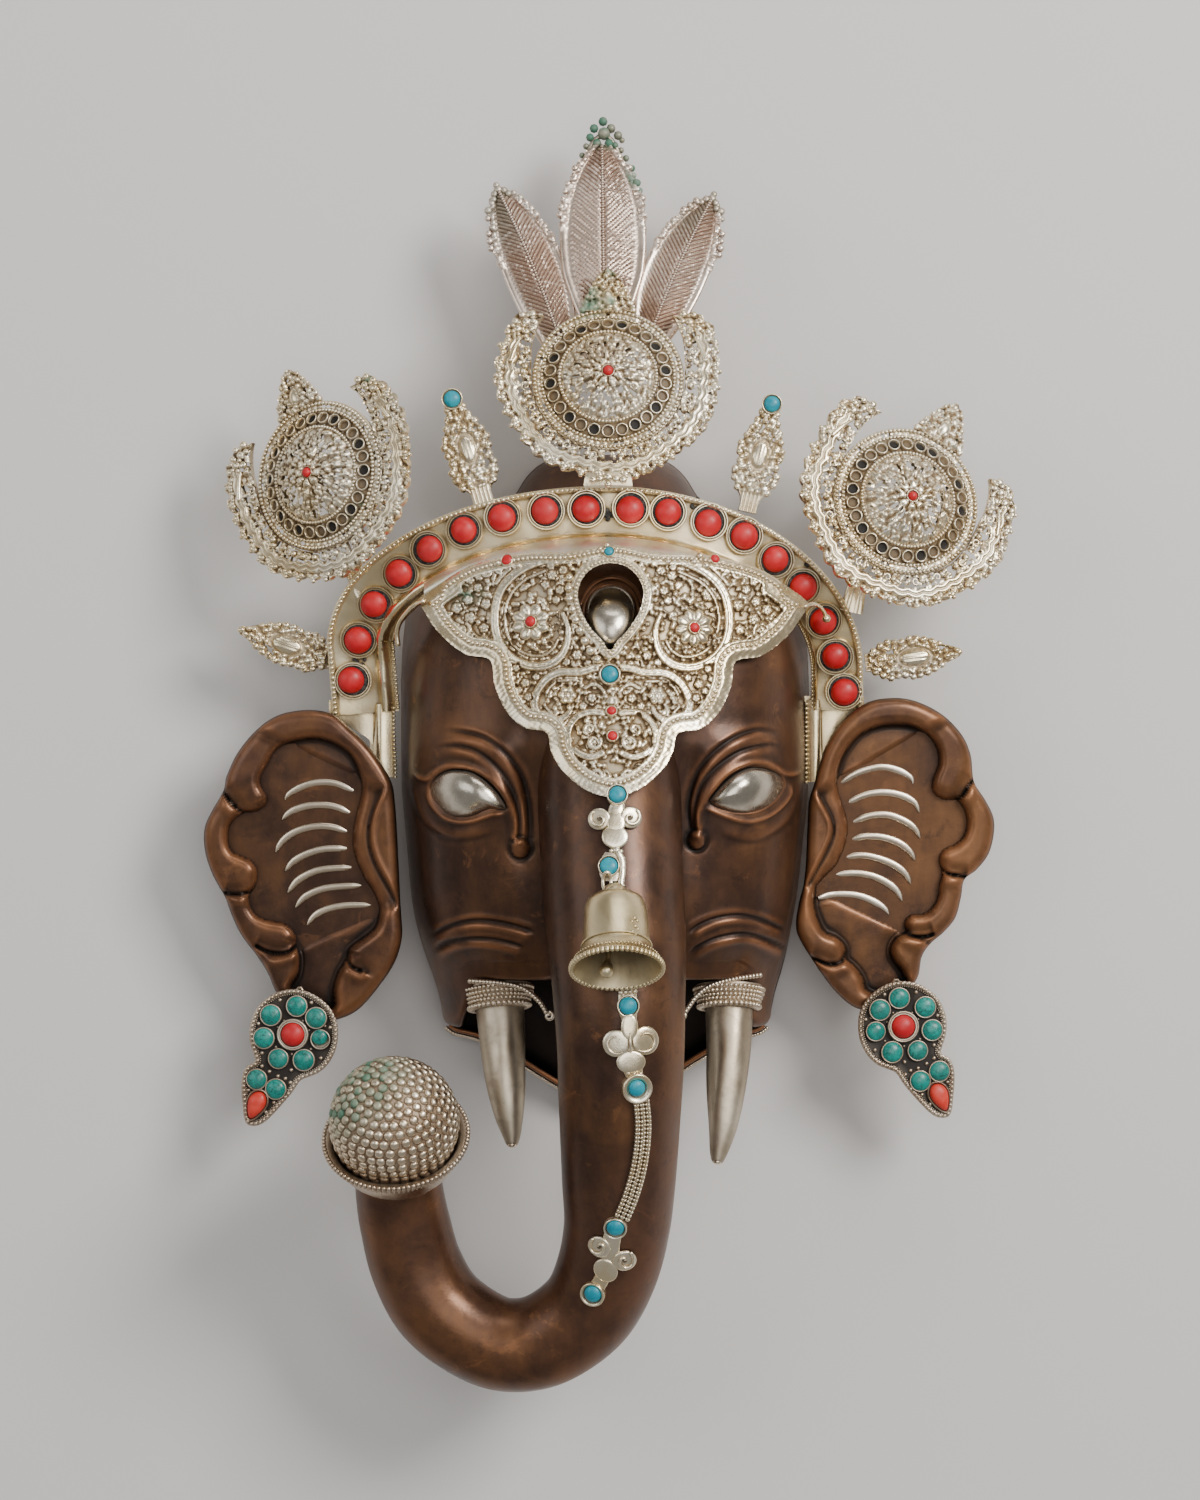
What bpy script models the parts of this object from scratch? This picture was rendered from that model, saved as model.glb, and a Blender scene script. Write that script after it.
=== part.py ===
# Elephant-headed wall mask in raised, patinated copper with a silvered crown.
# Metres, +Z up. The mask lies on its back: its open rim is on Z = 0, the face
# looks along +Z, the crown points along +Y and the sweet is on the -X side.
#
# The design is laid out on a drawing sheet seen from an eye 2.4 m above the
# table: sheet x runs right, sheet y runs down, one sheet unit is 0.45 mm at a
# height of 60 mm. at(x, y, z_mm) gives the point in space.

import bpy
import bmesh
import math
from mathutils import Vector, Matrix

# ---------------------------------------------------------------- sizes
UNIT = 0.00045          # one sheet unit at the reference height
EYE = 2.4               # eye height above the table
REF = 0.06              # height at which the sheet unit is exact
MID_X, MID_Y = 600.0, 750.0
SHIFT_X, SHIFT_Y = 0.0047, -0.0055   # brings the box centre to the origin
GAP = 0.0003            # clearance between touching pieces
WALL = 0.0016           # copper sheet with its solder and patina
RIM_OUT, RIM_IN, RIM_T = 0.0022, 0.0040, 0.0030
CORAL_R = 13.5          # sheet units
BAND_W = 66.0           # crown band width, sheet units
BELL_R = 0.0200         # bell mouth radius
DISH_R = 0.0318         # dish rim radius
SWEET_R = 0.0290

# ---------------------------------------------------------------- clean start
for o in list(bpy.data.objects):
    bpy.data.objects.remove(o, do_unlink=True)
PART = bpy.data.collections.new("ganesh_wall_mask")
CUT = bpy.data.collections.new("cutters")
bpy.context.scene.collection.children.link(PART)
bpy.context.scene.collection.children.link(CUT)


def material(name, rgb, rough, metal):
    m = bpy.data.materials.new(name)
    m.use_nodes = True
    b = m.node_tree.nodes["Principled BSDF"]
    b.inputs["Base Color"].default_value = (rgb[0], rgb[1], rgb[2], 1.0)
    b.inputs["Roughness"].default_value = rough
    b.inputs["Metallic"].default_value = metal
    return m


COPPER = material("patinated_copper", (0.115, 0.045, 0.022), 0.42, 0.8)
SILVER = material("silvered_copper", (0.78, 0.72, 0.56), 0.35, 1.0)
PLUME_SILVER = material("worn_silver", (0.72, 0.62, 0.54), 0.38, 1.0)
TUSK = material("tarnished_silver", (0.46, 0.42, 0.36), 0.38, 0.9)
CORAL = material("coral", (0.72, 0.03, 0.035), 0.4, 0.0)
TURQUOISE = material("turquoise", (0.01, 0.30, 0.42), 0.35, 0.0)


# ---------------------------------------------------------------- helpers
def at(x, y, z=60.0):
    z = z * 0.001
    k = (EYE - z) / (EYE - REF)
    return Vector(((x - MID_X) * UNIT * k - SHIFT_X,
                   (MID_Y - y) * UNIT * k - SHIFT_Y, z))


def flat(x, y, z_mm=0.0):
    return Vector(((x - MID_X) * UNIT - SHIFT_X, (MID_Y - y) * UNIT - SHIFT_Y, z_mm * 0.001))


def steps(xs, ys):
    """Smooth monotone curve through a few stations."""
    n = len(xs)
    d = [(ys[i + 1] - ys[i]) / (xs[i + 1] - xs[i]) for i in range(n - 1)]
    m = [d[0]] + [0.0 if d[i - 1] * d[i] <= 0 else
                  2.0 / (1.0 / d[i - 1] + 1.0 / d[i]) for i in range(1, n - 1)] + [d[-1]]

    def f(x):
        if x <= xs[0]:
            return ys[0]
        if x >= xs[-1]:
            return ys[-1]
        i = max(k for k in range(n - 1) if xs[k] <= x)
        h = xs[i + 1] - xs[i]
        t = (x - xs[i]) / h
        return ((2 * t ** 3 - 3 * t ** 2 + 1) * ys[i] + (t ** 3 - 2 * t ** 2 + t) * h * m[i]
                + (-2 * t ** 3 + 3 * t ** 2) * ys[i + 1] + (t ** 3 - t ** 2) * h * m[i + 1])
    return f


def spline(points, n):
    """n points evenly along a Catmull-Rom curve through the given tuples."""
    p = [points[0]] + list(points) + [points[-1]]
    fine = []
    for i in range(1, len(p) - 2):
        for s in range(24):
            t = s / 24.0
            fine.append(tuple(0.5 * (2 * b + (c - a) * t + (2 * a - 5 * b + 4 * c - d) * t * t
                                     + (3 * b - a - 3 * c + d) * t ** 3)
                              for a, b, c, d in zip(p[i - 1], p[i], p[i + 1], p[i + 2])))
    fine.append(tuple(points[-1]))
    run = [0.0]
    for a, b in zip(fine, fine[1:]):
        run.append(run[-1] + math.sqrt(sum((u - v) ** 2 for u, v in zip(a[:3], b[:3]))))
    out, j = [], 0
    for i in range(n):
        s = run[-1] * i / (n - 1)
        while j < len(run) - 2 and run[j + 1] < s:
            j += 1
        w = (s - run[j]) / max(run[j + 1] - run[j], 1e-12)
        out.append(tuple(a + (b - a) * w for a, b in zip(fine[j], fine[j + 1])))
    return out


def smooth(a, b, x):
    t = min(1.0, max(0.0, (x - a) / (b - a)))
    return t * t * (3 - 2 * t)


def make(name, verts, faces, mat, coll=None, angle=40.0):
    me = bpy.data.meshes.new(name)
    me.from_pydata([tuple(v) for v in verts], [], faces)
    bm = bmesh.new()
    bm.from_mesh(me)
    bmesh.ops.remove_doubles(bm, verts=bm.verts, dist=1e-7)
    bmesh.ops.recalc_face_normals(bm, faces=bm.faces)
    bm.to_mesh(me)
    bm.free()
    me.shade_smooth()
    me.set_sharp_from_angle(angle=math.radians(angle))
    me.materials.append(mat)
    ob = bpy.data.objects.new(name, me)
    (coll or PART).objects.link(ob)
    return ob


def hide(ob):
    ob.hide_render = True
    ob.display_type = "WIRE"
    return ob


def boolean(ob, cutter, operation="DIFFERENCE"):
    m = ob.modifiers.new(operation.title(), "BOOLEAN")
    m.operation = operation
    m.solver = "EXACT"
    m.object = cutter


def loft(name, rings, mat, coll=None, closed=False, angle=40.0):
    """Closed body through a row of closed rings."""
    n = len(rings[0])
    verts = [v for r in rings for v in r]
    faces = []
    m = len(rings)
    for i in range(m if closed else m - 1):
        j = (i + 1) % m
        for k in range(n):
            l = (k + 1) % n
            faces.append((i * n + k, i * n + l, j * n + l, j * n + k))
    if not closed:
        faces.append(tuple(range(n - 1, -1, -1)))
        faces.append(tuple((m - 1) * n + k for k in range(n)))
    return make(name, verts, faces, mat, coll, angle)


def tube_rings(path, radii, sides, squash=1.0):
    """Circles across a path, turned as little as possible from one to the next."""
    rings = []
    t_prev, nrm = None, None
    for i, p in enumerate(path):
        a = path[max(i - 1, 0)]
        b = path[min(i + 1, len(path) - 1)]
        t = (b - a).normalized()
        if nrm is None:
            nrm = (Vector((0, 0, 1)) - t * t.z).normalized()
        else:
            nrm = (t_prev.rotation_difference(t) @ nrm)
            nrm = (nrm - t * nrm.dot(t)).normalized()
        t_prev = t
        bi = t.cross(nrm)
        rings.append([p + (nrm * math.cos(2 * math.pi * k / sides) * squash
                           + bi * math.sin(2 * math.pi * k / sides)) * radii[i]
                      for k in range(sides)])
    return rings


def relief(name, outline, rings, top, bottom, place, mat, hole=None, angle=40.0):
    """Plate with a raised face. outline and hole are lists of (u, v); top and
    bottom give the heights over (u, v, q), q running 0 at the middle to 1 at
    the edge; place(u, v, h) sets a point in space."""
    n = len(outline)
    if hole is None:
        cu = sum(p[0] for p in outline) / n
        cv = sum(p[1] for p in outline) / n
        inner = [(cu, cv)] * n
        qs = [(r + 1.0) / rings for r in range(rings)]
    else:
        inner = hole
        qs = [r / float(rings - 1) for r in range(rings)]
    verts, faces = [], []

    def grid(fn):
        base = len(verts)
        for q in qs:
            for (u0, v0), (u1, v1) in zip(inner, outline):
                u, v = u0 + (u1 - u0) * q, v0 + (v1 - v0) * q
                verts.append(place(u, v, fn(u, v, q)))
        return base
    t0, b0 = grid(top), grid(bottom)
    for base, flip in ((t0, False), (b0, True)):
        for r in range(len(qs) - 1):
            for k in range(n):
                l = (k + 1) % n
                f = (base + r * n + k, base + r * n + l, base + (r + 1) * n + l, base + (r + 1) * n + k)
                faces.append(f[::-1] if flip else f)
        if hole is None:
            verts.append(place(cu, cv, (top if base == t0 else bottom)(cu, cv, 0.0)))
            c = len(verts) - 1
            for k in range(n):
                faces.append((c, base + k, base + (k + 1) % n))
    last = (len(qs) - 1) * n
    for k in range(n):
        l = (k + 1) % n
        faces.append((t0 + last + k, t0 + last + l, b0 + last + l, b0 + last + k))
        if hole is not None:
            faces.append((t0 + l, t0 + k, b0 + k, b0 + l))
    return make(name, verts, faces, mat, None, angle)


def frame(centre, normal, up):
    """Local axes of a small plate: u right, v up, h out of its face."""
    n = Vector(normal).normalized()
    v = Vector(up)
    v = (v - n * v.dot(n)).normalized()
    u = v.cross(n)
    return lambda a, b, h: centre + (u * a + v * b + n * h) * 0.001


# ---------------------------------------------------------------- head shell
# stations down the head: sheet y, middle x, height (mm), squareness
HEAD_Y = (449, 462, 490, 520, 550, 580, 620, 680, 740, 800, 860, 920, 960, 978)
HEAD_C = (606, 606, 606, 606, 606, 605, 605, 605, 605, 605, 604.5, 604, 606, 607)
HEAD_H = (14, 30, 48, 60, 71, 84, 98, 105, 104, 99, 94, 88, 81, 74)
HEAD_N = (2.2, 2.2, 2.2, 2.3, 2.35, 2.45, 2.65, 2.85, 3.15, 3.35, 3.4, 3.3, 3.2, 3.0)
# outline half width by sheet y, down to the chin
WIDE_Y = (449, 455, 470, 490, 520, 550, 580, 620, 680, 780, 850, 900, 950, 1000, 1022, 1034, 1040, 1060, 1085, 1102)
WIDE = (40, 62, 80, 93, 120, 160, 188, 204, 208, 207, 201, 196, 186, 171, 166, 155, 132, 96, 56, 26)
head_c = steps(HEAD_Y, HEAD_C)
head_h = steps(HEAD_Y, HEAD_H)
head_n = steps(HEAD_Y, HEAD_N)
head_w = steps(WIDE_Y, WIDE)
EYES = ((466, 793, -1), (748, 790, 1))


def bump(x, y, cx, cy, sx, sy):
    return math.exp(-((x - cx) / sx) ** 2 - ((y - cy) / sy) ** 2)


def face_relief(x, y):
    """Brow, eye sockets and cheeks raised from the sheet (mm)."""
    r = 0.0
    for ex, ey, side in EYES:
        r += 3.0 * bump(x, y, ex, ey, 52, 30) + 1.8 * bump(x, y, ex + side * 4, ey - 46, 60, 14)
        r -= 4.0 * bump(x, y, ex - side * 62, ey + 10, 15, 60)
        r += 2.2 * bump(x, y, ex + side * 8, ey + 155, 55, 26)
    return r


def head_z(x, y):
    """Height (mm) of the face at a sheet point, with plain scaling."""
    xi = abs(x - head_c(y)) / head_w(y)
    if xi >= 1.0:
        return 0.0
    n = head_n(y)
    return head_h(y) * (1.0 - xi ** n) ** (1.0 / n) + face_relief(x, y) * (1.0 - xi ** 6)


def head_stations():
    """Rows across the head: (sheet y, corner weight, height, squareness)."""
    rows = [(y, 0.0, head_h(y), head_n(y)) for y in
            (449, 457, 474, 498, 526, 556, 588, 624, 664, 704, 740, 772, 804, 840, 880, 915, 940)]
    rows += [(960, 0.4, 81, 2.7), (975, 0.9, 75, 2.8), (979, 1.0, 66, 3.0), (982, 1.0, 18, 3.4),
             (1008, 0.55, 16, 3.2), (1042, 0.08, 15, 3.0), (1072, 0.0, 14, 2.8), (1102, 0.0, 11, 2.4)]
    return rows


def head_grid(across, low):
    grid = []
    for yb, c, h, n in head_stations():
        row = []
        for k in range(across + 1):
            a = math.pi * k / across
            xi = -math.copysign(abs(math.cos(a)) ** (2.0 / n), math.cos(a))
            z = h * math.sin(a) ** (2.0 / n)
            y = yb + c * 50.0 * smooth(0.70, 0.93, abs(xi))
            x = head_c(y) + xi * head_w(y)
            if 600 < yb < 960:
                z += face_relief(x, y) * (1.0 - abs(xi) ** 6)
            row.append(flat(x, y, max(z, low)))
        grid.append(row)
    return grid


ACROSS = 18
SHELL_LOW = 0.9         # the shell wall starts inside the rim's thickness


def head_surface(name, across, low, coll):
    grid = head_grid(across, low)
    verts = [v for row in grid for v in row]
    n = across + 1
    faces = []
    for r in range(len(grid) - 1):
        for k in range(across):
            a, b, c, d = r * n + k, r * n + k + 1, (r + 1) * n + k + 1, (r + 1) * n + k
            # the quads are twisted near the mouth, so their diagonals are fixed
            faces += [(a, b, c), (a, c, d)] if k < across // 2 else [(a, b, d), (b, c, d)]
    faces.append(tuple(range(n - 1, -1, -1)))
    last = (len(grid) - 1) * n
    faces.append(tuple(last + k for k in range(n)))
    return verts, faces, n, len(grid)


verts, faces, cols, rows = head_surface("head", ACROSS, SHELL_LOW, PART)
me = bpy.data.meshes.new("head_shell")
me.from_pydata([tuple(v) for v in verts], [], faces)
bm = bmesh.new()
bm.from_mesh(me)
bmesh.ops.recalc_face_normals(bm, faces=bm.faces)
if sum(f.normal.z * f.calc_area() for f in bm.faces) < 0:
    bmesh.ops.reverse_faces(bm, faces=bm.faces)
bm.to_mesh(me)
bm.free()
me.shade_smooth()
me.set_sharp_from_angle(angle=math.radians(50))
me.materials.append(COPPER)
head = bpy.data.objects.new("head_shell", me)
PART.objects.link(head)
sol = head.modifiers.new("Wall", "SOLIDIFY")
sol.thickness = WALL
sol.offset = -1.0
sol.use_even_offset = True
sol.thickness_clamp = 0.0


def rim_outline():
    """Outline of the rim on the table, clockwise seen from above."""
    ys = [449, 457, 474, 498, 526, 556, 588, 624, 680, 740, 804, 860, 920, 960,
          1000, 1022, 1036, 1052, 1072, 1102]
    right = [flat(head_c(y) + head_w(y), y) for y in ys]
    left = [flat(head_c(y) - head_w(y), y) for y in reversed(ys)]
    return right + left


def offset_loop(loop, d, z):
    out = []
    n = len(loop)
    for i, p in enumerate(loop):
        e0 = (p - loop[i - 1]).normalized()
        e1 = (loop[(i + 1) % n] - p).normalized()
        n0, n1 = Vector((-e0.y, e0.x, 0)), Vector((-e1.y, e1.x, 0))
        m = (n0 + n1).normalized()
        q = p + m * (d / max(m.dot(n0), 0.6))
        out.append(Vector((q.x, q.y, z)))
    return out


loop = rim_outline()
rim = loft("rim_ring", [offset_loop(loop, RIM_OUT, 0.0), offset_loop(loop, RIM_OUT, RIM_T),
                        offset_loop(loop, -RIM_IN, RIM_T), offset_loop(loop, -RIM_IN, 0.0)],
           COPPER, CUT, closed=True)
hide(rim)
boolean(head, rim, "UNION")

# solid of the head's outside, a hair larger, used to seat what stands on it
verts, faces, cols, rows = head_surface("seat", ACROSS, 0.0, CUT)
low = [Vector((v.x, v.y, -0.004)) for r in range(rows) for v in (verts[r * cols], verts[r * cols + cols - 1])]
base = len(verts)
verts += low
for r in range(rows - 1):
    faces.append((r * cols, (r + 1) * cols, base + 2 * (r + 1), base + 2 * r))
    faces.append((r * cols + cols - 1, base + 2 * r + 1, base + 2 * (r + 1) + 1, (r + 1) * cols + cols - 1))
    faces.append((base + 2 * r, base + 2 * (r + 1), base + 2 * (r + 1) + 1, base + 2 * r + 1))
faces.append((0, base, base + 1, cols - 1))
faces.append(((rows - 1) * cols, (rows - 1) * cols + cols - 1, base + 2 * (rows - 1) + 1, base + 2 * (rows - 1)))
seat = make("head_seat", verts, faces, COPPER, CUT)
hide(seat)
bm = bmesh.new()
bm.from_mesh(seat.data)
bm.normal_update()
move = [(v, v.normal * (0.00045 * v.calc_shell_factor())) for v in bm.verts]
for v, d in move:
    v.co += d
bm.to_mesh(seat.data)
bm.free()

# ---------------------------------------------------------------- trunk
# sheet x, sheet y, centre height (mm), radius (sheet units)
TRUNK = ((607, 700, 66, 66), (608, 760, 88, 72), (611, 850, 101, 71.5), (613.5, 900, 107, 70.5),
         (617, 950, 114, 68.5), (619, 1000, 118, 66), (620.5, 1050, 118, 64), (620, 1100, 115, 62),
         (619, 1174, 106, 57.5), (617, 1227, 97, 53), (606, 1274, 87, 50.5), (585, 1312, 79, 48.5),
         (545, 1340, 73, 47.5), (505, 1345, 71, 47), (470, 1331, 70, 47), (437, 1304, 70, 47),
         (416, 1265, 72, 46), (405, 1224, 76, 45), (400, 1196, 80, 44), (398, 1176, 84, 43))
TRUNK_SIDES, TRUNK_RINGS = 14, 29
trunk_path = spline(TRUNK, TRUNK_RINGS)


def local_unit(z_mm):
    return UNIT * (EYE - z_mm * 0.001) / (EYE - REF)


t_pts = [at(x, y, z) for x, y, z, r in trunk_path]
t_rad = [r * local_unit(z) for x, y, z, r in trunk_path]
trunk = loft("trunk", tube_rings(t_pts, t_rad, TRUNK_SIDES), COPPER, angle=60)
boolean(trunk, seat)


def trunk_top(x, y):
    """Height (mm) of the trunk's front over a sheet point."""
    z = 120.0
    for _ in range(5):
        p = at(x, y, z)
        best = None
        for i in range(len(t_pts) - 1):
            a, b = t_pts[i], t_pts[i + 1]
            dx, dy = b.x - a.x, b.y - a.y
            run = dx * dx + dy * dy
            t = min(1.0, max(0.0, ((p.x - a.x) * dx + (p.y - a.y) * dy) / run))
            d = math.hypot(p.x - a.x - dx * t, p.y - a.y - dy * t)
            if best is None or d < best[0]:
                lean_ = (b - a).length / math.sqrt(run)
                best = (d, a.z + (b.z - a.z) * t, t_rad[i] + (t_rad[i + 1] - t_rad[i]) * t, lean_)
        d, zc, r, lean_ = best
        z = 1000.0 * (zc + math.sqrt(max(r * r - d * d, 0.0)) * lean_)
    return z


# ---------------------------------------------------------------- ears
# outline of the left ear (sheet units), clockwise from the upper root
EAR_L = ((391, 770), (384, 748), (368, 729), (340, 714), (306, 710), (275, 718), (250, 733), (235, 752),
         (228, 776), (219, 797), (206, 826), (207, 860), (221, 890), (234, 922), (252, 948), (268, 972),
         (283, 996), (306, 1012), (337, 1019), (364, 998), (386, 966), (394, 932), (393, 890), (391, 830))
EAR_R = ((815, 774), (821, 752), (840, 722), (864, 705), (889, 698), (914, 701), (941, 714), (963, 738),
         (972, 776), (983, 795), (994, 818), (993, 842), (979, 867), (962, 893), (958, 914), (940, 936),
         (924, 951), (915, 980), (890, 1000), (857, 1008), (831, 980), (812, 950), (805, 905), (809, 840))


def ear_top(side):
    cx = 306 if side < 0 else 893
    cy = 835

    def f(x, y, q):
        out = (x - cx) * side
        z = 47.5 - 0.05 * out - 0.050 * (y - cy)              # set back at the lobe
        rolled = 6.5 * smooth(0.62, 0.86, q) - 3.0 * smooth(0.90, 1.0, q)
        return z + rolled - 3.5 * (1.0 - q)
    return f


for name, pts, side in (("ear_left", EAR_L, -1), ("ear_right", EAR_R, 1)):
    f = ear_top(side)
    relief(name, pts, 4, f, lambda x, y, q, f=f: f(x, y, q) - 3.0 - 1.2 * smooth(0.6, 0.85, q), at, COPPER)

# ---------------------------------------------------------------- eyes
EYE_LEFT = ((431, 789), (440, 779), (453, 771), (469, 772), (481, 781), (491, 793), (503, 806),
            (487, 813), (471, 816), (455, 814), (441, 806))
EYE_RIGHT = ((786, 787), (776, 777), (763, 769), (748, 769), (735, 777), (722, 789), (709, 803),
             (726, 812), (741, 815), (757, 812), (774, 804))


def on_head(x, y, lift):
    """Sheet height of the face below a point as the eye sees it."""
    z = 95.0
    for _ in range(6):
        k = (EYE - z * 0.001) / (EYE - REF)
        z = head_z(MID_X + (x - MID_X) * k, MID_Y + (y - MID_Y) * k)
    return z + lift


for name, pts in (("eye_left", EYE_LEFT), ("eye_right", EYE_RIGHT)):
    relief(name, pts, 3, lambda x, y, q: on_head(x, y, 1.5) + 5.5 * math.sqrt(max(1.0 - q * q, 0.0)),
           lambda x, y, q: on_head(x, y, 0.75), at, TUSK)
third = [(611 + 23 * math.sin(2 * math.pi * k / 14), 618 + 28 * math.cos(2 * math.pi * k / 14)) for k in range(14)]
relief("third_eye", third, 3, lambda x, y, q: on_head(x, y, 1.6) + 3.2 * math.sqrt(max(1.0 - q * q, 0.0)),
       lambda x, y, q: on_head(x, y, 0.75), at, TUSK)

# ---------------------------------------------------------------- tusks and collars
TUSKS = {"left": ((498, 984, 50, 24.5), (500, 1010, 52, 24.5), (503, 1050, 56, 22.5), (506, 1085, 60, 19.5),
                  (509, 1115, 63, 14.5), (511.5, 1134, 65, 9.5), (512, 1146, 66, 5.5)),
         "right": ((729, 984, 50, 24), (729, 1010, 52, 24), (728.5, 1050, 56, 22.5), (726, 1090, 60, 19.5),
                   (723, 1125, 63, 14.5), (719, 1150, 65, 9.5), (717.5, 1163, 66, 5.5))}
for side, rows_ in TUSKS.items():
    path = spline(rows_, 9)
    pts = [at(x, y, z) for x, y, z, r in path]
    pts[0].y -= 0.0022
    tusk = loft("tusk_" + side, tube_rings(pts, [r * UNIT for x, y, z, r in path], 12), TUSK)
    boolean(tusk, seat)
    # collar of beaded rings round the root, wide against the lip
    axis = (pts[2] - pts[0]).normalized()
    foot = pts[0] - axis * 0.0004
    prof = ((0.0158, -0.0004), (0.0158, 0.0024), (0.0145, 0.0060), (0.0136, 0.0094), (0.0118, 0.0100),
            (0.0117, 0.0030), (0.0117, -0.0004))
    u = axis.cross(Vector((0, 0, 1))).normalized()
    v = axis.cross(u)
    rings = []
    for r, s in prof:
        rings.append([foot + axis * s + (u * math.cos(2 * math.pi * k / 14) + v * math.sin(2 * math.pi * k / 14)) * r
                      for k in range(14)])
    col = loft("tusk_collar_" + side, rings, SILVER, closed=True)
    boolean(col, seat)

# ---------------------------------------------------------------- crown band
# outer edge: half ellipse, a little narrower on the right, with straight feet
BAND_CX, BAND_CY, BAND_LEFT, BAND_RIGHT, BAND_B, BAND_DROP = 605.0, 644.0, 278.0, 258.0, 158.0, 26.0
band_line = [(BAND_CX - BAND_LEFT + 6.0 * (1 - i / 8.0), BAND_CY + 72.0 * (1 - i / 8.0)) for i in range(8)]
for i in range(241):
    a_ = math.pi * (1 - i / 240.0)
    if i < 120:
        band_line.append((BAND_CX + BAND_LEFT * math.cos(a_), BAND_CY - BAND_B * math.sin(a_)))
    else:
        band_line.append((BAND_CX + BAND_RIGHT * math.cos(a_), BAND_CY + BAND_DROP - (BAND_B + BAND_DROP) * math.sin(a_)))
band_line += [(BAND_CX + BAND_RIGHT, BAND_CY + BAND_DROP + 40.0 * i / 8.0) for i in range(1, 9)]
band_even = spline(band_line, 401)


def band_edge(s):
    """Outer edge of the band for s from 0 (left foot) to 1 (right foot):
    x, y and the unit normal that points to the face."""
    f = min(max(s, 0.0), 1.0) * 400.0
    i = min(int(f), 399)
    w = f - i
    x = band_even[i][0] + (band_even[i + 1][0] - band_even[i][0]) * w
    y = band_even[i][1] + (band_even[i + 1][1] - band_even[i][1]) * w
    a, b = band_even[max(i - 5, 0)], band_even[min(i + 6, 400)]
    dx, dy = b[0] - a[0], b[1] - a[1]
    g = math.hypot(dx, dy)
    return x, y, -dy / g, dx / g


# base height of the band (mm) by the sheet y of its outer edge: high over the
# brow, lower at its feet
band_height = steps((484, 505, 530, 560, 600, 660, 740), (80, 76.5, 71, 65, 58.5, 52, 46))

# across the band: distance from the outer edge (sheet units), height (mm)
BAND_PROFILE = ((0, -2.0), (0, 2.4), (5, 2.4), (6.5, 0.8), (45, 0.8), (51, 4.8), (57, 4.2), (62, 1.8),
                (66, 2.2), (66, -1.2))


def band_point(s, d, h):
    x, y, nx, ny = band_edge(s)
    # the roll inside the corals is squeezed against the head on the right
    room = 21.0 - 15.0 * smooth(0.66, 0.86, s)
    if d > 45:
        d = 45.0 + (d - 45.0) * room / 21.0
        h = h * (0.55 + 0.45 * room / 21.0) if h > 0 else h
    return at(x + nx * d, y + ny * d, band_height(y) + h)


BAND_STEPS = 36
loft("crown_band", [[band_point(i / float(BAND_STEPS), w, h) for w, h in BAND_PROFILE]
                    for i in range(BAND_STEPS + 1)], SILVER, angle=30)

# ---------------------------------------------------------------- coral cabochons
CORALS = ((351, 680), (358, 640), (374, 604), (399, 573), (430, 549), (464, 530), (502, 518), (545, 511),
          (586, 509), (630, 510), (668, 512), (708, 523), (744, 536), (775, 559), (803, 587), (823, 621),
          (835, 656), (844, 692))
PROFILE_CORAL = ((1.0, 0.0), (1.0, 0.45), (0.62, 0.95))


def coral(name, x, y, z, r, tall, normal=(0, 0, 1), mat=CORAL, sides=8):
    place = frame(at(x, y, z), normal, (0, 1, 0))
    rings = []
    for f, h in PROFILE_CORAL:
        rings.append([place(1000 * r * f * math.cos(2 * math.pi * k / sides),
                            1000 * r * f * math.sin(2 * math.pi * k / sides), 1000 * tall * h) for k in range(sides)])
    return loft(name, rings, mat)


EDGE = [band_edge(i / 300.0) for i in range(301)]


def channel(x, y):
    """Height and normal of the coral channel under a sheet point."""
    def miss(e):
        w = (x - e[0]) * e[2] + (y - e[1]) * e[3]
        return math.hypot(x - e[0] - e[2] * w, y - e[1] - e[3] * w) + (0 if 0 < w < 60 else 1000)
    i = min(range(len(EDGE)), key=lambda j: miss(EDGE[j]))
    a, b = EDGE[max(i - 12, 0)], EDGE[min(i + 12, 300)]
    ha, hb = band_height(a[1]), band_height(b[1])
    dx, dy = (b[0] - a[0]) * UNIT * 1000.0, -(b[1] - a[1]) * UNIT * 1000.0
    run = math.hypot(dx, dy)
    slope = (hb - ha) / run
    return max(band_height(EDGE[i][1]), 0.5 * (ha + hb)), (-slope * dx / run, -slope * dy / run, 1.0)


for i, (x, y) in enumerate(CORALS):
    # the coral lies in the channel and leans with it
    h, normal = channel(x, y)
    coral("coral_%02d" % (i + 1), x, y, h + 1.45, CORAL_R * UNIT, 0.0050, normal)

# ---------------------------------------------------------------- forehead plate
HALF = ((0, 797), (28, 789), (51, 770), (62, 751), (67, 733), (90, 728), (108, 712), (120, 686), (125, 661),
        (151, 655), (176, 636), (192, 614), (197, 602), (180, 588), (150, 569), (118, 559), (84, 553), (45, 552),
        (0, 545))
plate_outline = [(611 + dx, y + 0.004 * dx) for dx, y in HALF] + \
                [(611 - dx * 0.97, y - 0.008 * dx) for dx, y in reversed(HALF[1:-1])]


def plate_z(x, y, q=0.0):
    mid = steps((545, 600, 650, 690, 740, 800), (97.5, 107, 111, 115, 124.5, 132.5))(y)
    dx = (x - 612.0) * UNIT * 1000.0
    return mid - 0.0040 * dx * dx


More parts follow.
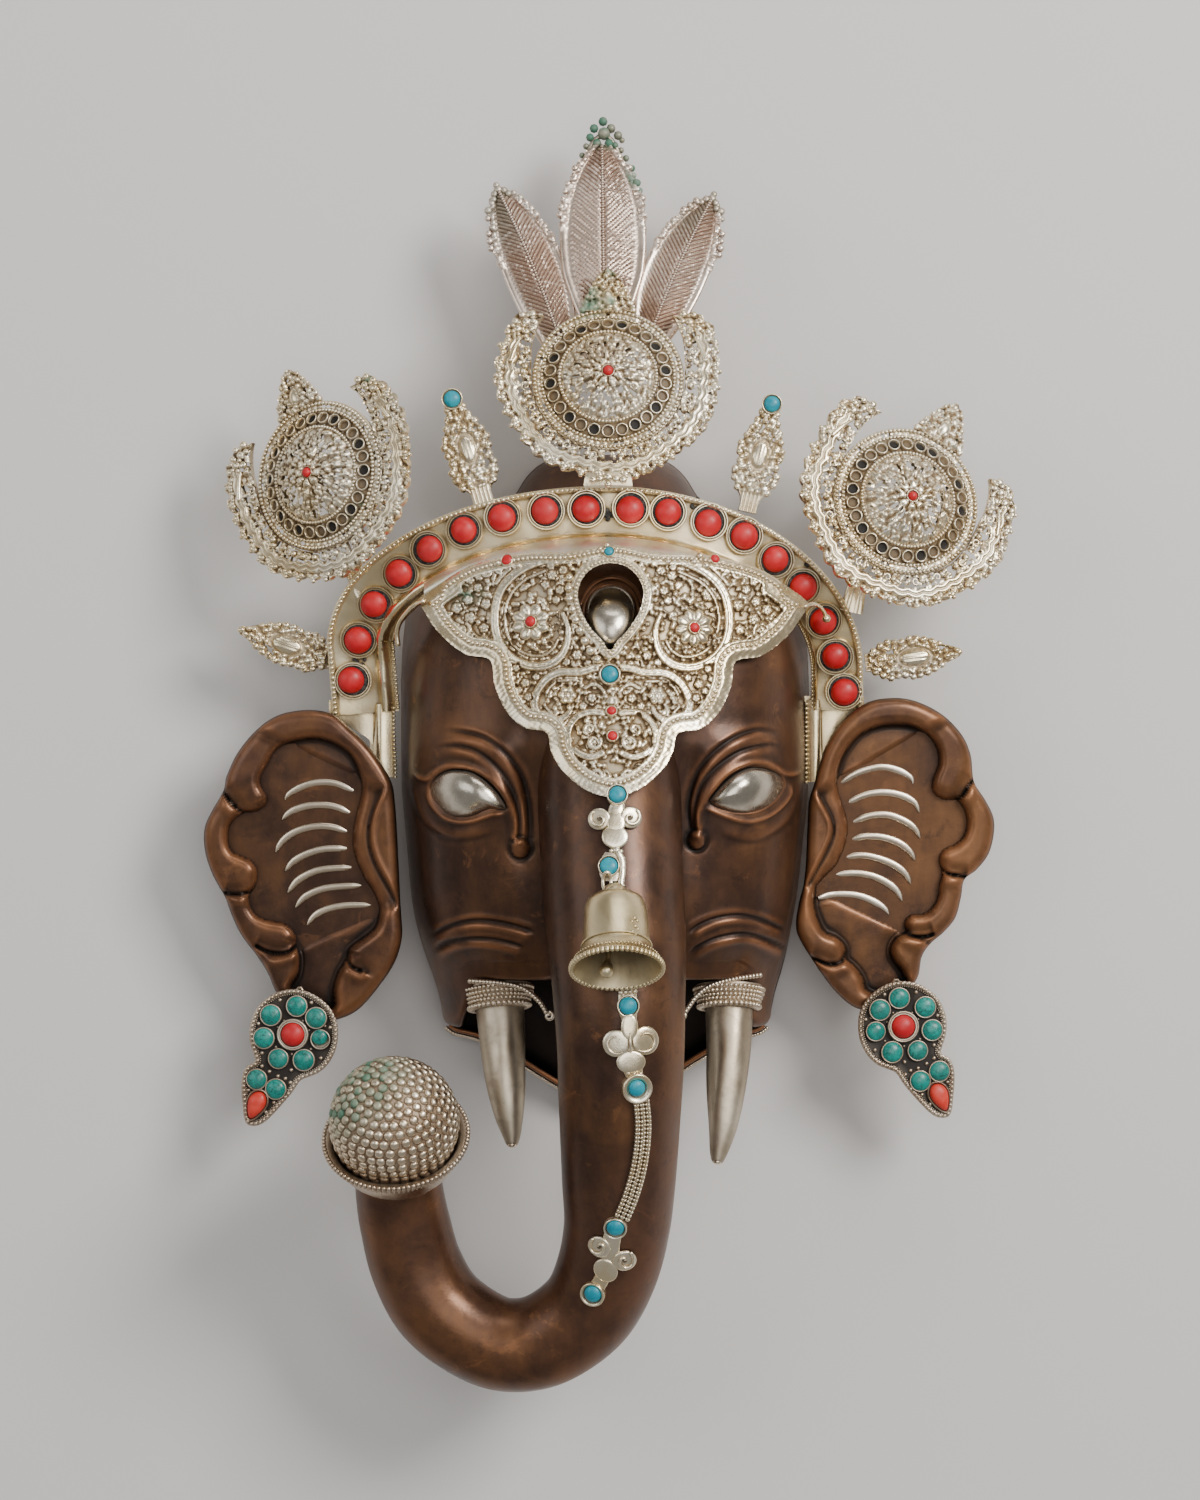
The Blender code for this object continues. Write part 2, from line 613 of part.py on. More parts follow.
n_out = len(plate_outline)
hole = []
for x, y in plate_outline:
    a = math.atan2(-(y - 606.0), x - 611.0)
    dx, dy = math.cos(a), math.sin(a)
    rx = 33.0
    ry = 44.0
    k = 1.0 / math.sqrt((dx / rx) ** 2 + (dy / ry) ** 2)
    px, py = 611.0 + dx * k, 606.0 - dy * k
    if py > 606:
        px = 611.0 + (px - 611.0) * (1.0 - 0.45 * ((py - 606.0) / 44.0) ** 2)
    hole.append((px, py))
relief("forehead_plate", plate_outline, 4,
       lambda x, y, q: plate_z(x, y) + (0.9 if q < 0.2 else 0.0) - 0.8 * smooth(0.9, 1.0, q),
       lambda x, y, q: plate_z(x, y) - 1.7, at, SILVER, hole=hole)

# ---------------------------------------------------------------- crown rosettes
ROSETTE_R = 76.0


def rosette_radius(a, foot):
    """Outline radius (sheet units) by the angle from the leaf tip."""
    d = abs(a)
    leaf = 118.0 - 2.2 * math.degrees(d) if math.degrees(d) < 18 else ROSETTE_R
    deg = math.degrees(d)
    horn = steps((36, 44, 50, 58, 75, 100, 140, 180), (76, 92, 112, 118, 114, 111, 107, 107 + foot))(deg)
    return max(leaf, horn if deg > 36 else ROSETTE_R)


def rosette_dome(u, v, q):
    r = math.hypot(u, v) / (UNIT * 1000.0)
    return 9.0 * smooth(70, 10, r) if r < 76 else 0.0


def rosette(name, x, y, z, normal, turn_deg, foot):
    turn = math.radians(turn_deg)
    up = Vector((math.sin(turn), math.cos(turn), 0))
    place = frame(at(x, y, z), normal, up)
    mm = UNIT * 1000.0
    angles = [math.radians(d) for d in (0, 6, 12, 18, 28, 40, 48, 56, 66, 80, 96, 112, 128, 146, 163)]
    angles = angles + [math.pi] + [-a for a in reversed(angles[1:])]
    pts = [(rosette_radius(a, foot) * mm * math.sin(a), rosette_radius(a, foot) * mm * math.cos(a)) for a in angles]
    return relief(name, pts, 3, lambda u, v, q: 1.6 + rosette_dome(u, v, q),
                  lambda u, v, q: -1.0 + 0.75 * rosette_dome(u, v, q), place, SILVER)


def lean(side_deg, back_deg):
    s, b = math.radians(side_deg), math.radians(back_deg)
    return Vector((math.sin(s) * math.cos(b), math.sin(b), math.cos(s) * math.cos(b)))


rosette("rosette_center", 608, 380, 74, lean(0, 19), 0, 0)
rosette("rosette_left", 321, 476, 66, lean(-33, 6), -27, 0)
rosette("rosette_right", 905, 502, 66, lean(16, 12), 31, 0)

# ---------------------------------------------------------------- plume
# each leaf: foot and tip on the sheet with heights, greatest half width
LEAVES = (((604, 318, 57), (602, 142, 38), 42), ((560, 340, 57), (497, 190, 40), 30), ((649, 338, 57), (714, 200, 40), 31))


def leaf_body(name, foot, tip, half, coll, mat, thick=1.3, keel=2.6):
    rows_ = []
    for i, w in enumerate((0.55, 0.80, 0.97, 1.0, 0.93, 0.76, 0.48, 0.16)):
        t = i / 7.0
        c = at(*[a + (b - a) * t for a, b in zip(foot, tip)])
        d = (at(*tip) - at(*foot)).normalized()
        s = d.cross(Vector((0, 0, 1))).normalized()
        n = s.cross(d)
        hw = half * w * UNIT
        rows_.append([c - s * hw + n * 0.0002, c - s * hw * 0.5 + n * (0.001 * keel * 0.8), c + n * (0.001 * keel),
                      c + s * hw * 0.5 + n * (0.001 * keel * 0.8), c + s * hw + n * 0.0002,
                      c + s * hw * 0.5 + n * (0.001 * (keel * 0.8 - thick - 0.6)), c + n * (0.001 * (keel - thick - 0.8)),
                      c - s * hw * 0.5 + n * (0.001 * (keel * 0.8 - thick - 0.6))])
    return loft(name, rows_, mat, coll)


plume = leaf_body("plume", *LEAVES[0], None, PLUME_SILVER)
for i, leaf in enumerate(LEAVES[1:]):
    side_leaf = leaf_body("plume_side_%d" % i, *leaf, CUT, PLUME_SILVER)
    hide(side_leaf)
    boolean(plume, side_leaf, "UNION")
# root plate behind the centre rosette that carries the three leaves
rootp = relief("plume_root", [(560, 300), (604, 290), (648, 300), (652, 330), (640, 352), (604, 360), (566, 352), (556, 330)], 1,
               lambda x, y, q: 58.6, lambda x, y, q: 55.6, at, PLUME_SILVER)
PART.objects.unlink(rootp)
CUT.objects.link(rootp)
hide(rootp)
boolean(plume, rootp, "UNION")


# ---------------------------------------------------------------- finials
def finial(name, foot, tip, half, widths):
    """Openwork leaf on a short stem, drawn solid: foot, tip, greatest half width."""
    rows_ = []
    n = len(widths)
    a, b = at(*foot), at(*tip)
    d = (b - a).normalized()
    s = d.cross(Vector((0, 0, 1))).normalized()
    nn = s.cross(d)
    for i, w in enumerate(widths):
        c = a + (b - a) * (i / (n - 1.0))
        hw = half * w * UNIT
        rows_.append([c - s * hw, c - s * hw * 0.5 + nn * 0.0018, c + nn * 0.0026, c + s * hw * 0.5 + nn * 0.0018,
                      c + s * hw, c + s * hw * 0.6 - nn * 0.0006, c - nn * 0.0010, c - s * hw * 0.6 - nn * 0.0006])
    return loft(name, rows_, SILVER)


UPRIGHT = (0.40, 0.42, 0.80, 1.0, 0.86, 1.0, 0.84, 0.62, 0.36, 0.36)
SIDEWAYS = (0.42, 0.62, 0.95, 0.86, 1.0, 0.90, 0.70, 0.42, 0.20)
finial("finial_upper_left", (485, 506, 69.5), (452, 392, 64), 24, UPRIGHT)
finial("finial_upper_right", (747, 512, 69.5), (772, 397, 64), 23, UPRIGHT)
finial("finial_side_left", (334, 660, 46), (239, 629, 42), 22, SIDEWAYS)
finial("finial_side_right", (865, 663, 46), (961, 652, 42), 22, SIDEWAYS)

coral("finial_stone_left", 452, 399, 67.6, 8.4 * UNIT, 0.0030, mat=TURQUOISE)
coral("finial_stone_right", 772, 404, 67.6, 8.0 * UNIT, 0.0030, mat=TURQUOISE)

# ---------------------------------------------------------------- ear pendants
PEND = ((0, 44), (60, 44), (100, 44), (138, 44), (165, 50), (180, 88), (196, 78), (215, 52), (245, 44), (300, 44))


def pendant(name, x, y, z, turn_deg, mirror, normal):
    mm = UNIT * 1000.0
    up = Vector((math.sin(math.radians(turn_deg)), math.cos(math.radians(turn_deg)), 0))
    place = frame(at(x, y, z), normal, up)
    radius = steps((0, 100, 138, 152, 172, 180, 188, 208, 222, 260, 360), (44, 44, 45, 52, 84, 97, 90, 56, 45, 44, 44))
    pts = []
    for k in range(26):
        deg = 360.0 * k / 26 if k < 26 else 0
        r = radius(deg) * mm
        a = math.radians(deg) * mirror
        pts.append((r * math.sin(a), r * math.cos(a)))
    return relief(name, pts, 2, lambda u, v, q: 1.8, lambda u, v, q: -0.8, place, SILVER)


pendant("ear_pendant_left", 293.5, 1034, 45.6, 25, 1, (-0.10, -0.04, 1))
pendant("ear_pendant_right", 902.5, 1026, 45.6, -26, -1, (0.10, -0.04, 1))
mmu = UNIT * 1000.0
coral("pendant_coral_left", 293, 1034, 47.8, 12.4 * UNIT, 0.0036, (-0.10, -0.04, 1))
coral("pendant_coral_right", 904.5, 1025.5, 47.8, 12.4 * UNIT, 0.0036, (0.10, -0.04, 1))

# ---------------------------------------------------------------- trunk ornaments
PROF_LINK = ((-1.0, 0.0), (-0.7, 1.9), (0.0, 2.4), (0.7, 1.9), (1.0, 0.0))


def strap(name, rows_, thick, lift):
    """Flat ornament lying on the trunk: rows of (x, y, half width), sheet units."""
    rings = []
    pts = [Vector((x, y, 0)) for x, y, w in rows_]
    for i, (x, y, w) in enumerate(rows_):
        d = (pts[min(i + 1, len(pts) - 1)] - pts[max(i - 1, 0)]).normalized()
        sx, sy = d.y, -d.x
        ring = []
        for k, up in ((-1.0, 0.0), (-0.5, 0.7), (0.0, 1.0), (0.5, 0.7), (1.0, 0.0)):
            px, py = x + sx * w * k, y + sy * w * k
            ring.append(at(px, py, trunk_top(px, py) + lift + 0.5 + (thick - 0.5) * up))
        for k in (1.0, 0.5, 0.0, -0.5, -1.0):
            px, py = x + sx * w * k, y + sy * w * k
            ring.append(at(px, py, trunk_top(px, py) + lift))
        rings.append(ring)
    return loft(name, rings, SILVER)


strap("trunk_pendant_upper", ((617.5, 803, 7), (617, 810, 10), (616, 818, 24), (615.5, 828, 20), (614.5, 838, 13),
                              (611, 852, 8), (609.5, 858, 13), (609.5, 866, 15), (610, 876, 12), (611, 884, 5),
                              (611.5, 890, 5)), 2.6, 0.6)
strap("trunk_pendant_lower", ((627, 1001, 12), (627.5, 1012, 13), (629, 1026, 9), (630, 1040, 28), (631, 1054, 27),
                              (633, 1070, 12), (636, 1080, 14), (637, 1094, 15), (641, 1106, 9), (644, 1130, 9),
                              (643, 1158, 9), (638, 1186, 9), (629, 1212, 9), (617, 1222, 13), (613, 1234, 13),
                              (612, 1246, 20), (611, 1262, 20), (602, 1278, 9), (595, 1288, 12), (590, 1300, 8)), 2.4, 1.2)

# bell: turned shell with a flared mouth, hanging against the trunk and open downwards
BELL_TILT = math.radians(28)
bell_axis = Vector((0.02, -math.cos(BELL_TILT), math.sin(BELL_TILT))).normalized()
BELL_MOUTH = at(617, 968, 168.2)
outer = ((0.0030, -0.0385), (0.0050, -0.0375), (0.0052, -0.0345), (0.0105, -0.0330), (0.0134, -0.0290),
         (0.0148, -0.0090), (0.0182, -0.0030), (BELL_R + 0.0008, -0.0012), (BELL_R + 0.0008, 0.0006))
inner = ((BELL_R - 0.0010, 0.0006), (0.0170, -0.0030), (0.0134, -0.0090), (0.0120, -0.0285),
         (0.0010, -0.0318))


def turned(name, centre, axis, profile, sides, mat, angle=40.0):
    u = axis.cross(Vector((1, 0, 0))).normalized()
    v = axis.cross(u)
    rings = [[centre + axis * s + (u * math.cos(2 * math.pi * k / sides) + v * math.sin(2 * math.pi * k / sides)) * r
              for k in range(sides)] for r, s in profile]
    return loft(name, rings, mat, angle=angle)


turned("bell", BELL_MOUTH, bell_axis, outer + inner, 16, SILVER)
# clapper: rod with a ball, hung inside and swung a little to one side
top = BELL_MOUTH - bell_axis * 0.0306
end = BELL_MOUTH + Vector((-0.0046, -0.0016, -0.0040))
d = (end - top)
L = d.length
turned("bell_clapper", top, d.normalized(), ((0.0012, 0.0), (0.0013, L - 0.0040), (0.0026, L - 0.0026), (0.0030, L - 0.0004),
                                             (0.0024, L + 0.0018), (0.0010, L + 0.0028)), 8, SILVER)

# ---------------------------------------------------------------- dish and sweet
dish_axis = Vector((-0.06, 0.74, 0.67)).normalized()
DISH = at(396, 1137, 103)
dish_profile = ((0.0010, -0.0206), (0.0140, -0.0206), (0.0225, -0.0165), (0.0285, -0.0080), (DISH_R, -0.0010), (DISH_R + 0.0008, 0.0006),
                (DISH_R - 0.0012, 0.0008), (0.0302, -0.0012), (0.0271, -0.0080), (0.0212, -0.0152), (0.0130, -0.0188), (0.0010, -0.0190))
turned("sweet_dish", DISH, dish_axis, dish_profile, 18, SILVER)
ball = DISH + dish_axis * 0.0125
prof = []
for i in range(9):
    a = math.pi * (0.06 + 0.88 * i / 8.0)
    prof.append((SWEET_R * math.sin(a), -SWEET_R * math.cos(a)))
turned("sweet", ball, dish_axis, prof, 16, PLUME_SILVER, angle=60)

# keep the trunk's end clear of the dish
clear = turned("dish_seat", DISH, dish_axis, ((0.0010, -0.0210), (0.0142, -0.0210), (0.0229, -0.0168), (0.0290, -0.0081),
                                              (0.0323, -0.0010), (0.0330, 0.0300), (0.0010, 0.0300)), 18, SILVER)
PART.objects.unlink(clear)
CUT.objects.link(clear)
hide(clear)
boolean(trunk, clear)
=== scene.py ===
# Elephant-headed wall mask lying on its back on a pale studio floor.
# Everything is laid out on the drawing sheet of the CAD model: sheet x to the
# right, sheet y down, one unit is 0.45 mm at a height of 60 mm.
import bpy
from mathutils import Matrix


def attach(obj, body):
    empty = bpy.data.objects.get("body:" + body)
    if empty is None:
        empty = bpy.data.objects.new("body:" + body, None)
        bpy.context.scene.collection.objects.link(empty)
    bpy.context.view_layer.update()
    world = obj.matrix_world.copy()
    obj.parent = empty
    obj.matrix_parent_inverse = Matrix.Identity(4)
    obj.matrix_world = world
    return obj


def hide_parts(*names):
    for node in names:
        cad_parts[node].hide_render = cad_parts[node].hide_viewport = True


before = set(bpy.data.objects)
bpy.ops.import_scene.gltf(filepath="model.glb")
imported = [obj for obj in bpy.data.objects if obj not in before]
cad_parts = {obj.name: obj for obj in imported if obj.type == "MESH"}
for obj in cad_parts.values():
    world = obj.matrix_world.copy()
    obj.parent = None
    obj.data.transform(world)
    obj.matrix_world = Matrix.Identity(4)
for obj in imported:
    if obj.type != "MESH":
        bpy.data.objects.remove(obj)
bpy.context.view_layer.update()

import math
import bpy
import numpy as np
from mathutils import Vector, Matrix

UNIT, EYE, REF = 0.00045, 2.4, 0.06
SHIFT_X, SHIFT_Y = 0.0047, -0.0055
MM = UNIT * 1000.0
rng = np.random.default_rng(7)


# ------------------------------------------------------------------ layout
def at(x, y, z):
    x, y, z = np.broadcast_arrays(np.asarray(x, float), np.asarray(y, float), np.asarray(z, float))
    zz = z * 0.001
    k = (EYE - zz) / (EYE - REF)
    return np.stack([(x - 600.0) * UNIT * k - SHIFT_X, (750.0 - y) * UNIT * k - SHIFT_Y, zz], -1)


def flat(x, y, z):
    x, y, z = np.broadcast_arrays(np.asarray(x, float), np.asarray(y, float), np.asarray(z, float))
    return np.stack([(x - 600.0) * UNIT - SHIFT_X, (750.0 - y) * UNIT - SHIFT_Y, z * 0.001], -1)


def sheet(p):
    """Sheet x, y of points in space as the eye sees them."""
    k = (EYE - p[..., 2]) / (EYE - REF)
    return (p[..., 0] + SHIFT_X) / (UNIT * k) + 600.0, 750.0 - (p[..., 1] + SHIFT_Y) / (UNIT * k)


def steps(xs, ys):
    xs, ys = np.array(xs, float), np.array(ys, float)
    d = np.diff(ys) / np.diff(xs)
    m = np.empty(len(xs))
    m[0], m[-1] = d[0], d[-1]
    a, b = d[:-1], d[1:]
    ok = a * b > 0
    m[1:-1] = np.where(ok, 2.0 / (1.0 / np.where(ok, a, 1.0) + 1.0 / np.where(ok, b, 1.0)), 0.0)

    def f(x):
        x = np.clip(np.asarray(x, float), xs[0], xs[-1])
        i = np.clip(np.searchsorted(xs, x, side="right") - 1, 0, len(xs) - 2)
        h = xs[i + 1] - xs[i]
        t = (x - xs[i]) / h
        return ((2 * t ** 3 - 3 * t ** 2 + 1) * ys[i] + (t ** 3 - 2 * t ** 2 + t) * h * m[i]
                + (-2 * t ** 3 + 3 * t ** 2) * ys[i + 1] + (t ** 3 - t ** 2) * h * m[i + 1])
    return f


def smooth(a, b, x):
    t = np.clip((np.asarray(x, float) - a) / (b - a), 0.0, 1.0)
    return t * t * (3 - 2 * t)


def curve(points, n, closed=False):
    """n points evenly along a Catmull-Rom curve through the given tuples."""
    p = np.array(points, float)
    if closed:
        p = np.vstack([p[-1], p, p[0], p[1]])
    else:
        p = np.vstack([p[0], p, p[-1]])
    t = (np.arange(16) / 16.0)[:, None]
    fine = []
    for i in range(1, len(p) - 2):
        a, b, c, d = p[i - 1], p[i], p[i + 1], p[i + 2]
        fine.append(0.5 * (2 * b + (c - a) * t + (2 * a - 5 * b + 4 * c - d) * t ** 2 + (3 * b - a - 3 * c + d) * t ** 3))
    fine.append(p[-2][None])
    fine = np.vstack(fine)
    run = np.concatenate([[0], np.cumsum(np.linalg.norm(np.diff(fine[:, :3], axis=0), axis=1))])
    s = np.linspace(0, run[-1], n + 1)[:-1] if closed else np.linspace(0, run[-1], n)
    return np.stack([np.interp(s, run, fine[:, k]) for k in range(fine.shape[1])], 1)


def line_field(px, py, pts):
    """Distance, side and run (0 to 1) of points about a polyline."""
    p = np.asarray(pts, float)
    best = np.full(px.shape, 1e12)
    side = np.zeros(px.shape)
    run = np.zeros(px.shape)
    seg = np.linalg.norm(np.diff(p, axis=0), axis=1)
    total, done = seg.sum(), 0.0
    for i in range(len(p) - 1):
        ax, ay = p[i]
        dx, dy = p[i + 1] - p[i]
        ll = dx * dx + dy * dy + 1e-12
        t = np.clip(((px - ax) * dx + (py - ay) * dy) / ll, 0, 1)
        ex, ey = px - ax - dx * t, py - ay - dy * t
        d = ex * ex + ey * ey
        m = d < best
        best = np.where(m, d, best)
        side = np.where(m, np.sign(dx * ey - dy * ex), side)
        run = np.where(m, (done + t * seg[i]) / total, run)
        done += seg[i]
    return np.sqrt(best), side, run


def inside(px, py, poly):
    poly = np.asarray(poly, float)
    c = np.zeros(px.shape, bool)
    n = len(poly)
    for i in range(n):
        x0, y0 = poly[i]
        x1, y1 = poly[(i + 1) % n]
        if y0 == y1:
            continue
        m = (y0 > py) != (y1 > py)
        c ^= m & (px < (x1 - x0) * (py - y0) / (y1 - y0) + x0)
    return c


def edge_field(px, py, poly):
    """Signed distance to a closed outline, negative inside."""
    p = np.vstack([poly, poly[:1]])
    d, _, run = line_field(px, py, p)
    return np.where(inside(px, py, poly), -d, d), run


def near(px, py, pts, reach, fn, out):
    """Adds fn(distance, side, run) to out for points within reach of a line."""
    p = np.asarray(pts, float)
    m = ((px > p[:, 0].min() - reach) & (px < p[:, 0].max() + reach)
         & (py > p[:, 1].min() - reach) & (py < p[:, 1].max() + reach))
    if m.any():
        d, s, r = line_field(px[m], py[m], p)
        out[m] += fn(d, s, r)


def blur(a, k):
    """Box blur of a grid by k cells each way."""
    for axis in (0, 1):
        w = 2 * k + 1
        pad = [(0, 0), (0, 0)]
        pad[axis] = (k + 1, k)
        c = np.cumsum(np.pad(a, pad, mode="edge"), axis=axis)
        if axis == 0:
            a = (c[w:] - c[:-w]) / w
        else:
            a = (c[:, w:] - c[:, :-w]) / w
    return a


def grid_normals(P, wrap=False):
    du = np.gradient(P, axis=1)
    if wrap:
        du = (np.roll(P, -1, axis=1) - np.roll(P, 1, axis=1)) * 0.5
    dv = np.gradient(P, axis=0)
    n = np.cross(du, dv)
    return n / np.maximum(np.linalg.norm(n, axis=-1, keepdims=True), 1e-12)


def unit(v):
    v = np.asarray(v, float)
    return v / np.maximum(np.linalg.norm(v, axis=-1, keepdims=True), 1e-12)


# ------------------------------------------------------------------ meshes
class Piece:
    """Collects vertices and faces of one object."""

    def __init__(self):
        self.v, self.a, self.q, self.t, self.qm, self.tm = [], [], [], [], [], []
        self.n = 0

    def add(self, verts, quads=None, tris=None, mat=0, tint=None):
        verts = np.asarray(verts, float).reshape(-1, 3)
        base = self.n
        self.v.append(verts)
        if tint is None:
            tint = np.zeros((len(verts), 3))
        tint = np.asarray(tint, float)
        if tint.ndim == 1:
            tint = np.tile(tint, (len(verts), 1))
        self.a.append(tint)
        if quads is not None and len(quads):
            q = np.asarray(quads, int) + base
            self.q.append(q)
            self.qm.append(np.full(len(q), mat))
        if tris is not None and len(tris):
            t = np.asarray(tris, int) + base
            self.t.append(t)
            self.tm.append(np.full(len(t), mat))
        self.n += len(verts)

    def grid(self, P, wrap=False, mat=0, tint=None, flip=False, keep=None, cap0=False, cap1=False):
        r, c = P.shape[:2]
        i, j = np.meshgrid(np.arange(r - 1), np.arange(c if wrap else c - 1), indexing="ij")
        j2 = (j + 1) % c
        q = np.stack([i * c + j, i * c + j2, (i + 1) * c + j2, (i + 1) * c + j], -1).reshape(-1, 4)
        if keep is not None:
            q = q[keep.reshape(-1)]
        if flip:
            q = q[:, ::-1]
        verts = P.reshape(-1, 3)
        tr = []
        if tint is not None:
            tint = np.asarray(tint, float)
            if tint.ndim == 3:
                tint = tint.reshape(-1, tint.shape[-1])
        extra, et = [], []
        n = len(verts)
        for flag, row in ((cap0, 0), (cap1, r - 1)):
            if flag:
                idx = row * c + np.arange(c)
                extra.append(verts[idx].mean(0))
                k = n + len(extra) - 1
                a, b = idx, np.roll(idx, -1)
                up = (row == 0) != flip
                tr += [(k, y, x) if up else (k, x, y) for x, y in zip(a, b)]
                if tint is not None and tint.ndim == 2:
                    et.append(tint[idx].mean(0))
        if extra:
            verts = np.vstack([verts, np.array(extra)])
            if tint is not None and tint.ndim == 2:
                tint = np.vstack([tint, np.array(et)])
        if keep is not None:
            used = np.unique(q)
            remap = np.full(len(verts), -1)
            remap[used] = np.arange(len(used))
            q = remap[q]
            verts = verts[used]
            if tint is not None and tint.ndim == 2:
                tint = tint[used]
        self.add(verts, q, np.array(tr) if tr else None, mat, tint)

    def stamp(self, tpl, origins, frames, scales=1.0, mat=0, tint=None):
        """Copies of a template (verts, quads, tris) at many places."""
        tv, tq, tt = tpl
        o = np.asarray(origins, float).reshape(-1, 3)
        n = len(o)
        if n == 0:
            return
        f = np.asarray(frames, float)
        if f.ndim == 2:
            f = np.tile(f, (n, 1, 1))
        s = np.asarray(scales, float)
        if s.ndim == 0:
            s = np.full((n, 3), float(s))
        elif s.ndim == 1:
            s = np.tile(s, (n, 1)) if len(s) == 3 and n != 3 else np.repeat(s[:, None], 3, 1)
        local = tv[None] * s[:, None, :]
        v = np.einsum("nki,nij->nkj", local, f) + o[:, None, :]
        k = len(tv)
        offs = (np.arange(n) * k)[:, None, None]
        q = (tq[None] + offs).reshape(-1, 4) if len(tq) else None
        t = (tt[None] + offs).reshape(-1, 3) if len(tt) else None
        if tint is not None:
            tint = np.asarray(tint, float)
            if tint.ndim == 2:
                tint = np.repeat(tint, k, 0)
        self.add(v.reshape(-1, 3), q, t, mat, tint)

    def tube(self, path, radius, sides=8, up=(0, 0, 1), squash=1.0, mat=0, tint=None, closed=False, caps=True):
        path = np.asarray(path, float)
        n = len(path)
        if closed:
            t = np.roll(path, -1, 0) - np.roll(path, 1, 0)
        else:
            t = np.gradient(path, axis=0)
        t = unit(t)
        u = np.asarray(up, float)
        if u.ndim == 1:
            u = np.tile(u, (n, 1))
        nn = unit(u - t * (u * t).sum(-1, keepdims=True))
        b = np.cross(t, nn)
        r = np.broadcast_to(np.asarray(radius, float), (n,))[:, None, None]
        ang = np.arange(sides) * 2 * math.pi / sides
        P = path[:, None, :] + r * (nn[:, None, :] * (np.cos(ang) * squash)[None, :, None]
                                    + b[:, None, :] * np.sin(ang)[None, :, None])
        if closed:
            P = np.concatenate([P, P[:1]], 0)
            self.grid(P, wrap=True, mat=mat, tint=tint)
        else:
            self.grid(P, wrap=True, mat=mat, tint=tint, cap0=caps, cap1=caps)

    def build(self, name, mats, nodes=(), slot=None, angle=None, flip=False):
        v = np.vstack(self.v)
        a = np.vstack(self.a)
        me = bpy.data.meshes.new(name)
        q = np.vstack(self.q) if self.q else np.zeros((0, 4), int)
        t = np.vstack(self.t) if self.t else np.zeros((0, 3), int)
        if flip:
            q, t = q[:, ::-1], t[:, ::-1]
        me.vertices.add(len(v))
        me.vertices.foreach_set("co", v.astype(np.float32).ravel())
        me.loops.add(q.size + t.size)
        me.loops.foreach_set("vertex_index", np.concatenate([q.ravel(), t.ravel()]).astype(np.int32))
        me.polygons.add(len(q) + len(t))
        me.polygons.foreach_set("loop_start", np.concatenate(
            [np.arange(len(q)) * 4, q.size + np.arange(len(t)) * 3]).astype(np.int32))
        qm = np.concatenate(self.qm) if self.qm else np.zeros(0, int)
        tm = np.concatenate(self.tm) if self.tm else np.zeros(0, int)
        me.polygons.foreach_set("material_index", np.concatenate([qm, tm]).astype(np.int32))
        for m in mats:
            me.materials.append(m)
        me.update(calc_edges=True)
        me.validate()
        me.shade_smooth()
        col = me.attributes.new("tint", "FLOAT_COLOR", "POINT")
        if len(me.vertices) == len(v):
            rgba = np.concatenate([a, np.ones((len(a), 1))], 1)
            col.data.foreach_set("color", rgba.astype(np.float32).ravel())
        if angle:
            me.set_sharp_from_angle(angle=math.radians(angle))
        ob = bpy.data.objects.new(name, me)
        bpy.context.scene.collection.objects.link(ob)
        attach(ob, "root")
        if nodes:
            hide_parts(*([nodes] if isinstance(nodes, str) else list(nodes)))
        TRIS[name] = len(q) * 2 + len(t)
        return ob


TRIS = {}


# ------------------------------------------------------------------ templates
def lathe(profile, seg, close=True):
    """Turned template about Z: profile of (radius, height), bottom to top."""
    pr = np.array(profile, float)
    ang = np.arange(seg) * 2 * math.pi / seg
    verts = [np.stack([r * np.cos(ang), r * np.sin(ang), np.full(seg, h)], 1) for r, h in pr]
    v = np.vstack(verts)
    quads, tris = [], []
    for i in range(len(pr) - 1):
        for k in range(seg):
            l = (k + 1) % seg
            quads.append((i * seg + k, i * seg + l, (i + 1) * seg + l, (i + 1) * seg + k))
    if close:
        v = np.vstack([v, [0, 0, pr[-1][1]]])
        top = (len(pr) - 1) * seg
        for k in range(seg):
            tris.append((top + k, top + (k + 1) % seg, len(v) - 1))
    return v, np.array(quads, int).reshape(-1, 4), np.array(tris, int).reshape(-1, 3)


def dome(seg=8, rings=3, tall=1.0, skirt=0.5):
    pr = [(1.0, -skirt)]
    for i in range(rings):
        a = 0.5 * math.pi * i / rings
        pr.append((math.cos(a), tall * math.sin(a)))
    v, q, t = lathe(pr, seg)
    v[-1, 2] = tall
    return v, q, t


BEAD = dome(8, 3, 1.0, 0.4)
BALL = dome(8, 3, 1.0, 1.0)
GRAIN = dome(7, 2, 0.95, 0.5)
PETAL = dome(8, 3, 0.7, 0.4)
CABOCHON = lathe([(1.0, -0.15), (1.0, 0.18), (0.97, 0.36), (0.90, 0.52), (0.78, 0.68), (0.62, 0.81), (0.42, 0.92), (0.20, 0.98)], 28)
STONE = lathe([(1.0, -0.2), (1.0, 0.15), (0.93, 0.38), (0.76, 0.60), (0.52, 0.76), (0.25, 0.85)], 18)
# cup: outer wall, lip, inner wall and floor
CUP = lathe([(1.0, -0.5), (1.0, 0.62), (0.96, 0.72), (0.86, 0.72), (0.82, 0.62), (0.80, -0.20), (0.76, -0.32), (0.3, -0.38)], 16)
BEZEL = lathe([(1.06, -0.3), (1.04, 0.15), (1.0, 0.24), (0.93, 0.24), (0.90, 0.10), (0.88, -0.05)], 32, close=False)


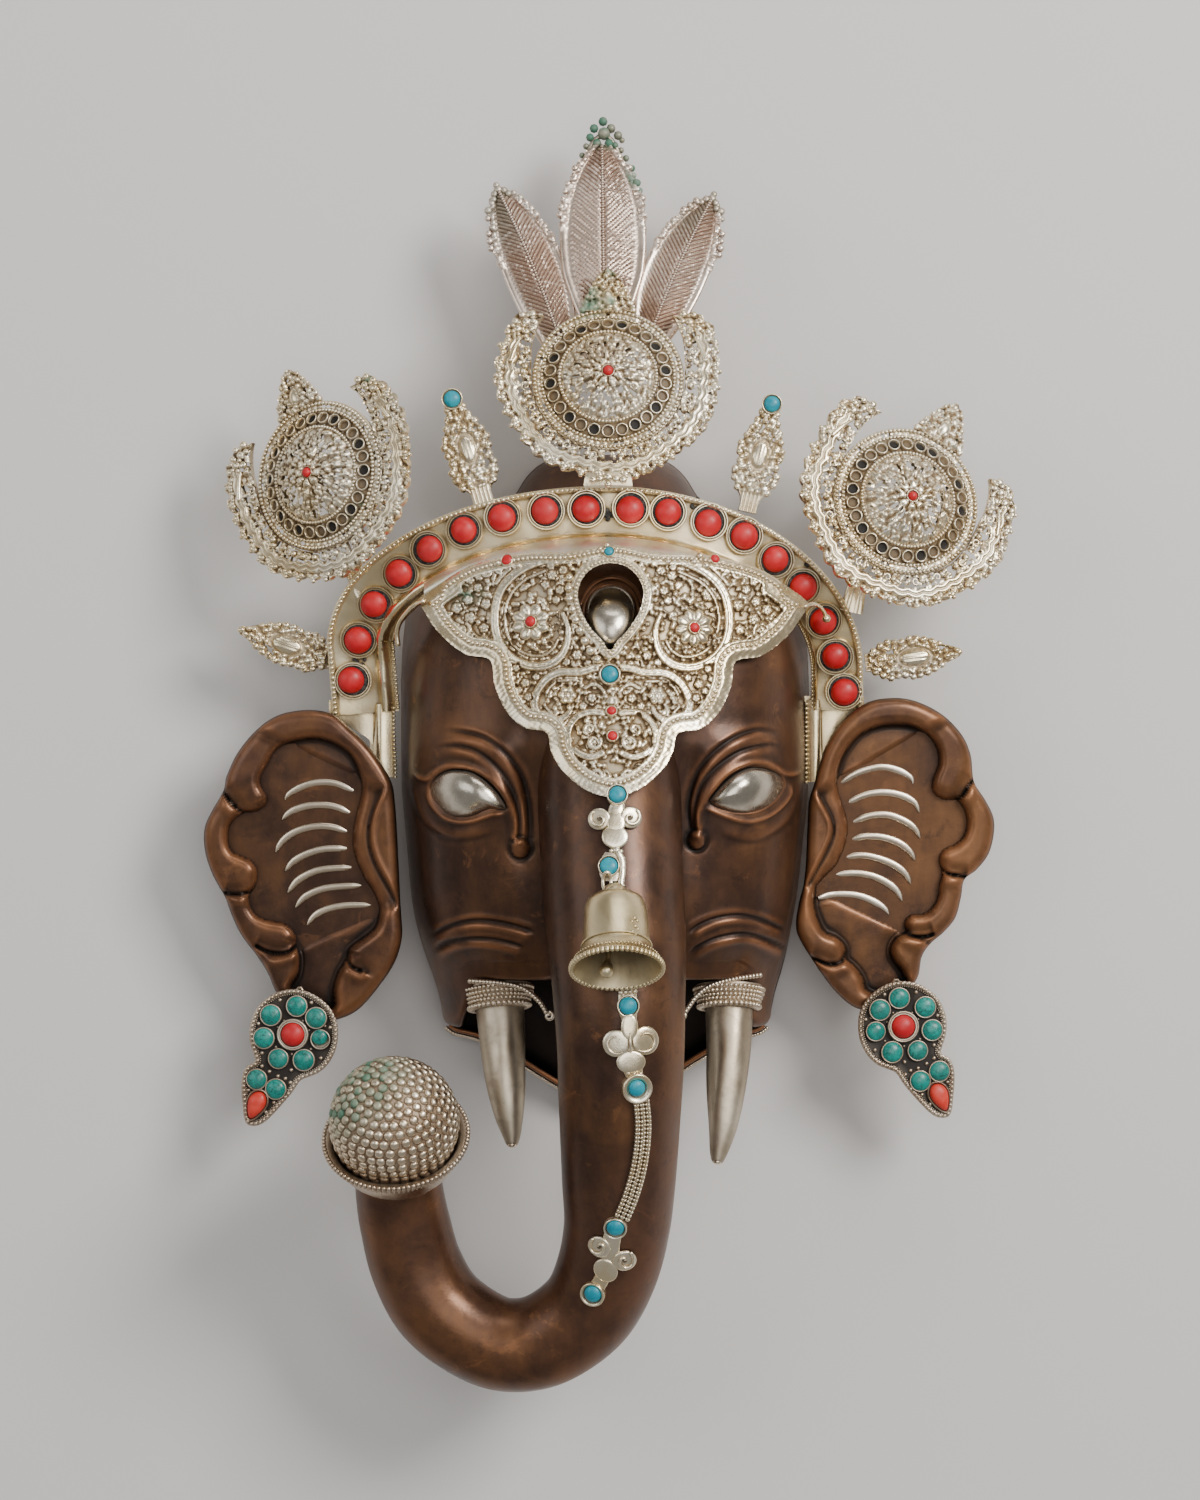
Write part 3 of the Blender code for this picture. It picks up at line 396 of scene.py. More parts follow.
def frames_from(normal, up):
    """Rows u, v, n for the stamps, from normals and up directions."""
    n = unit(np.atleast_2d(normal))
    u0 = np.atleast_2d(np.asarray(up, float))
    v = unit(u0 - n * (u0 * n).sum(-1, keepdims=True))
    u = np.cross(v, n)
    return np.stack([u, v, n], 1)


def turn_frames(F, ang):
    ang = np.broadcast_to(np.asarray(ang, float), (len(F),))
    c, s = np.cos(ang)[:, None], np.sin(ang)[:, None]
    u = F[:, 0] * c + F[:, 1] * s
    v = -F[:, 0] * s + F[:, 1] * c
    return np.stack([u, v, F[:, 2]], 1)


# ------------------------------------------------------------------ materials
def nodes_of(name):
    m = bpy.data.materials.new(name)
    m.use_nodes = True
    nt = m.node_tree
    nt.nodes.clear()
    out = nt.nodes.new("ShaderNodeOutputMaterial")
    bs = nt.nodes.new("ShaderNodeBsdfPrincipled")
    nt.links.new(bs.outputs[0], out.inputs[0])
    return m, nt, bs


class Net:
    def __init__(self, nt):
        self.nt = nt
        self.co = nt.nodes.new("ShaderNodeTexCoord").outputs["Object"]

    def link(self, a, b):
        if hasattr(a, "is_linked") or isinstance(a, bpy.types.NodeSocket):
            self.nt.links.new(a, b)
        else:
            b.default_value = a

    def noise(self, scale, detail=4.0, rough=0.55, dist=0.0, co=None):
        n = self.nt.nodes.new("ShaderNodeTexNoise")
        n.inputs["Scale"].default_value = scale
        n.inputs["Detail"].default_value = detail
        n.inputs["Roughness"].default_value = rough
        n.inputs["Distortion"].default_value = dist
        self.nt.links.new(co or self.co, n.inputs["Vector"])
        return n.outputs["Fac"]

    def stretch(self, sx, sy, sz):
        m = self.nt.nodes.new("ShaderNodeMapping")
        m.inputs["Scale"].default_value = (sx, sy, sz)
        self.nt.links.new(self.co, m.inputs["Vector"])
        return m.outputs[0]

    def voronoi(self, scale, feature="F1", co=None):
        n = self.nt.nodes.new("ShaderNodeTexVoronoi")
        n.feature = feature
        n.inputs["Scale"].default_value = scale
        self.nt.links.new(co or self.co, n.inputs["Vector"])
        return n.outputs["Distance"]

    def ramp(self, fac, stops):
        n = self.nt.nodes.new("ShaderNodeValToRGB")
        cr = n.color_ramp
        while len(cr.elements) < len(stops):
            cr.elements.new(0.5)
        for e, (p, c) in zip(cr.elements, stops):
            e.position = p
            e.color = (c, c, c, 1) if not isinstance(c, tuple) else (*c, 1)
        self.link(fac, n.inputs[0])
        return n.outputs[0]

    def math(self, op, a, b=0.0, clamp=False):
        n = self.nt.nodes.new("ShaderNodeMath")
        n.operation = op
        n.use_clamp = clamp
        self.link(a, n.inputs[0])
        self.link(b, n.inputs[1])
        return n.outputs[0]

    def span(self, x, a, b, c=0.0, d=1.0):
        n = self.nt.nodes.new("ShaderNodeMapRange")
        n.interpolation_type = "SMOOTHSTEP"
        n.inputs["From Min"].default_value = a
        n.inputs["From Max"].default_value = b
        n.inputs["To Min"].default_value = c
        n.inputs["To Max"].default_value = d
        self.link(x, n.inputs["Value"])
        return n.outputs[0]

    def mix(self, fac, a, b, kind="MIX"):
        n = self.nt.nodes.new("ShaderNodeMix")
        n.data_type = "RGBA"
        n.blend_type = kind
        self.link(fac, n.inputs[0])
        for v, s in ((a, n.inputs[6]), (b, n.inputs[7])):
            if isinstance(v, tuple):
                s.default_value = (*v, 1) if len(v) == 3 else v
            else:
                self.nt.links.new(v, s)
        return n.outputs[2]

    def tint(self):
        n = self.nt.nodes.new("ShaderNodeAttribute")
        n.attribute_name = "tint"
        s = self.nt.nodes.new("ShaderNodeSeparateColor")
        self.nt.links.new(n.outputs["Color"], s.inputs[0])
        return s.outputs[0], s.outputs[1], s.outputs[2]

    def ao(self, dist, samples=4):
        n = self.nt.nodes.new("ShaderNodeAmbientOcclusion")
        n.samples = samples
        n.inputs["Distance"].default_value = dist
        return n.outputs["AO"]

    def point(self):
        return self.nt.nodes.new("ShaderNodeNewGeometry").outputs["Pointiness"]

    def bump(self, h, strength, dist, normal=None):
        n = self.nt.nodes.new("ShaderNodeBump")
        n.inputs["Strength"].default_value = strength
        n.inputs["Distance"].default_value = dist
        self.nt.links.new(h, n.inputs["Height"])
        if normal is not None:
            self.nt.links.new(normal, n.inputs["Normal"])
        return n.outputs[0]


def copper_material(name, base=1.0, warm=0.0):
    m, nt, bs = nodes_of(name)
    g = Net(nt)
    dark, wear_and_highlight, green = g.tint()
    big = g.noise(9.0, 5.0, 0.6, 0.6)
    mid = g.noise(42.0, 5.0, 0.62, 0.4)
    streak = g.noise(16.0, 6.0, 0.65, 0.3, co=g.stretch(3.2, 0.8, 1.0))
    fine = g.noise(420.0, 3.0, 0.6)
    a = g.math("ADD", g.math("MULTIPLY", big, 0.45), g.math("ADD", g.math("MULTIPLY", mid, 0.25),
                                                              g.math("MULTIPLY", streak, 0.30)))
    col = g.ramp(a, [(0.36, (0.030 * base, 0.0160 * base, 0.0118 * base)), (0.45, (0.062 * base, 0.0300 * base, 0.0180 * base)),
                     (0.54, ((0.102 + warm) * base, (0.046 + 0.45 * warm) * base, 0.0235 * base)),
                     (0.64, ((0.175 + warm) * base, (0.080 + 0.45 * warm) * base, 0.036 * base))])
    # small dark and orange spots of the patina
    spot = g.noise(75.0, 5.0, 0.7, 0.3)
    col = g.mix(g.span(spot, 0.56, 0.68, 0.0, 0.45), col, (0.024 * base, 0.0135 * base, 0.0105 * base))
    col = g.mix(g.span(g.noise(58.0, 6.0, 0.72, 0.6), 0.58, 0.70, 0.0, 0.50), col, (0.245 * base, 0.105 * base, 0.042 * base))
    # greyish violet bloom of the patina
    bloom = g.span(g.noise(5.0, 4.0, 0.6, 0.8), 0.46, 0.66, 0.0, 0.45)
    col = g.mix(bloom, col, (0.075 * base, 0.045 * base, 0.040 * base))
    # orange on sharp edges and raised relief: rubbed copper, and also a painted highlight on ridges and rims
    orange = g.mix(fine, (0.27, 0.112, 0.046), (0.40, 0.170, 0.074))
    edge = g.span(g.point(), 0.515, 0.56, 0.0, 0.55)
    wear_and_highlight_mix = g.math("ADD", g.math("MULTIPLY", wear_and_highlight, 0.85), g.math("MULTIPLY", edge, 0.5), clamp=True)
    wear_and_highlight_mix = g.math("MULTIPLY", wear_and_highlight_mix, g.span(mid, 0.30, 0.62, 0.35, 1.0))
    col = g.mix(wear_and_highlight_mix, col, orange)
    # painted shade: ambient occlusion and the dark channel pull the hollows towards near black, over the darker patina
    # there
    occ = g.span(g.ao(0.012), 0.25, 0.85, 1.0, 0.0)
    shade = g.math("ADD", g.math("MULTIPLY", occ, 0.62), g.math("MULTIPLY", dark, 0.9), clamp=True)
    col = g.mix(shade, col, (0.0085, 0.0062, 0.0052))
    col = g.mix(green, col, (0.05, 0.16, 0.11))
    nt.links.new(col, bs.inputs["Base Color"])
    bs.inputs["Metallic"].default_value = 0.55
    r = g.span(g.math("ADD", g.math("MULTIPLY", mid, 0.6), g.math("MULTIPLY", big, 0.4)), 0.35, 0.65, 0.27, 0.44)
    r = g.math("ADD", r, g.math("MULTIPLY", shade, 0.25), clamp=True)
    nt.links.new(r, bs.inputs["Roughness"])
    h = g.math("ADD", g.math("MULTIPLY", fine, 0.25), g.math("MULTIPLY", g.noise(110.0, 4.0, 0.6), 0.75))
    nt.links.new(g.bump(h, 0.22, 0.0008), bs.inputs["Normal"])
    bs.inputs["Specular IOR Level"].default_value = 0.42
    bs.inputs["Coat Weight"].default_value = 0.04
    bs.inputs["Coat Roughness"].default_value = 0.35
    return m


def silver_material(name, light, deep, ground, rough=(0.24, 0.42), occ_dist=0.004, occ_power=0.9, metal=1.0, blotch=0.35, bump=0.25):
    """Silvered metal with brown left in the hollows, deepened by painted shade."""
    m, nt, bs = nodes_of(name)
    g = Net(nt)
    dark, wear_and_highlight, green = g.tint()
    big = g.noise(26.0, 5.0, 0.6, 0.5)
    mid = g.noise(120.0, 4.0, 0.6, 0.2)
    fine = g.noise(900.0, 2.0, 0.5)
    col = g.mix(g.span(big, 0.36, 0.66), deep, light)
    col = g.mix(g.span(mid, 0.50, 0.78, 0.0, blotch), col, tuple(0.55 * c for c in deep))
    # painted shade: ambient occlusion and the dark channel mix in the brown ground, and near black where the dark
    # channel is high
    occ = g.span(g.ao(occ_dist, 5), 0.30, 0.88, 1.0, 0.0)
    shade = g.math("ADD", g.math("MULTIPLY", occ, occ_power), dark, clamp=True)
    col = g.mix(shade, col, ground)
    col = g.mix(g.span(dark, 0.62, 0.92), col, (0.012, 0.009, 0.007))
    col = g.mix(g.math("MULTIPLY", green, g.span(mid, 0.34, 0.56, 0.55, 1.0)), col, (0.075, 0.19, 0.125))
    nt.links.new(col, bs.inputs["Base Color"])
    # duller, less metallic where painted shade and verdigris lie
    shade_and_verdigris = g.math("MAXIMUM", shade, green)
    nt.links.new(g.span(shade_and_verdigris, 0.15, 0.95, metal, 0.25 * metal), bs.inputs["Metallic"])
    r = g.span(g.math("ADD", g.math("MULTIPLY", big, 0.5), g.math("MULTIPLY", mid, 0.5)), 0.36, 0.66, rough[0], rough[1])
    r = g.math("ADD", r, g.math("MULTIPLY", shade_and_verdigris, 0.35), clamp=True)
    nt.links.new(r, bs.inputs["Roughness"])
    h = g.math("ADD", g.math("MULTIPLY", mid, 0.7), g.math("MULTIPLY", fine, 0.3))
    nt.links.new(g.bump(h, bump, 0.0005), bs.inputs["Normal"])
    return m


def stone_material(name, a, b, vein, rough=0.3, veins=0.0, scale=120.0, pits=0.0):
    m, nt, bs = nodes_of(name)
    g = Net(nt)
    dark, wear_and_highlight, green = g.tint()
    n1 = g.noise(scale, 4.0, 0.6, 0.5)
    col = g.mix(g.span(n1, 0.35, 0.68), a, b)
    if veins:
        w = g.math("ABSOLUTE", g.math("SUBTRACT", g.noise(scale * 1.7, 3.0, 0.6, 1.4), 0.5))
        col = g.mix(g.span(w, 0.0, 0.035, veins, 0.0), col, vein)
        w2 = g.span(g.noise(scale * 3.0, 3.0, 0.6, 0.6), 0.60, 0.70, 0.0, veins * 0.6)
        col = g.mix(w2, col, vein)
    if pits:
        p = g.span(g.noise(scale * 4.2, 3.0, 0.65, 0.5), 0.62, 0.70, 0.0, pits)
        col = g.mix(p, col, vein)
    col = g.mix(dark, col, (0.055, 0.045, 0.038))
    nt.links.new(col, bs.inputs["Base Color"])
    r = g.span(n1, 0.35, 0.7, rough, rough + 0.14)
    nt.links.new(g.math("ADD", r, g.math("MULTIPLY", dark, 0.3), clamp=True), bs.inputs["Roughness"])
    bs.inputs["Coat Weight"].default_value = 0.06
    bs.inputs["Coat Roughness"].default_value = 0.30
    bs.inputs["Subsurface Weight"].default_value = 0.0
    nt.links.new(g.bump(g.noise(scale * 5, 3.0, 0.6), 0.12, 0.0004), bs.inputs["Normal"])
    return m


def putty_material():
    m, nt, bs = nodes_of("black_putty")
    g = Net(nt)
    n = g.noise(900.0, 4.0, 0.7)
    nt.links.new(g.mix(g.span(n, 0.4, 0.65), (0.012, 0.011, 0.010), (0.085, 0.078, 0.070)), bs.inputs["Base Color"])
    bs.inputs["Roughness"].default_value = 0.8
    nt.links.new(g.bump(n, 0.9, 0.0006), bs.inputs["Normal"])
    return m


def floor_material():
    m, nt, bs = nodes_of("studio_floor")
    g = Net(nt)
    n = g.noise(2.2, 3.0, 0.5)
    nt.links.new(g.mix(n, (0.700, 0.672, 0.650), (0.725, 0.698, 0.676)), bs.inputs["Base Color"])
    nt.links.new(g.span(n, 0.3, 0.7, 0.82, 0.90), bs.inputs["Roughness"])
    return m


COPPER = copper_material("patinated_copper", 1.10, 0.01)
EAR_COPPER = copper_material("patinated_copper_ear", 1.15, 0.025)
TRUNK_COPPER = copper_material("patinated_copper_trunk", 1.10, 0.015)
SILVER = silver_material("silvered_copper", (0.98, 0.885, 0.69), (0.91, 0.745, 0.47), (0.165, 0.095, 0.036), rough=(0.20, 0.34), occ_dist=0.0026, occ_power=0.80)
BAND_SILVER = silver_material("silvered_band", (0.95, 0.84, 0.60), (0.88, 0.715, 0.42), (0.200, 0.120, 0.042), rough=(0.20, 0.34), occ_dist=0.0032, occ_power=0.80)
PLUME_SILVER = silver_material("worn_silver", (0.91, 0.79, 0.68), (0.78, 0.61, 0.49), (0.17, 0.085, 0.05), rough=(0.24, 0.38), occ_dist=0.0024, occ_power=1.0)
SWEET_SILVER = silver_material("worn_silver_sweet", (0.86, 0.75, 0.58), (0.70, 0.56, 0.40), (0.15, 0.085, 0.045), rough=(0.24, 0.38), occ_dist=0.003, occ_power=0.95)
TUSK_SILVER = silver_material("tarnished_silver", (0.68, 0.60, 0.47), (0.46, 0.375, 0.27), (0.09, 0.052, 0.030), rough=(0.34, 0.50), occ_dist=0.006, occ_power=0.8, blotch=0.6)
EYE_SILVER = silver_material("tarnished_silver_eye", (0.62, 0.57, 0.48), (0.42, 0.36, 0.28), (0.04, 0.028, 0.020), rough=(0.17, 0.34), occ_dist=0.003, occ_power=0.9, blotch=0.5)
BELL_SILVER = silver_material("silvered_bell", (0.78, 0.66, 0.42), (0.62, 0.49, 0.27), (0.09, 0.055, 0.022), rough=(0.28, 0.42), occ_dist=0.006, occ_power=0.6)
INLAY = silver_material("inlaid_silver", (0.86, 0.76, 0.62), (0.74, 0.62, 0.47), (0.16, 0.10, 0.06), rough=(0.28, 0.42), occ_dist=0.001, occ_power=0.25)
ROLL_SILVER = silver_material("silvered_roll", (0.95, 0.92, 0.81), (0.88, 0.82, 0.64), (0.22, 0.14, 0.05), rough=(0.38, 0.55), occ_dist=0.004, occ_power=0.35)
CORAL = stone_material("coral", (0.50, 0.004, 0.010), (0.62, 0.013, 0.018), (0.22, 0.06, 0.045), rough=0.40, scale=150.0, pits=0.30)
TURQUOISE = stone_material("turquoise", (0.001, 0.25, 0.34), (0.004, 0.33, 0.42), (0.010, 0.05, 0.07), rough=0.34, veins=0.25, scale=220.0)
TEAL = stone_material("turquoise_teal", (0.003, 0.20, 0.165), (0.008, 0.30, 0.245), (0.010, 0.030, 0.026), rough=0.26, veins=0.75, scale=170.0)
PUTTY = putty_material()
FLOOR = floor_material()

# ------------------------------------------------------------------ head
HEAD_Y = (449, 462, 490, 520, 550, 580, 620, 680, 740, 800, 860, 920, 960, 978)
HEAD_C = (606, 606, 606, 606, 606, 605, 605, 605, 605, 605, 604.5, 604, 606, 607)
HEAD_H = (14, 30, 48, 60, 71, 84, 98, 105, 104, 99, 94, 88, 81, 74)
HEAD_N = (2.2, 2.2, 2.2, 2.3, 2.35, 2.45, 2.65, 2.85, 3.15, 3.35, 3.4, 3.3, 3.2, 3.0)
WIDE_Y = (449, 455, 470, 490, 520, 550, 580, 620, 680, 780, 850, 900, 950, 1000, 1022, 1034, 1040, 1060, 1085, 1102)
WIDE = (40, 62, 80, 93, 120, 160, 188, 204, 208, 207, 201, 196, 186, 171, 166, 155, 132, 96, 56, 26)
head_c, head_h, head_n, head_w = steps(HEAD_Y, HEAD_C), steps(HEAD_Y, HEAD_H), steps(HEAD_Y, HEAD_N), steps(WIDE_Y, WIDE)
EYES = ((466, 793, -1), (748, 790, 1))


def bump2(x, y, cx, cy, sx, sy):
    return np.exp(-((x - cx) / sx) ** 2 - ((y - cy) / sy) ** 2)


def face_relief(x, y):
    r = np.zeros(np.broadcast(x, y).shape)
    for ex, ey, side in EYES:
        r = r + 3.0 * bump2(x, y, ex, ey, 52, 30) + 1.8 * bump2(x, y, ex + side * 4, ey - 46, 60, 14)
        r = r - 4.0 * bump2(x, y, ex - side * 62, ey + 10, 15, 60)
        r = r + 2.2 * bump2(x, y, ex + side * 8, ey + 155, 55, 26)
    return r


def head_z(x, y):
    xi = np.clip(np.abs(x - head_c(y)) / head_w(y), 0, 1)
    n = head_n(y)
    return head_h(y) * np.maximum(1.0 - xi ** n, 0) ** (1.0 / n) + face_relief(x, y) * (1.0 - xi ** 6)


def on_head(x, y, lift):
    z = np.full(np.broadcast(x, y).shape, 95.0)
    for _ in range(6):
        k = (EYE - z * 0.001) / (EYE - REF)
        z = head_z(600.0 + (x - 600.0) * k, 750.0 + (y - 750.0) * k)
    return z + lift


ST = np.array([(940, 0.0, float(head_h(940)), float(head_n(940))), (960, 0.4, 81, 2.7), (975, 0.9, 75, 2.8), (979, 1.0, 66, 3.0),
               (982, 1.0, 18, 3.4), (1008, 0.55, 16, 3.2), (1042, 0.08, 15, 3.0), (1072, 0.0, 14, 2.8), (1102, 0.0, 11, 2.4)], float)
st_f = [steps(np.arange(len(ST)), ST[:, k]) for k in range(4)]

# outlines of the features, as the eye sees them on the sheet
BROW_L = ((437, 731), (455, 731), (483, 737), (505, 753), (520, 772), (527, 792), (530, 815), (531, 838))
BROW2_L = ((431, 749), (445, 746), (460, 746), (477, 751.5), (494, 764.5), (507, 781), (515, 799), (519, 820), (519, 836))
LID_L = ((412, 771), (419, 778), (428, 780), (436, 774), (445, 768.5), (456, 767), (470, 769), (484, 776), (495, 785), (504, 796), (511, 809), (514, 824), (513, 838))
OPEN_L = ((430, 786), (436, 777), (446, 771), (457, 769.5), (470, 771), (482, 777.5), (493, 787), (502, 798), (507, 808),
          (502, 810), (492, 808.5), (483, 811), (471, 816), (458, 817), (446, 813), (437, 804), (431, 795))
RIM_L = ((429, 787), (429, 796), (434, 807), (444, 817), (457, 821.5), (471, 821), (485, 817), (496, 814), (505, 815))
BAG_L = ((409, 779), (413, 800), (423, 821), (438, 833), (458, 839), (482, 836), (500, 829))
TEAR_L = (520.5, 848, 9.5)
BROW_R = ((783, 733), (768, 731), (755, 730), (734.5, 737.5), (713, 753), (699, 770), (691, 790), (688, 810), (691, 828))
BROW2_R = ((785, 749), (773, 745), (760, 746), (739, 752), (719, 765), (704, 781), (697, 799), (695, 820), (697, 832))
LID_R = ((803, 770), (795, 775), (785, 775), (773, 768), (764, 764), (752, 763), (737, 769), (725, 777), (715, 788), (705, 801), (700, 815), (701, 832))
OPEN_R = ((784, 783), (779, 775), (770, 770), (760, 767.5), (750, 767.5), (738, 772), (727, 780), (717, 790), (709, 801),
          (714, 806), (724, 810), (737, 813), (750, 813), (764, 809), (775, 801), (782, 792))
RIM_R = ((790, 781), (789, 794), (782, 805), (770, 815), (755, 821), (742, 821), (728, 817), (714, 811), (704, 807))
BAG_R = ((803, 778), (799, 800), (789, 821), (773, 834), (753, 841), (730, 838), (714, 829))
TEAR_R = (696.5, 840, 8.8)
CHEEK = {"left": (((430, 937), (445, 928), (465, 922), (485, 921), (510, 925), (537, 933)),
                  ((432, 953), (445, 944), (465, 939.5), (485, 939), (505, 942), (526, 948))),
         "right": (((686, 935), (700, 925), (718, 918), (740, 915.5), (762, 920), (786, 931)),
                   ((687, 956), (700, 946), (718, 938), (742, 934), (762, 938), (788, 950)))}


def face_detail(px, py):
    """Carved detail of the face in mm over the sheet."""
    D = np.zeros(px.shape)
    for brow, brow2, lid, opening, rim, bag, tear, sg in (
            (BROW_L, BROW2_L, LID_L, OPEN_L, RIM_L, BAG_L, TEAR_L, 1), (BROW_R, BROW2_R, LID_R, OPEN_R, RIM_R, BAG_R, TEAR_R, -1)):
        m = (np.abs(px - tear[0]) < 150) & (py > 700) & (py < 880)
        x, y = px[m], py[m]
        d = np.zeros(x.shape)
        # folds above the eye: each laps over the one below it
        for line, deep, roll in ((brow, 0.95, 0.70), (brow2, 0.95, 0.75)):
            r_, s_, t_ = line_field(x, y, curve(line, 40))
            fade = smooth(0.0, 0.22, t_) * (1 - 0.35 * smooth(0.9, 1.0, t_))
            s = r_ * s_ * sg
            d -= deep * fade * np.exp(-(r_ / 2.0) ** 2)
            d += roll * fade * np.exp(-((s - 6.5) / 5.0) ** 2)
            d += 0.25 * fade * np.exp(-((s + 4.5) / 3.2) ** 2)
        # upper lid: a thick lip with a sharp lower edge
        lc = curve(lid, 50)
        r_, s_, t_ = line_field(x, y, lc)
        s = r_ * s_ * sg               # negative above the lid line
        fade = smooth(0.0, 0.10, t_)
        d += fade * np.where(s < 0, 1.45 * np.exp(-(r_ / 5.0) ** 2), 1.45 * np.exp(-(r_ / 1.3) ** 2))
        # eye opening, sunk
        e_, _ = edge_field(x, y, curve(opening, 60, True))
        d -= 2.3 * smooth(1.5, -2.5, e_)
        # lower lid rim with a groove inside it
        r_, s_, t_ = line_field(x, y, curve(rim, 40))
        f = smooth(0.0, 0.10, t_) * (1 - smooth(0.92, 1.0, t_))
        out = e_ > 0
        d += 0.95 * f * np.exp(-(r_ / 1.9) ** 2)
        d -= 0.5 * f * np.exp(-((e_ - 2.0) / 1.4) ** 2) * out
        # bag below the eye
        bc = curve(bag, 40)
        r_, s_, t_ = line_field(x, y, bc)
        f = smooth(0.0, 0.15, t_) * (1 - smooth(0.8, 1.0, t_))
        s = r_ * s_ * sg
        d += 0.9 * f * smooth(-10, 3, -s) * np.exp(-(np.maximum(-s - 4, 0) / 9.0) ** 2) - 0.7 * f * np.exp(-((s - 1.5) / 4.0) ** 2)
        # band running down to the tear drop
        mid = [((a[0] + b[0]) / 2, (a[1] + b[1]) / 2) for a, b in
               zip(curve(brow, 12)[5:], curve(lid, 12)[5:])] + [(tear[0], tear[1] - 6)]
        r_, s_, t_ = line_field(x, y, mid)
        d += 0.9 * smooth(0.25, 0.8, t_) * np.exp(-(r_ / 7.0) ** 2)
        rr = np.hypot(x - tear[0], (y - tear[1]) * 0.92)
        d += 2.0 * np.sqrt(np.maximum(1 - (rr / tear[2]) ** 2, 0)) * 1.0
        low = smooth(-4, 4, y - tear[1])
        d -= 1.0 * np.exp(-((rr - tear[2] - 1.6) / 1.8) ** 2) * (0.35 + 0.65 * low)
        D[m] += d
    for side, (g1, g2) in CHEEK.items():
        for line, deep in ((g1, 1.0), (g2, 1.05)):
            def fold(r_, s_, t_, deep=deep):
                f = smooth(0, 0.12, t_) * (1 - smooth(0.9, 1.0, t_))
                s = r_ * s_
                return f * (-deep * np.exp(-(r_ / 2.0) ** 2) + 0.8 * np.exp(-((s - 6.0) / 4.2) ** 2) + 0.35 * np.exp(-((s + 5) / 3.0) ** 2))
            near(px, py, curve(line, 30), 22, fold, D)
    return D


def head_rows():
    a = np.concatenate([np.linspace(449, 700, 46)[:-1], np.linspace(700, 724, 10)[:-1], np.linspace(724, 858, 96)[:-1],
                        np.linspace(858, 908, 20)[:-1], np.linspace(908, 940, 22)[:-1]])
    rows = [(y, 0.0, float(head_h(y)), float(head_n(y))) for y in a]
    s = np.concatenate([np.linspace(0, 2, 28)[:-1], np.linspace(2, 3, 9)[:-1], np.linspace(3, 4, 12)[:-1], np.linspace(4, 8, 20)])
    rows += [tuple(float(f(v)) for f in st_f) for v in s]
    return rows, len(a) + 27 + 8 + 2


def head_mesh():
    rows, lip = head_rows()
    N = 236
    fine = np.linspace(0.0, math.pi, 1801)
    G, XI = [], []
    for yb, c, h, n in rows:
        xi = -np.sign(np.cos(fine)) * np.abs(np.cos(fine)) ** (2.0 / n)
        z = h * np.sin(fine) ** (2.0 / n)
        y = yb + c * 50.0 * smooth(0.70, 0.93, np.abs(xi))
        x = float(head_c(yb)) + xi * head_w(y)
        if yb < 960:
            z = z + face_relief(x, y) * (1 - np.abs(xi) ** 6) * (1 if yb > 600 else max(0.0, (yb - 590) / 10.0) if yb > 590 else 0.0)
        ax = np.abs(xi)
        w = np.where(ax < 0.26, 0.35, 1.0) * (1.0 - 0.45 * smooth(0.955, 0.985, ax))
        w = w * (1 + 0.35 * smooth(0.3, 0.4, ax) * (1 - smooth(0.9, 0.96, ax)))
        ds = np.hypot(np.diff(x), np.hypot(np.diff(z) / MM, np.diff(y))) * 0.5 * (w[1:] + w[:-1])
        run = np.concatenate([[0], np.cumsum(ds)])
        s = np.linspace(0, run[-1], N)
        aa = np.interp(s, run, fine)
        xi = -np.sign(np.cos(aa)) * np.abs(np.cos(aa)) ** (2.0 / n)
        z = h * np.sin(aa) ** (2.0 / n)
        y = yb + c * 50.0 * smooth(0.70, 0.93, np.abs(xi))
        x = float(head_c(yb)) + xi * head_w(y)
        if yb < 960:
            z = z + face_relief(x, y) * (1 - np.abs(xi) ** 6) * (1 if yb > 600 else max(0.0, (yb - 590) / 10.0) if yb > 590 else 0.0)
        G.append(flat(x, y, np.maximum(z, 0.3)))
        XI.append(xi)
    P = np.array(G)
    XI = np.array(XI)
    nrm = grid_normals(P)
    if nrm[40, N // 2, 2] < 0:
        nrm = -nrm
    px, py = sheet(P)
    D = np.zeros(px.shape)
    D[:lip] += face_detail(px[:lip], py[:lip])
    # rolled lip along the mouth and the cheek's hanging corner
    k = np.arange(len(rows))[:, None]
    edge = (lip - k).astype(float)
    D += np.where(k <= lip, 1.0 * np.exp(-((edge - 9) / 6.0) ** 2), 0.0) * smooth(0.28, 0.36, np.abs(XI))
    D *= smooth(1.0, 0.985, np.abs(XI))
    P = P + nrm * (D * 0.001)[..., None]
    P[..., 2] = np.maximum(P[..., 2], 0.0002)
    # painted shade in the carved hollows; orange on the raised folds is wear and also painted highlight
    hp = D - blur(D, 4)
    wear_and_highlight = np.clip(hp / 0.55, 0, 1) * 0.8
    dark = np.clip(-hp / 0.55, 0, 1) * 0.75
    # mouth: painted shade, black, on the inside; the sheet's edge reddish
    wall = smooth(lip + 1, lip + 5, k + 0 * XI)
    dark = np.maximum(dark, wall)
    wear_and_highlight = np.where((k > lip - 4) & (k < lip + 2), np.maximum(wear_and_highlight, 0.35), wear_and_highlight) * (1 - wall)
    tint = np.stack([dark, wear_and_highlight, np.zeros_like(dark)], -1)
    pc = Piece()
    pc.grid(P, tint=tint, flip=True)
    return pc, P, lip


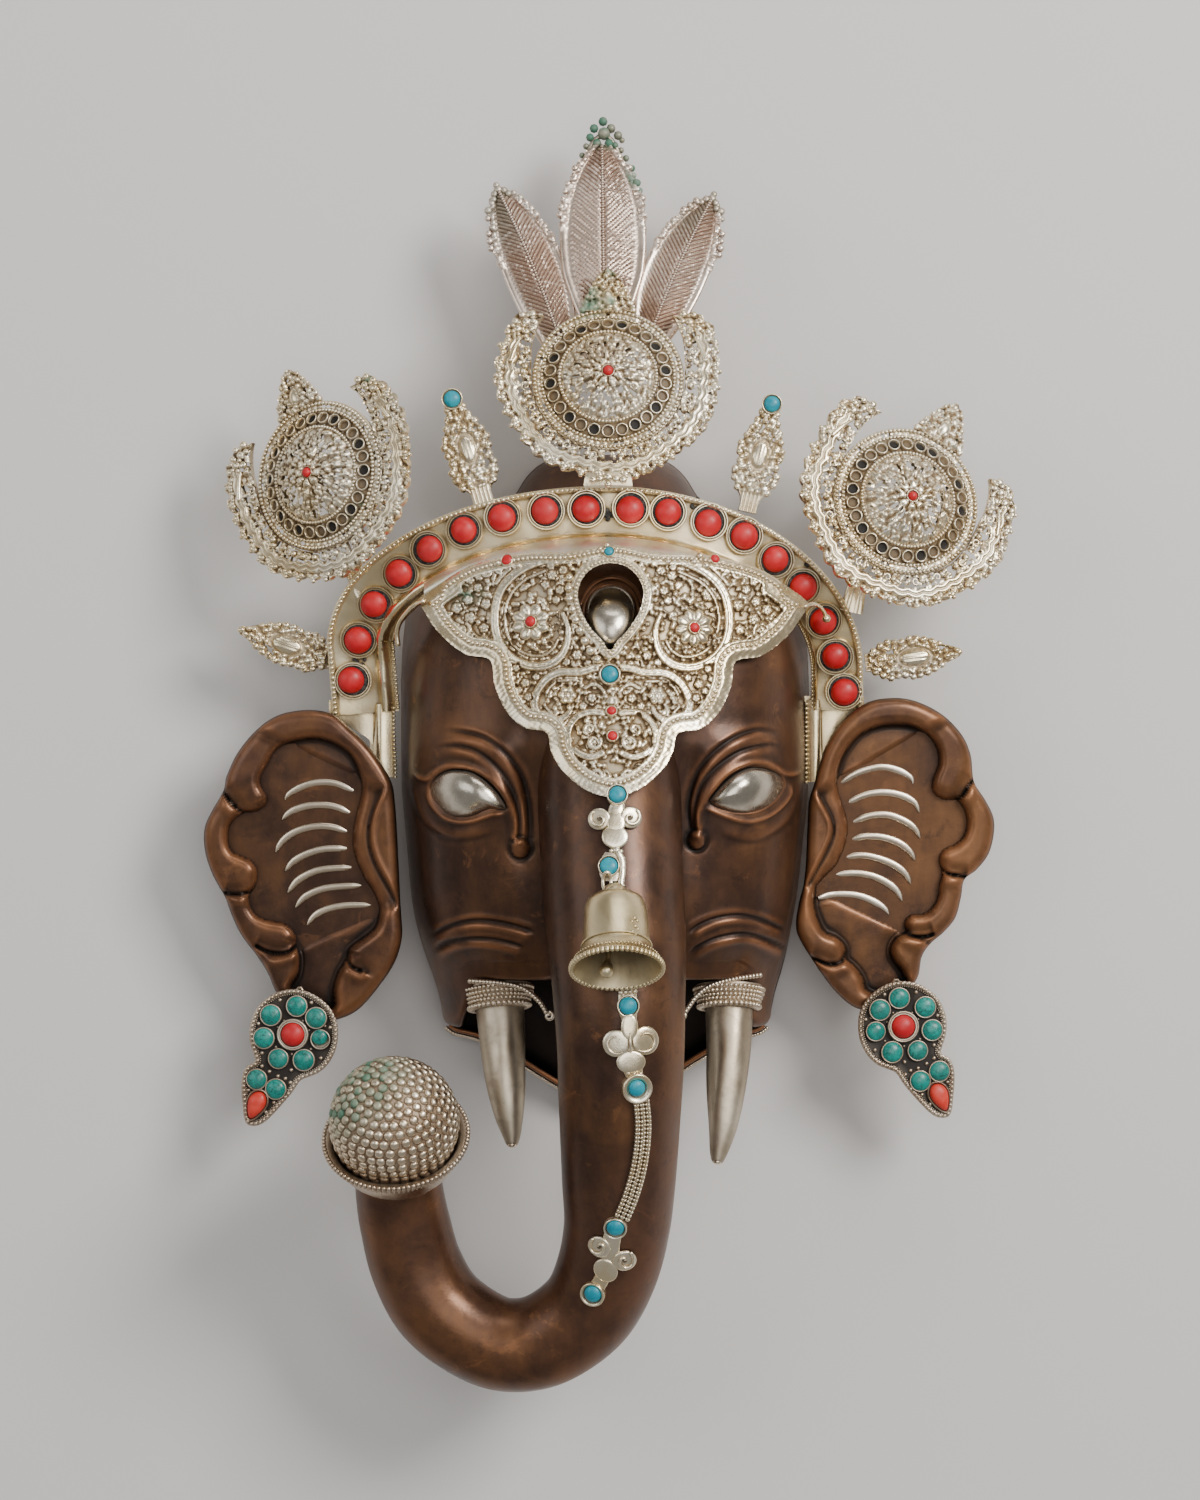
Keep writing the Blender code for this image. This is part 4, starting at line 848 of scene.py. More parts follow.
def rim_loop(n=220):
    ys = np.concatenate([np.linspace(449, 1030, n // 2), np.linspace(1030, 1102, n // 5)[1:]])
    r = flat(head_c(ys) + head_w(ys), ys, 0)
    l = flat(head_c(ys) - head_w(ys), ys, 0)[::-1]
    return np.vstack([r, l])


def offset_loop(loop, d, z):
    t = unit(np.roll(loop, -1, 0) - np.roll(loop, 1, 0))
    nn = np.stack([-t[:, 1], t[:, 0], np.zeros(len(t))], 1)
    out = loop + nn * d
    out[:, 2] = z
    return out


pc, HEAD_P, LIP = head_mesh()
loop = rim_loop()
ring = np.stack([offset_loop(loop, 0.0003, 0.0), offset_loop(loop, 0.0004, 0.0012), offset_loop(loop, 0.0003, 0.0024), offset_loop(loop, -0.0002, 0.0030)])
pc.grid(ring, wrap=True, tint=(0.15, 0.15, 0))
ring = np.stack([offset_loop(loop, 0.0003, 0.0), offset_loop(loop, -0.0040, 0.0), offset_loop(loop, -0.0040, 0.0030), offset_loop(loop, -0.0012, 0.0030)])
pc.grid(ring, wrap=True, tint=(0.15, 0.1, 0), flip=True)
pc.build("head_shell_skin", [COPPER], "head_shell", "patinated_copper")

# inside wall of the hollow, seen from the back
pc = Piece()
step_r = list(range(0, HEAD_P.shape[0], 5))
coarse = HEAD_P[step_r][:, ::6]
nn = grid_normals(coarse)
if nn[10, coarse.shape[1] // 2, 2] < 0:
    nn = -nn
inner = coarse - nn * 0.0019
inner[..., 2] = np.maximum(inner[..., 2], 0.0006)
pc.grid(inner, tint=(0.25, 0.0, 0.0))
pc.build("head_shell_inside", [COPPER], (), "patinated_copper")

# ------------------------------------------------------------------ trunk
TRUNK = ((607, 700, 66, 66), (608, 760, 88, 72), (611, 850, 101, 71.5), (613.5, 900, 107, 70.5),
         (617, 950, 114, 68.5), (619, 1000, 118, 66), (620.5, 1050, 118, 64), (620, 1100, 115, 62),
         (619, 1174, 106, 57.5), (617, 1227, 97, 53), (606, 1274, 87, 50.5), (585, 1312, 79, 48.5),
         (545, 1340, 73, 47.5), (505, 1345, 71, 47), (470, 1331, 70, 47), (437, 1304, 70, 47),
         (416, 1265, 72, 46), (405, 1224, 76, 45), (400, 1196, 80, 44), (398, 1176, 84, 43))
T_PATH = curve(TRUNK, 230)
T_PTS = at(T_PATH[:, 0], T_PATH[:, 1], T_PATH[:, 2])
T_RAD = T_PATH[:, 3] * UNIT * (EYE - T_PATH[:, 2] * 0.001) / (EYE - REF)


def trunk_top(x, y):
    """Height (mm) of the trunk's front over sheet points."""
    x = np.atleast_1d(np.asarray(x, float))
    y = np.atleast_1d(np.asarray(y, float))
    z = np.full(x.shape, 120.0)
    a, b = T_PTS[:-1:3], T_PTS[3::3]
    a = a[:len(b)]
    dx, dy = b[:, 0] - a[:, 0], b[:, 1] - a[:, 1]
    run = dx * dx + dy * dy
    lean = np.linalg.norm(b - a, axis=1) / np.sqrt(run)
    ra, rb = T_RAD[:-1:3][:len(b)], T_RAD[3::3]
    for _ in range(5):
        p = at(x, y, z)
        t = np.clip(((p[:, None, 0] - a[:, 0]) * dx + (p[:, None, 1] - a[:, 1]) * dy) / run, 0, 1)
        ex = p[:, None, 0] - a[:, 0] - dx * t
        ey = p[:, None, 1] - a[:, 1] - dy * t
        d = np.hypot(ex, ey)
        i = d.argmin(1)
        k = np.arange(len(x))
        tt = t[k, i]
        zc = a[i, 2] + (b[i, 2] - a[i, 2]) * tt
        r = ra[i] + (rb[i] - ra[i]) * tt
        z = 1000 * (zc + np.sqrt(np.maximum(r * r - d[k, i] ** 2, 0)) * lean[i])
    return z


def trunk_mesh():
    n = len(T_PTS)
    t = unit(np.gradient(T_PTS, axis=0))
    nn = unit(np.array([0, 0, 1.0]) - t * t[:, 2:3])
    b = np.cross(t, nn)
    sides = 88
    ang = np.arange(sides) * 2 * math.pi / sides
    s = np.linspace(0, 1, n)[:, None]
    wob = 1 + 0.006 * np.sin(3 * ang + 4 * s) + 0.004 * np.sin(5 * ang - 9 * s) + 0.005 * np.sin(18 * s + 2 * ang)
    P = T_PTS[:, None] + (T_RAD[:, None] * wob)[..., None] * (nn[:, None] * np.cos(ang)[None, :, None] + b[:, None] * np.sin(ang)[None, :, None])
    # lie on the face where the trunk leaves it
    X = (P[..., 0] + SHIFT_X) / UNIT + 600.0
    Y = 750.0 - (P[..., 1] + SHIFT_Y) / UNIT
    hz = head_z(X, np.minimum(Y, 972)) * 0.001 - 0.0009
    inside_head = (Y < 972) & (P[..., 2] < hz)
    P[..., 2] = np.where(inside_head, hz, P[..., 2])
    warm = smooth(0.45, 0.62, s) + 0 * ang
    seam = 0.0 * warm
    tint = np.stack([seam, 0.16 * warm, seam], -1)
    pc = Piece()
    pc.grid(P, wrap=True, tint=tint, cap1=True, cap0=True)
    return pc


trunk_mesh().build("trunk_skin", [TRUNK_COPPER], "trunk", "patinated_copper")

# ------------------------------------------------------------------ camera, floor and light
cam_data = bpy.data.cameras.new("camera")
cam = bpy.data.objects.new("camera", cam_data)
bpy.context.scene.collection.objects.link(cam)
cam.location = (-SHIFT_X, -SHIFT_Y, EYE)
cam.rotation_euler = (0, 0, 0)
cam_data.sensor_fit = "AUTO"
cam_data.sensor_width = 36.0
cam_data.lens = 36.0 * (EYE - REF) / (1500 * UNIT)
cam_data.clip_start, cam_data.clip_end = 0.05, 30.0
bpy.context.scene.camera = cam

me = bpy.data.meshes.new("floor")
me.from_pydata([(-6, -6, 0), (6, -6, 0), (6, 6, 0), (-6, 6, 0)], [], [(0, 1, 2, 3)])
me.materials.append(FLOOR)
floor = bpy.data.objects.new("floor", me)
bpy.context.scene.collection.objects.link(floor)


def area(name, loc, target, size, size_y, power, col=(1, 1, 1)):
    d = bpy.data.lights.new(name, "AREA")
    d.shape = "RECTANGLE"
    d.size, d.size_y = size, size_y
    d.energy = power
    d.color = col
    o = bpy.data.objects.new(name, d)
    bpy.context.scene.collection.objects.link(o)
    o.location = loc
    o.rotation_mode = "QUATERNION"
    o.rotation_quaternion = (Vector(target) - Vector(loc)).to_track_quat("-Z", "Y")
    return o


area("key", (1.15, 0.80, 1.55), (0, 0, 0.08), 0.75, 0.75, 37, (1.0, 0.985, 0.96))
area("fill", (-1.5, 0.4, 1.3), (0, 0, 0.08), 1.0, 1.4, 8, (0.96, 0.98, 1.0))
area("top", (0.35, 0.1, 2.9), (0.0, 0, 0.0), 1.6, 1.6, 21, (1.0, 0.99, 0.98))
area("head_light", (0.2, 1.7, 1.0), (0, 0.05, 0.05), 1.2, 0.5, 7, (1.0, 0.99, 0.97))
world = bpy.data.worlds.new("studio")
bpy.context.scene.world = world
world.use_nodes = True
bg = world.node_tree.nodes["Background"]
bg.inputs[0].default_value = (0.80, 0.79, 0.78, 1)
bg.inputs[1].default_value = 0.35

# ------------------------------------------------------------------ surfaces to work on
class Surf:
    """A surface with sheet-like coordinates (u right, v down) and a height in mm."""

    def __init__(self, place):
        self.place = place

    def frames(self, u, v):
        u, v = np.atleast_1d(np.asarray(u, float)), np.atleast_1d(np.asarray(v, float))
        e = 0.7
        du = self.place(u + e, v, 0 * u) - self.place(u - e, v, 0 * u)
        dv = self.place(u, v - e, 0 * u) - self.place(u, v + e, 0 * u)
        n = unit(np.cross(du, dv))
        V = unit(dv - n * (dv * n).sum(-1, keepdims=True))
        return np.stack([np.cross(V, n), V, n], 1)

    def put(self, pc, pts, r, lift=0.0, tpl=BEAD, mat=0, tall=1.0, ang=None, long=1.0, tint=None):
        """Stamps: r is the radius on the sheet, long stretches along the turned v axis."""
        pts = np.atleast_2d(np.asarray(pts, float))
        u, v = pts[:, 0], pts[:, 1]
        r = np.broadcast_to(np.asarray(r, float), u.shape)
        F = self.frames(u, v)
        if ang is not None:
            F = turn_frames(F, ang)
        O = self.place(u, v, np.broadcast_to(np.asarray(lift, float), u.shape))
        s = r * UNIT * 0.98
        S = np.stack([s, s * long, s * tall], 1)
        pc.stamp(tpl, O, F, S, mat, tint)

    def row(self, pc, pts, r, pitch=None, lift=0.0, tpl=BEAD, mat=0, closed=False, tall=1.0, long=1.0, tint=None, follow=False):
        """Beads evenly along a line."""
        p = np.asarray(pts, float)
        q = np.vstack([p, p[:1]]) if closed else p
        length = np.linalg.norm(np.diff(q, axis=0), axis=1).sum()
        n = max(3, int(round(length / (pitch or 2.1 * r))))
        c = curve(pts, n, closed)
        ang = None
        if follow:
            d = np.roll(c, -1, 0) - np.roll(c, 1, 0)
            if not closed:
                d[0], d[-1] = c[1] - c[0], c[-1] - c[-2]
            ang = np.arctan2(-d[:, 0], -d[:, 1])
        self.put(pc, c, r, lift, tpl, mat, tall, ang, long, tint)
        return c

    def wire(self, pc, pts, r, lift=0.0, sides=6, mat=0, closed=False, squash=1.0, pitch=2.2, taper=None, tint=None):
        p = np.asarray(pts, float)
        q = np.vstack([p, p[:1]]) if closed else p
        length = np.linalg.norm(np.diff(q, axis=0), axis=1).sum()
        n = max(4, int(length / pitch))
        c = curve(pts, n, closed)
        P = self.place(c[:, 0], c[:, 1], np.full(len(c), float(lift)))
        N = self.frames(c[:, 0], c[:, 1])[:, 2]
        rad = np.full(len(c), r * UNIT * 0.98)
        if taper is not None:
            rad = rad * np.interp(np.linspace(0, 1, len(c)), np.linspace(0, 1, len(taper)), taper)
        pc.tube(P, rad, sides, N, squash, mat, tint, closed)

    def slab(self, pc, outline, h0, h1, mat=0, rings=2, tint=None, crown=0.0, centre=None, back=True):
        """Plate with this outline: top at h1 (raised by crown in the middle), bottom at h0."""
        o = np.asarray(outline, float)
        c = np.array(centre if centre is not None else o.mean(0), float)
        qs = np.linspace(0.02, 1, rings + 1)
        rows = []
        for q in qs:
            p = c + (o - c) * q
            rows.append(self.place(p[:, 0], p[:, 1], np.full(len(p), h1 + crown * (1 - q * q))))
        top = np.array(rows)
        edge = [top[-1], self.place(o[:, 0], o[:, 1], np.full(len(o), float(h0)))]
        if back:
            rows_b = list(top) + [edge[1]] + [self.place(*(c + (o - c) * 0.02).T, np.full(len(o), float(h0)))]
        else:
            rows_b = list(top) + [edge[1]]
        pc.grid(np.array(rows_b), wrap=True, mat=mat, tint=tint, cap0=True, cap1=back)


def ring_pts(r, n, a0=0.0, a1=2 * math.pi, cx=0.0, cy=0.0, closed=True):
    a = np.linspace(a0, a1, n + 1)[:-1] if closed else np.linspace(a0, a1, n)
    return np.stack([cx + r * np.sin(a), cy - r * np.cos(a)], 1)


def spiral(cx, cy, r0, r1, a0, turns, n=24):
    t = np.linspace(0, 1, n)
    r = r0 + (r1 - r0) * t
    a = a0 + turns * 2 * math.pi * t
    return np.stack([cx + r * np.sin(a), cy - r * np.cos(a)], 1)


def enlarged(pts, x0, y0, k):
    """Sheet points read off an enlarged drawing of one corner."""
    return np.array([(x0 + a / k, y0 + b / k) for a, b in pts])


# ------------------------------------------------------------------ ears
K4 = 4.48
EAR_OUT = {
    "left": enlarged(((530, 90), (400, 112), (300, 178), (215, 280), (165, 385), (150, 452), (100, 540), (66, 620), (68, 720), (95, 810), (130, 880),
                      (157, 925), (188, 1010), (232, 1100), (300, 1190), (350, 1270), (382, 1345), (440, 1430), (540, 1490), (660, 1475), (760, 1425),
                      (858, 1310), (918, 1215), (948, 1110), (945, 1010), (940, 930), (935, 820), (930, 720), (925, 620), (918, 520), (905, 425),
                      (868, 350), (800, 255), (720, 175), (640, 110)), 190, 690, K4),
    "right": enlarged(((450, 37), (560, 50), (680, 110), (768, 200), (808, 290), (818, 385), (832, 430), (875, 495), (910, 570), (912, 645), (888, 735),
                       (835, 805), (780, 850), (765, 930), (740, 1020), (688, 1085), (630, 1135), (590, 1195), (570, 1290), (500, 1370), (400, 1420),
                       (300, 1425), (200, 1345), (105, 1215), (42, 1110), (28, 1050), (40, 960), (62, 870), (72, 780), (76, 690), (80, 600), (86, 500),
                       (108, 425), (128, 350), (165, 245), (235, 140), (340, 60)), 790, 690, K4)}
EAR_IN = {
    "left": enlarged(((540, 215), (600, 222), (660, 245), (720, 290), (755, 360), (770, 430), (765, 480), (740, 580), (730, 640), (730, 700), (745, 760),
                      (780, 840), (820, 900), (845, 960), (850, 1010), (835, 1060), (800, 1095), (745, 1135), (712, 1165), (700, 1210), (665, 1270),
                      (645, 1340), (640, 1420), (560, 1440), (470, 1400), (450, 1335), (484, 1270), (490, 1200), (479, 1150), (478, 1105), (450, 1062),
                      (410, 1040), (350, 1030), (300, 1008), (270, 960), (266, 918), (290, 895), (302, 860), (300, 805), (275, 765), (235, 745),
                      (190, 722), (172, 680), (175, 620), (195, 585), (228, 558), (290, 550), (332, 528), (350, 490), (335, 455), (317, 420),
                      (322, 380), (350, 330), (385, 270), (450, 232)), 190, 690, K4),
    "right": enlarged(((480, 155), (560, 165), (620, 205), (658, 265), (665, 330), (645, 385), (636, 445), (665, 484), (700, 497), (745, 494), (778, 530),
                       (793, 590), (780, 650), (740, 690), (692, 712), (668, 750), (672, 798), (682, 832), (668, 875), (664, 920), (642, 968),
                       (600, 1000), (540, 1008), (510, 1045), (516, 1088), (478, 1112), (453, 1155), (462, 1205), (505, 1262), (520, 1330), (440, 1370),
                       (345, 1345), (325, 1290), (290, 1240), (250, 1203), (246, 1150), (208, 1108), (160, 1088), (128, 1040), (106, 960), (115, 890),
                       (150, 840), (202, 788), (240, 710), (258, 620), (245, 540), (216, 450), (212, 370), (240, 290), (300, 210), (385, 165)), 790, 690, K4)}
# seams where one curl of the rolled edge laps over the next: line, side of the upper curl
EAR_SEAM = {
    "left": [(enlarged(((140, 440), (165, 480), (198, 520), (240, 548), (292, 552), (330, 530)), 190, 690, K4), -1),
             (enlarged(((146, 905), (190, 916), (240, 912), (278, 898), (298, 870)), 190, 690, K4), -1),
             (enlarged(((285, 1140), (318, 1160), (355, 1176), (405, 1182), (445, 1172), (474, 1148)), 190, 690, K4), -1),
             (enlarged(((712, 1165), (705, 1205), (722, 1238), (760, 1258)), 190, 690, K4), -1)],
    "right": [(enlarged(((828, 395), (802, 428), (775, 470), (742, 492), (700, 498), (664, 484)), 790, 690, K4), 1),
              (enlarged(((795, 838), (745, 832), (705, 822), (674, 798)), 790, 690, K4), 1),
              (enlarged(((650, 1092), (605, 1106), (550, 1106), (516, 1088)), 790, 690, K4), 1),
              (enlarged(((85, 1190), (130, 1215), (180, 1230), (228, 1218), (247, 1180)), 790, 690, K4), -1)]}
EAR_FLAP = {"left": enlarged(((880, 425), (845, 500), (818, 580), (810, 660), (825, 740), (862, 820), (902, 890), (945, 985)), 190, 690, K4),
            "right": enlarged(((103, 440), (145, 515), (180, 585), (184, 645), (160, 710), (122, 785), (84, 850), (60, 900)), 790, 690, K4)}
INLAYS = {
    "left": [enlarged(p, 190, 690, K4) for p in (
        ((425, 490), (450, 460), (520, 425), (590, 412), (660, 420), (732, 452)), ((413, 580), (450, 545), (520, 520), (600, 515), (660, 525), (715, 550)),
        ((384, 727), (410, 680), (470, 635), (550, 612), (630, 612), (703, 634)), ((428, 810), (460, 770), (520, 735), (600, 712), (702, 710)),
        ((438, 908), (480, 855), (550, 815), (620, 800), (722, 795)), ((473, 975), (510, 930), (580, 895), (650, 882), (768, 875)),
        ((525, 1053), (560, 1010), (620, 980), (700, 965), (815, 963)))],
    "right": [enlarged(p, 790, 690, K4) for p in (
        ((550, 420), (542, 392), (480, 358), (400, 345), (300, 372), (225, 417)), ((578, 548), (560, 505), (500, 472), (420, 458), (330, 472), (247, 512)),
        ((583, 664), (560, 620), (500, 580), (430, 558), (350, 565), (283, 592)), ((560, 762), (540, 725), (490, 685), (420, 660), (340, 655), (273, 670)),
        ((540, 868), (520, 825), (470, 785), (400, 755), (320, 740), (238, 752)), ((502, 944), (480, 900), (430, 860), (360, 830), (280, 820), (192, 828)),
        ((442, 1005), (420, 975), (360, 940), (290, 918), (200, 915), (127, 932)))]}


def ear(side):
    sgn = -1 if side == "left" else 1
    cx = 306 if sgn < 0 else 893
    outline, recess, flap = EAR_OUT[side], EAR_IN[side], EAR_FLAP[side]
    oc = curve(outline, 150, True)
    rc = curve(recess, 190, True)
    seams = [(curve(l, 22), s) for l, s in EAR_SEAM[side]]
    fl = curve(flap, 30)
    inl = [curve(p, 26) for p in INLAYS[side]]

    def base(x, y):
        return 47.5 - 0.05 * (x - cx) * sgn - 0.050 * (y - 835)

    def detail(x, y):
        dO, _ = edge_field(x, y, oc)
        dO = np.maximum(-dO, 0)
        dR, _ = edge_field(x, y, rc)
        out = dR > 0
        w = 10.0
        roll = np.sqrt(np.maximum(1 - (1 - np.clip(dR / w, 0, 1)) ** 2, 0)) * (0.25 + 0.75 * np.sqrt(np.maximum(1 - (1 - np.clip(dO / 11.0, 0, 1)) ** 2, 0)))
        h = np.where(out, -0.6 + 5.9 * roll, -1.2 - 1.7 * smooth(0, 4.5, -dR) + 1.3 * bump2(x, y, cx, 850, 62, 95) * smooth(2, 16, -dR))
        h = h - 0.9 * np.exp(-((dR + 2.0) / 2.0) ** 2)
        for line, up in seams:
            r_, s_, t_ = line_field(x, y, line)
            s = r_ * s_ * up
            f = out * smooth(0.0, 0.08, t_)
            h = h - f * (2.6 * np.exp(-(r_ / 1.7) ** 2) + 1.2 * np.exp(-((s - 5) / 5.5) ** 2) * (s > 0)) + f * 0.9 * np.exp(-((s + 7) / 5.0) ** 2) * (s < 0)
        r_, s_, t_ = line_field(x, y, fl)
        s = r_ * s_ * (-sgn)
        f = smooth(0, 0.1, t_) * (1 - smooth(0.9, 1.0, t_))
        h = h - f * np.where(s > 0, 2.4 * smooth(0, 3.0, s), 0.0) - 0.8 * f * np.exp(-((s - 2.0) / 1.6) ** 2) + 0.5 * f * np.exp(-((s + 2.5) / 2.0) ** 2)
        for line in inl:
            m = (x > line[:, 0].min() - 8) & (x < line[:, 0].max() + 8) & (y > line[:, 1].min() - 8) & (y < line[:, 1].max() + 8)
            if m.any():
                d_, _, t_ = line_field(x[m], y[m], line)
                h[m] -= 0.75 * np.exp(-((d_ - 3.6) / 1.5) ** 2)
                h[m] += 0.30 * np.exp(-((d_ - 6.4) / 1.8) ** 2)
        return h, dR, dO

    N, R = 312, 66
    O = curve(outline, N, True)
    C = np.stack([np.full(N, float(cx)), np.clip(O[:, 1], 790, 935)], 1)
    q = np.linspace(0.0, 1.0, R)[:, None, None]
    U = C[None] + (O - C)[None] * q
    x, y = U[..., 0], U[..., 1]
    h, dR, dO = detail(x, y)
    z = base(x, y) + h
    P = at(x, y, z)
    # painted shade in the hollows and inside the recess under the rolled rim; orange on the ridges and the rim is wear
    # and also painted highlight
    hb = blur(h, 4)
    hp = h - hb
    wear_and_highlight = np.clip(hp / 0.75, 0, 1) * 0.65
    dark = np.clip(-hp / 0.6, 0, 1) * 0.8
    dark = np.maximum(dark, 0.42 * np.exp(-((dR + 4) / 6.0) ** 2) * (dR < 0))
    wear_and_highlight = np.maximum(wear_and_highlight, 0.20 * (dR > 0))
    tint = np.stack([dark, wear_and_highlight, 0 * dark], -1)
    # rolled wall down to the back
    down = []
    for dz, grow in ((1.2, 0.35), (2.6, 0.3), (3.9, -0.4)):
        oo = O + (O - C) * (grow / 100.0)
        down.append(at(oo[:, 0], oo[:, 1], z[-1] - dz))
    wall = np.array([P[-1]] + down)
    bz = base(x[::6], y[::6]) - 3.4
    back = at(x[::6], y[::6], bz)
    back[-1] = wall[-1]
    pc = Piece()
    pc.grid(P, wrap=True, tint=tint)
    pc.grid(wall, wrap=True, tint=(0.25, 0.1, 0))
    pc.grid(back, wrap=True, tint=(0.2, 0.05, 0), flip=True)
    # silver strips let into the ear
    for line in inl:
        n = 30
        c = curve(line, n)
        t = np.linspace(0, 1, n)
        w = 4.1 * np.clip(np.interp(t, (0, 0.05, 0.22, 0.9, 1.0), (0.15, 0.66, 1.0, 0.88, 0.5)), 0, 1)
        hh, _, _ = detail(c[:, 0], c[:, 1])
        d = np.gradient(c, axis=0)
        d = d / np.linalg.norm(d, axis=1, keepdims=True)
        nn = np.stack([-d[:, 1], d[:, 0]], 1)
        rows = []
        for k in (-1.0, -0.92, -0.6, 0.0, 0.6, 0.92, 1.0):
            e = c + nn * (w * k)[:, None]
            lift = {1.0: -0.4, 0.92: 1.15, 0.6: 1.65, 0.0: 1.80}[abs(k)]
            rows.append(at(e[:, 0], e[:, 1], base(e[:, 0], e[:, 1]) + hh + lift))
        G = np.array(rows).transpose(1, 0, 2)
        pc.grid(G, mat=1, flip=sgn < 0)
    ob = pc.build("ear_%s_skin" % side, [EAR_COPPER, INLAY], "ear_" + side, "patinated_copper", angle=70)
    return ob


ear("left")
ear("right")

# ------------------------------------------------------------------ eyes
def eye(name, pts, node, rise=6.6, edge=-1.7, power=0.62, n=90, rings=20):
    o = curve(pts, n, True)
    c = o.mean(0)
    q = np.linspace(0.0, 1.0, rings)[:, None]
    x = c[0] + (o[:, 0] - c[0])[None] * q
    y = c[1] + (o[:, 1] - c[1])[None] * q
    h = edge + rise * np.maximum(1 - (q + 0 * x) ** 2, 0) ** power
    P = at(x, y, on_head(x, y, 0.0) + h)
    low = at(x[-1], y[-1], on_head(x[-1], y[-1], 0.0) + edge - 1.2)
    P = np.concatenate([P, low[None]], 0)
    ring = np.clip((np.linspace(0, 1, rings + 1) - 0.9) / 0.1, 0, 1)[:, None] + 0 * P[..., 0]
    pc = Piece()
    pc.grid(P, wrap=True, tint=np.stack([0.35 * ring, 0 * ring, 0 * ring], -1))
    pc.build(name, [EYE_SILVER], node, "tarnished_silver")


eye("eye_left_shell", OPEN_L, "eye_left")
eye("eye_right_shell", OPEN_R, "eye_right")
a_ = np.linspace(0, 2 * math.pi, 25)[:-1]
eye("third_eye_shell", np.stack([611 + 25 * np.sin(a_) * (1 - 0.10 * np.cos(a_ + math.pi)), 616 - 31 * np.cos(a_)], 1), "third_eye", rise=7.6, edge=2.6)


# ------------------------------------------------------------------ tusks, collars and jaw
TUSKS = {"left": ((498, 984, 50, 24.5), (500, 1010, 52, 24.5), (503, 1050, 56, 22.5), (506, 1085, 60, 19.5),
                  (509, 1115, 63, 14.5), (511.5, 1134, 65, 9.5), (512, 1143, 66, 6.5)),
         "right": ((729, 984, 50, 24), (729, 1010, 52, 24), (728.5, 1050, 56, 22.5), (726, 1090, 60, 19.5),
                   (723, 1125, 63, 14.5), (719, 1150, 65, 9.5), (717.5, 1160, 66, 6.5))}
for side, rows_ in TUSKS.items():
    c = curve(rows_, 60)
    pts = at(c[:, 0], c[:, 1], c[:, 2])
    t = unit(np.gradient(pts, axis=0))
    nn = unit(np.array([0, 0, 1.0]) - t * t[:, 2:3])
    b = np.cross(t, nn)
    sides = 44
    ang = np.arange(sides) * 2 * math.pi / sides
    s = np.linspace(0, 1, 60)[:, None]
    rad = (c[:, 3] * UNIT)[:, None] * (1 + 0.012 * np.sin(2 * ang + 6 * s) + 0.008 * np.sin(5 * ang - 11 * s))
    P = pts[:, None] + rad[..., None] * (nn[:, None] * np.cos(ang)[None, :, None] + b[:, None] * np.sin(ang)[None, :, None])
    # darker at the root and towards the tip
    darker_at_ends = 0.30 * smooth(0.72, 0.95, s) + 0.35 * smooth(0.12, 0.0, s) + 0 * ang
    pc = Piece()
    pc.grid(P, wrap=True, tint=np.stack([darker_at_ends, 0 * darker_at_ends, 0 * darker_at_ends], -1))
    # worn copper knob at the tip
    F = np.stack([nn[-1], b[-1], t[-1]], 0)[None]
    pc.stamp(lathe([(1.12, -0.25), (1.0, 0.0), (0.93, 0.22), (0.74, 0.42), (0.42, 0.56), (0.15, 0.60)], 28), pts[-1:], F,
             6.3 * UNIT, 0, (0.30, 0, 0))
    pc.stamp(lathe([(1.0, -0.2), (1.0, 0.0), (0.85, 0.28), (0.5, 0.42)], 20), pts[-1:] + t[-1] * 0.0013 + nn[-1] * 0.0008, F, 4.3 * UNIT, 1)
    pc.build("tusk_%s_shell" % side, [TUSK_SILVER, SWEET_SILVER], "tusk_" + side, "tarnished_silver")

    # collar of beaded rings round the root
    pc = Piece()
    foot = pts[0].copy()
    foot[1] -= 0.0022
    axis = unit(pts[15] - pts[0])
    foot = foot - axis * 0.0004
    u = unit(np.cross(axis, [0, 0, 1.0]))
    v = np.cross(axis, u)
    prof = [(0.0150, -0.0010), (0.0152, 0.0012), (0.0147, 0.0030), (0.0140, 0.0050), (0.0134, 0.0068), (0.0130, 0.0088), (0.0121, 0.0098), (0.0113, 0.0098)]
    an = np.arange(48) * 2 * math.pi / 48
    G = np.array([foot + axis * s_ + r_ * (u * np.cos(an)[:, None] + v * np.sin(an)[:, None]) for r_, s_ in prof])
    # the shell under the bead rings is painted darker, as shade between the beads
    pc.grid(G, wrap=True, tint=(0.45, 0, 0), flip=True)
    for (r_, s_, br, n_) in ((0.0156, 0.0008, 0.00105, 46), (0.0151, 0.0028, 0.00105, 46), (0.0145, 0.0046, 0.00095, 46), (0.0138, 0.0062, 0.00095, 44), (0.0137, 0.0085, 0.0013, 36)):
        an = np.arange(n_) * 2 * math.pi / n_ + s_ * 900
        dirs = u * np.cos(an)[:, None] + v * np.sin(an)[:, None]
        O = foot + axis * s_ + r_ * dirs
        pc.stamp(BALL, O, frames_from(dirs, np.tile(axis, (n_, 1))), br, 0)
    pc.build("tusk_collar_%s_beads" % side, [INLAY], "tusk_collar_" + side, "silvered_copper")

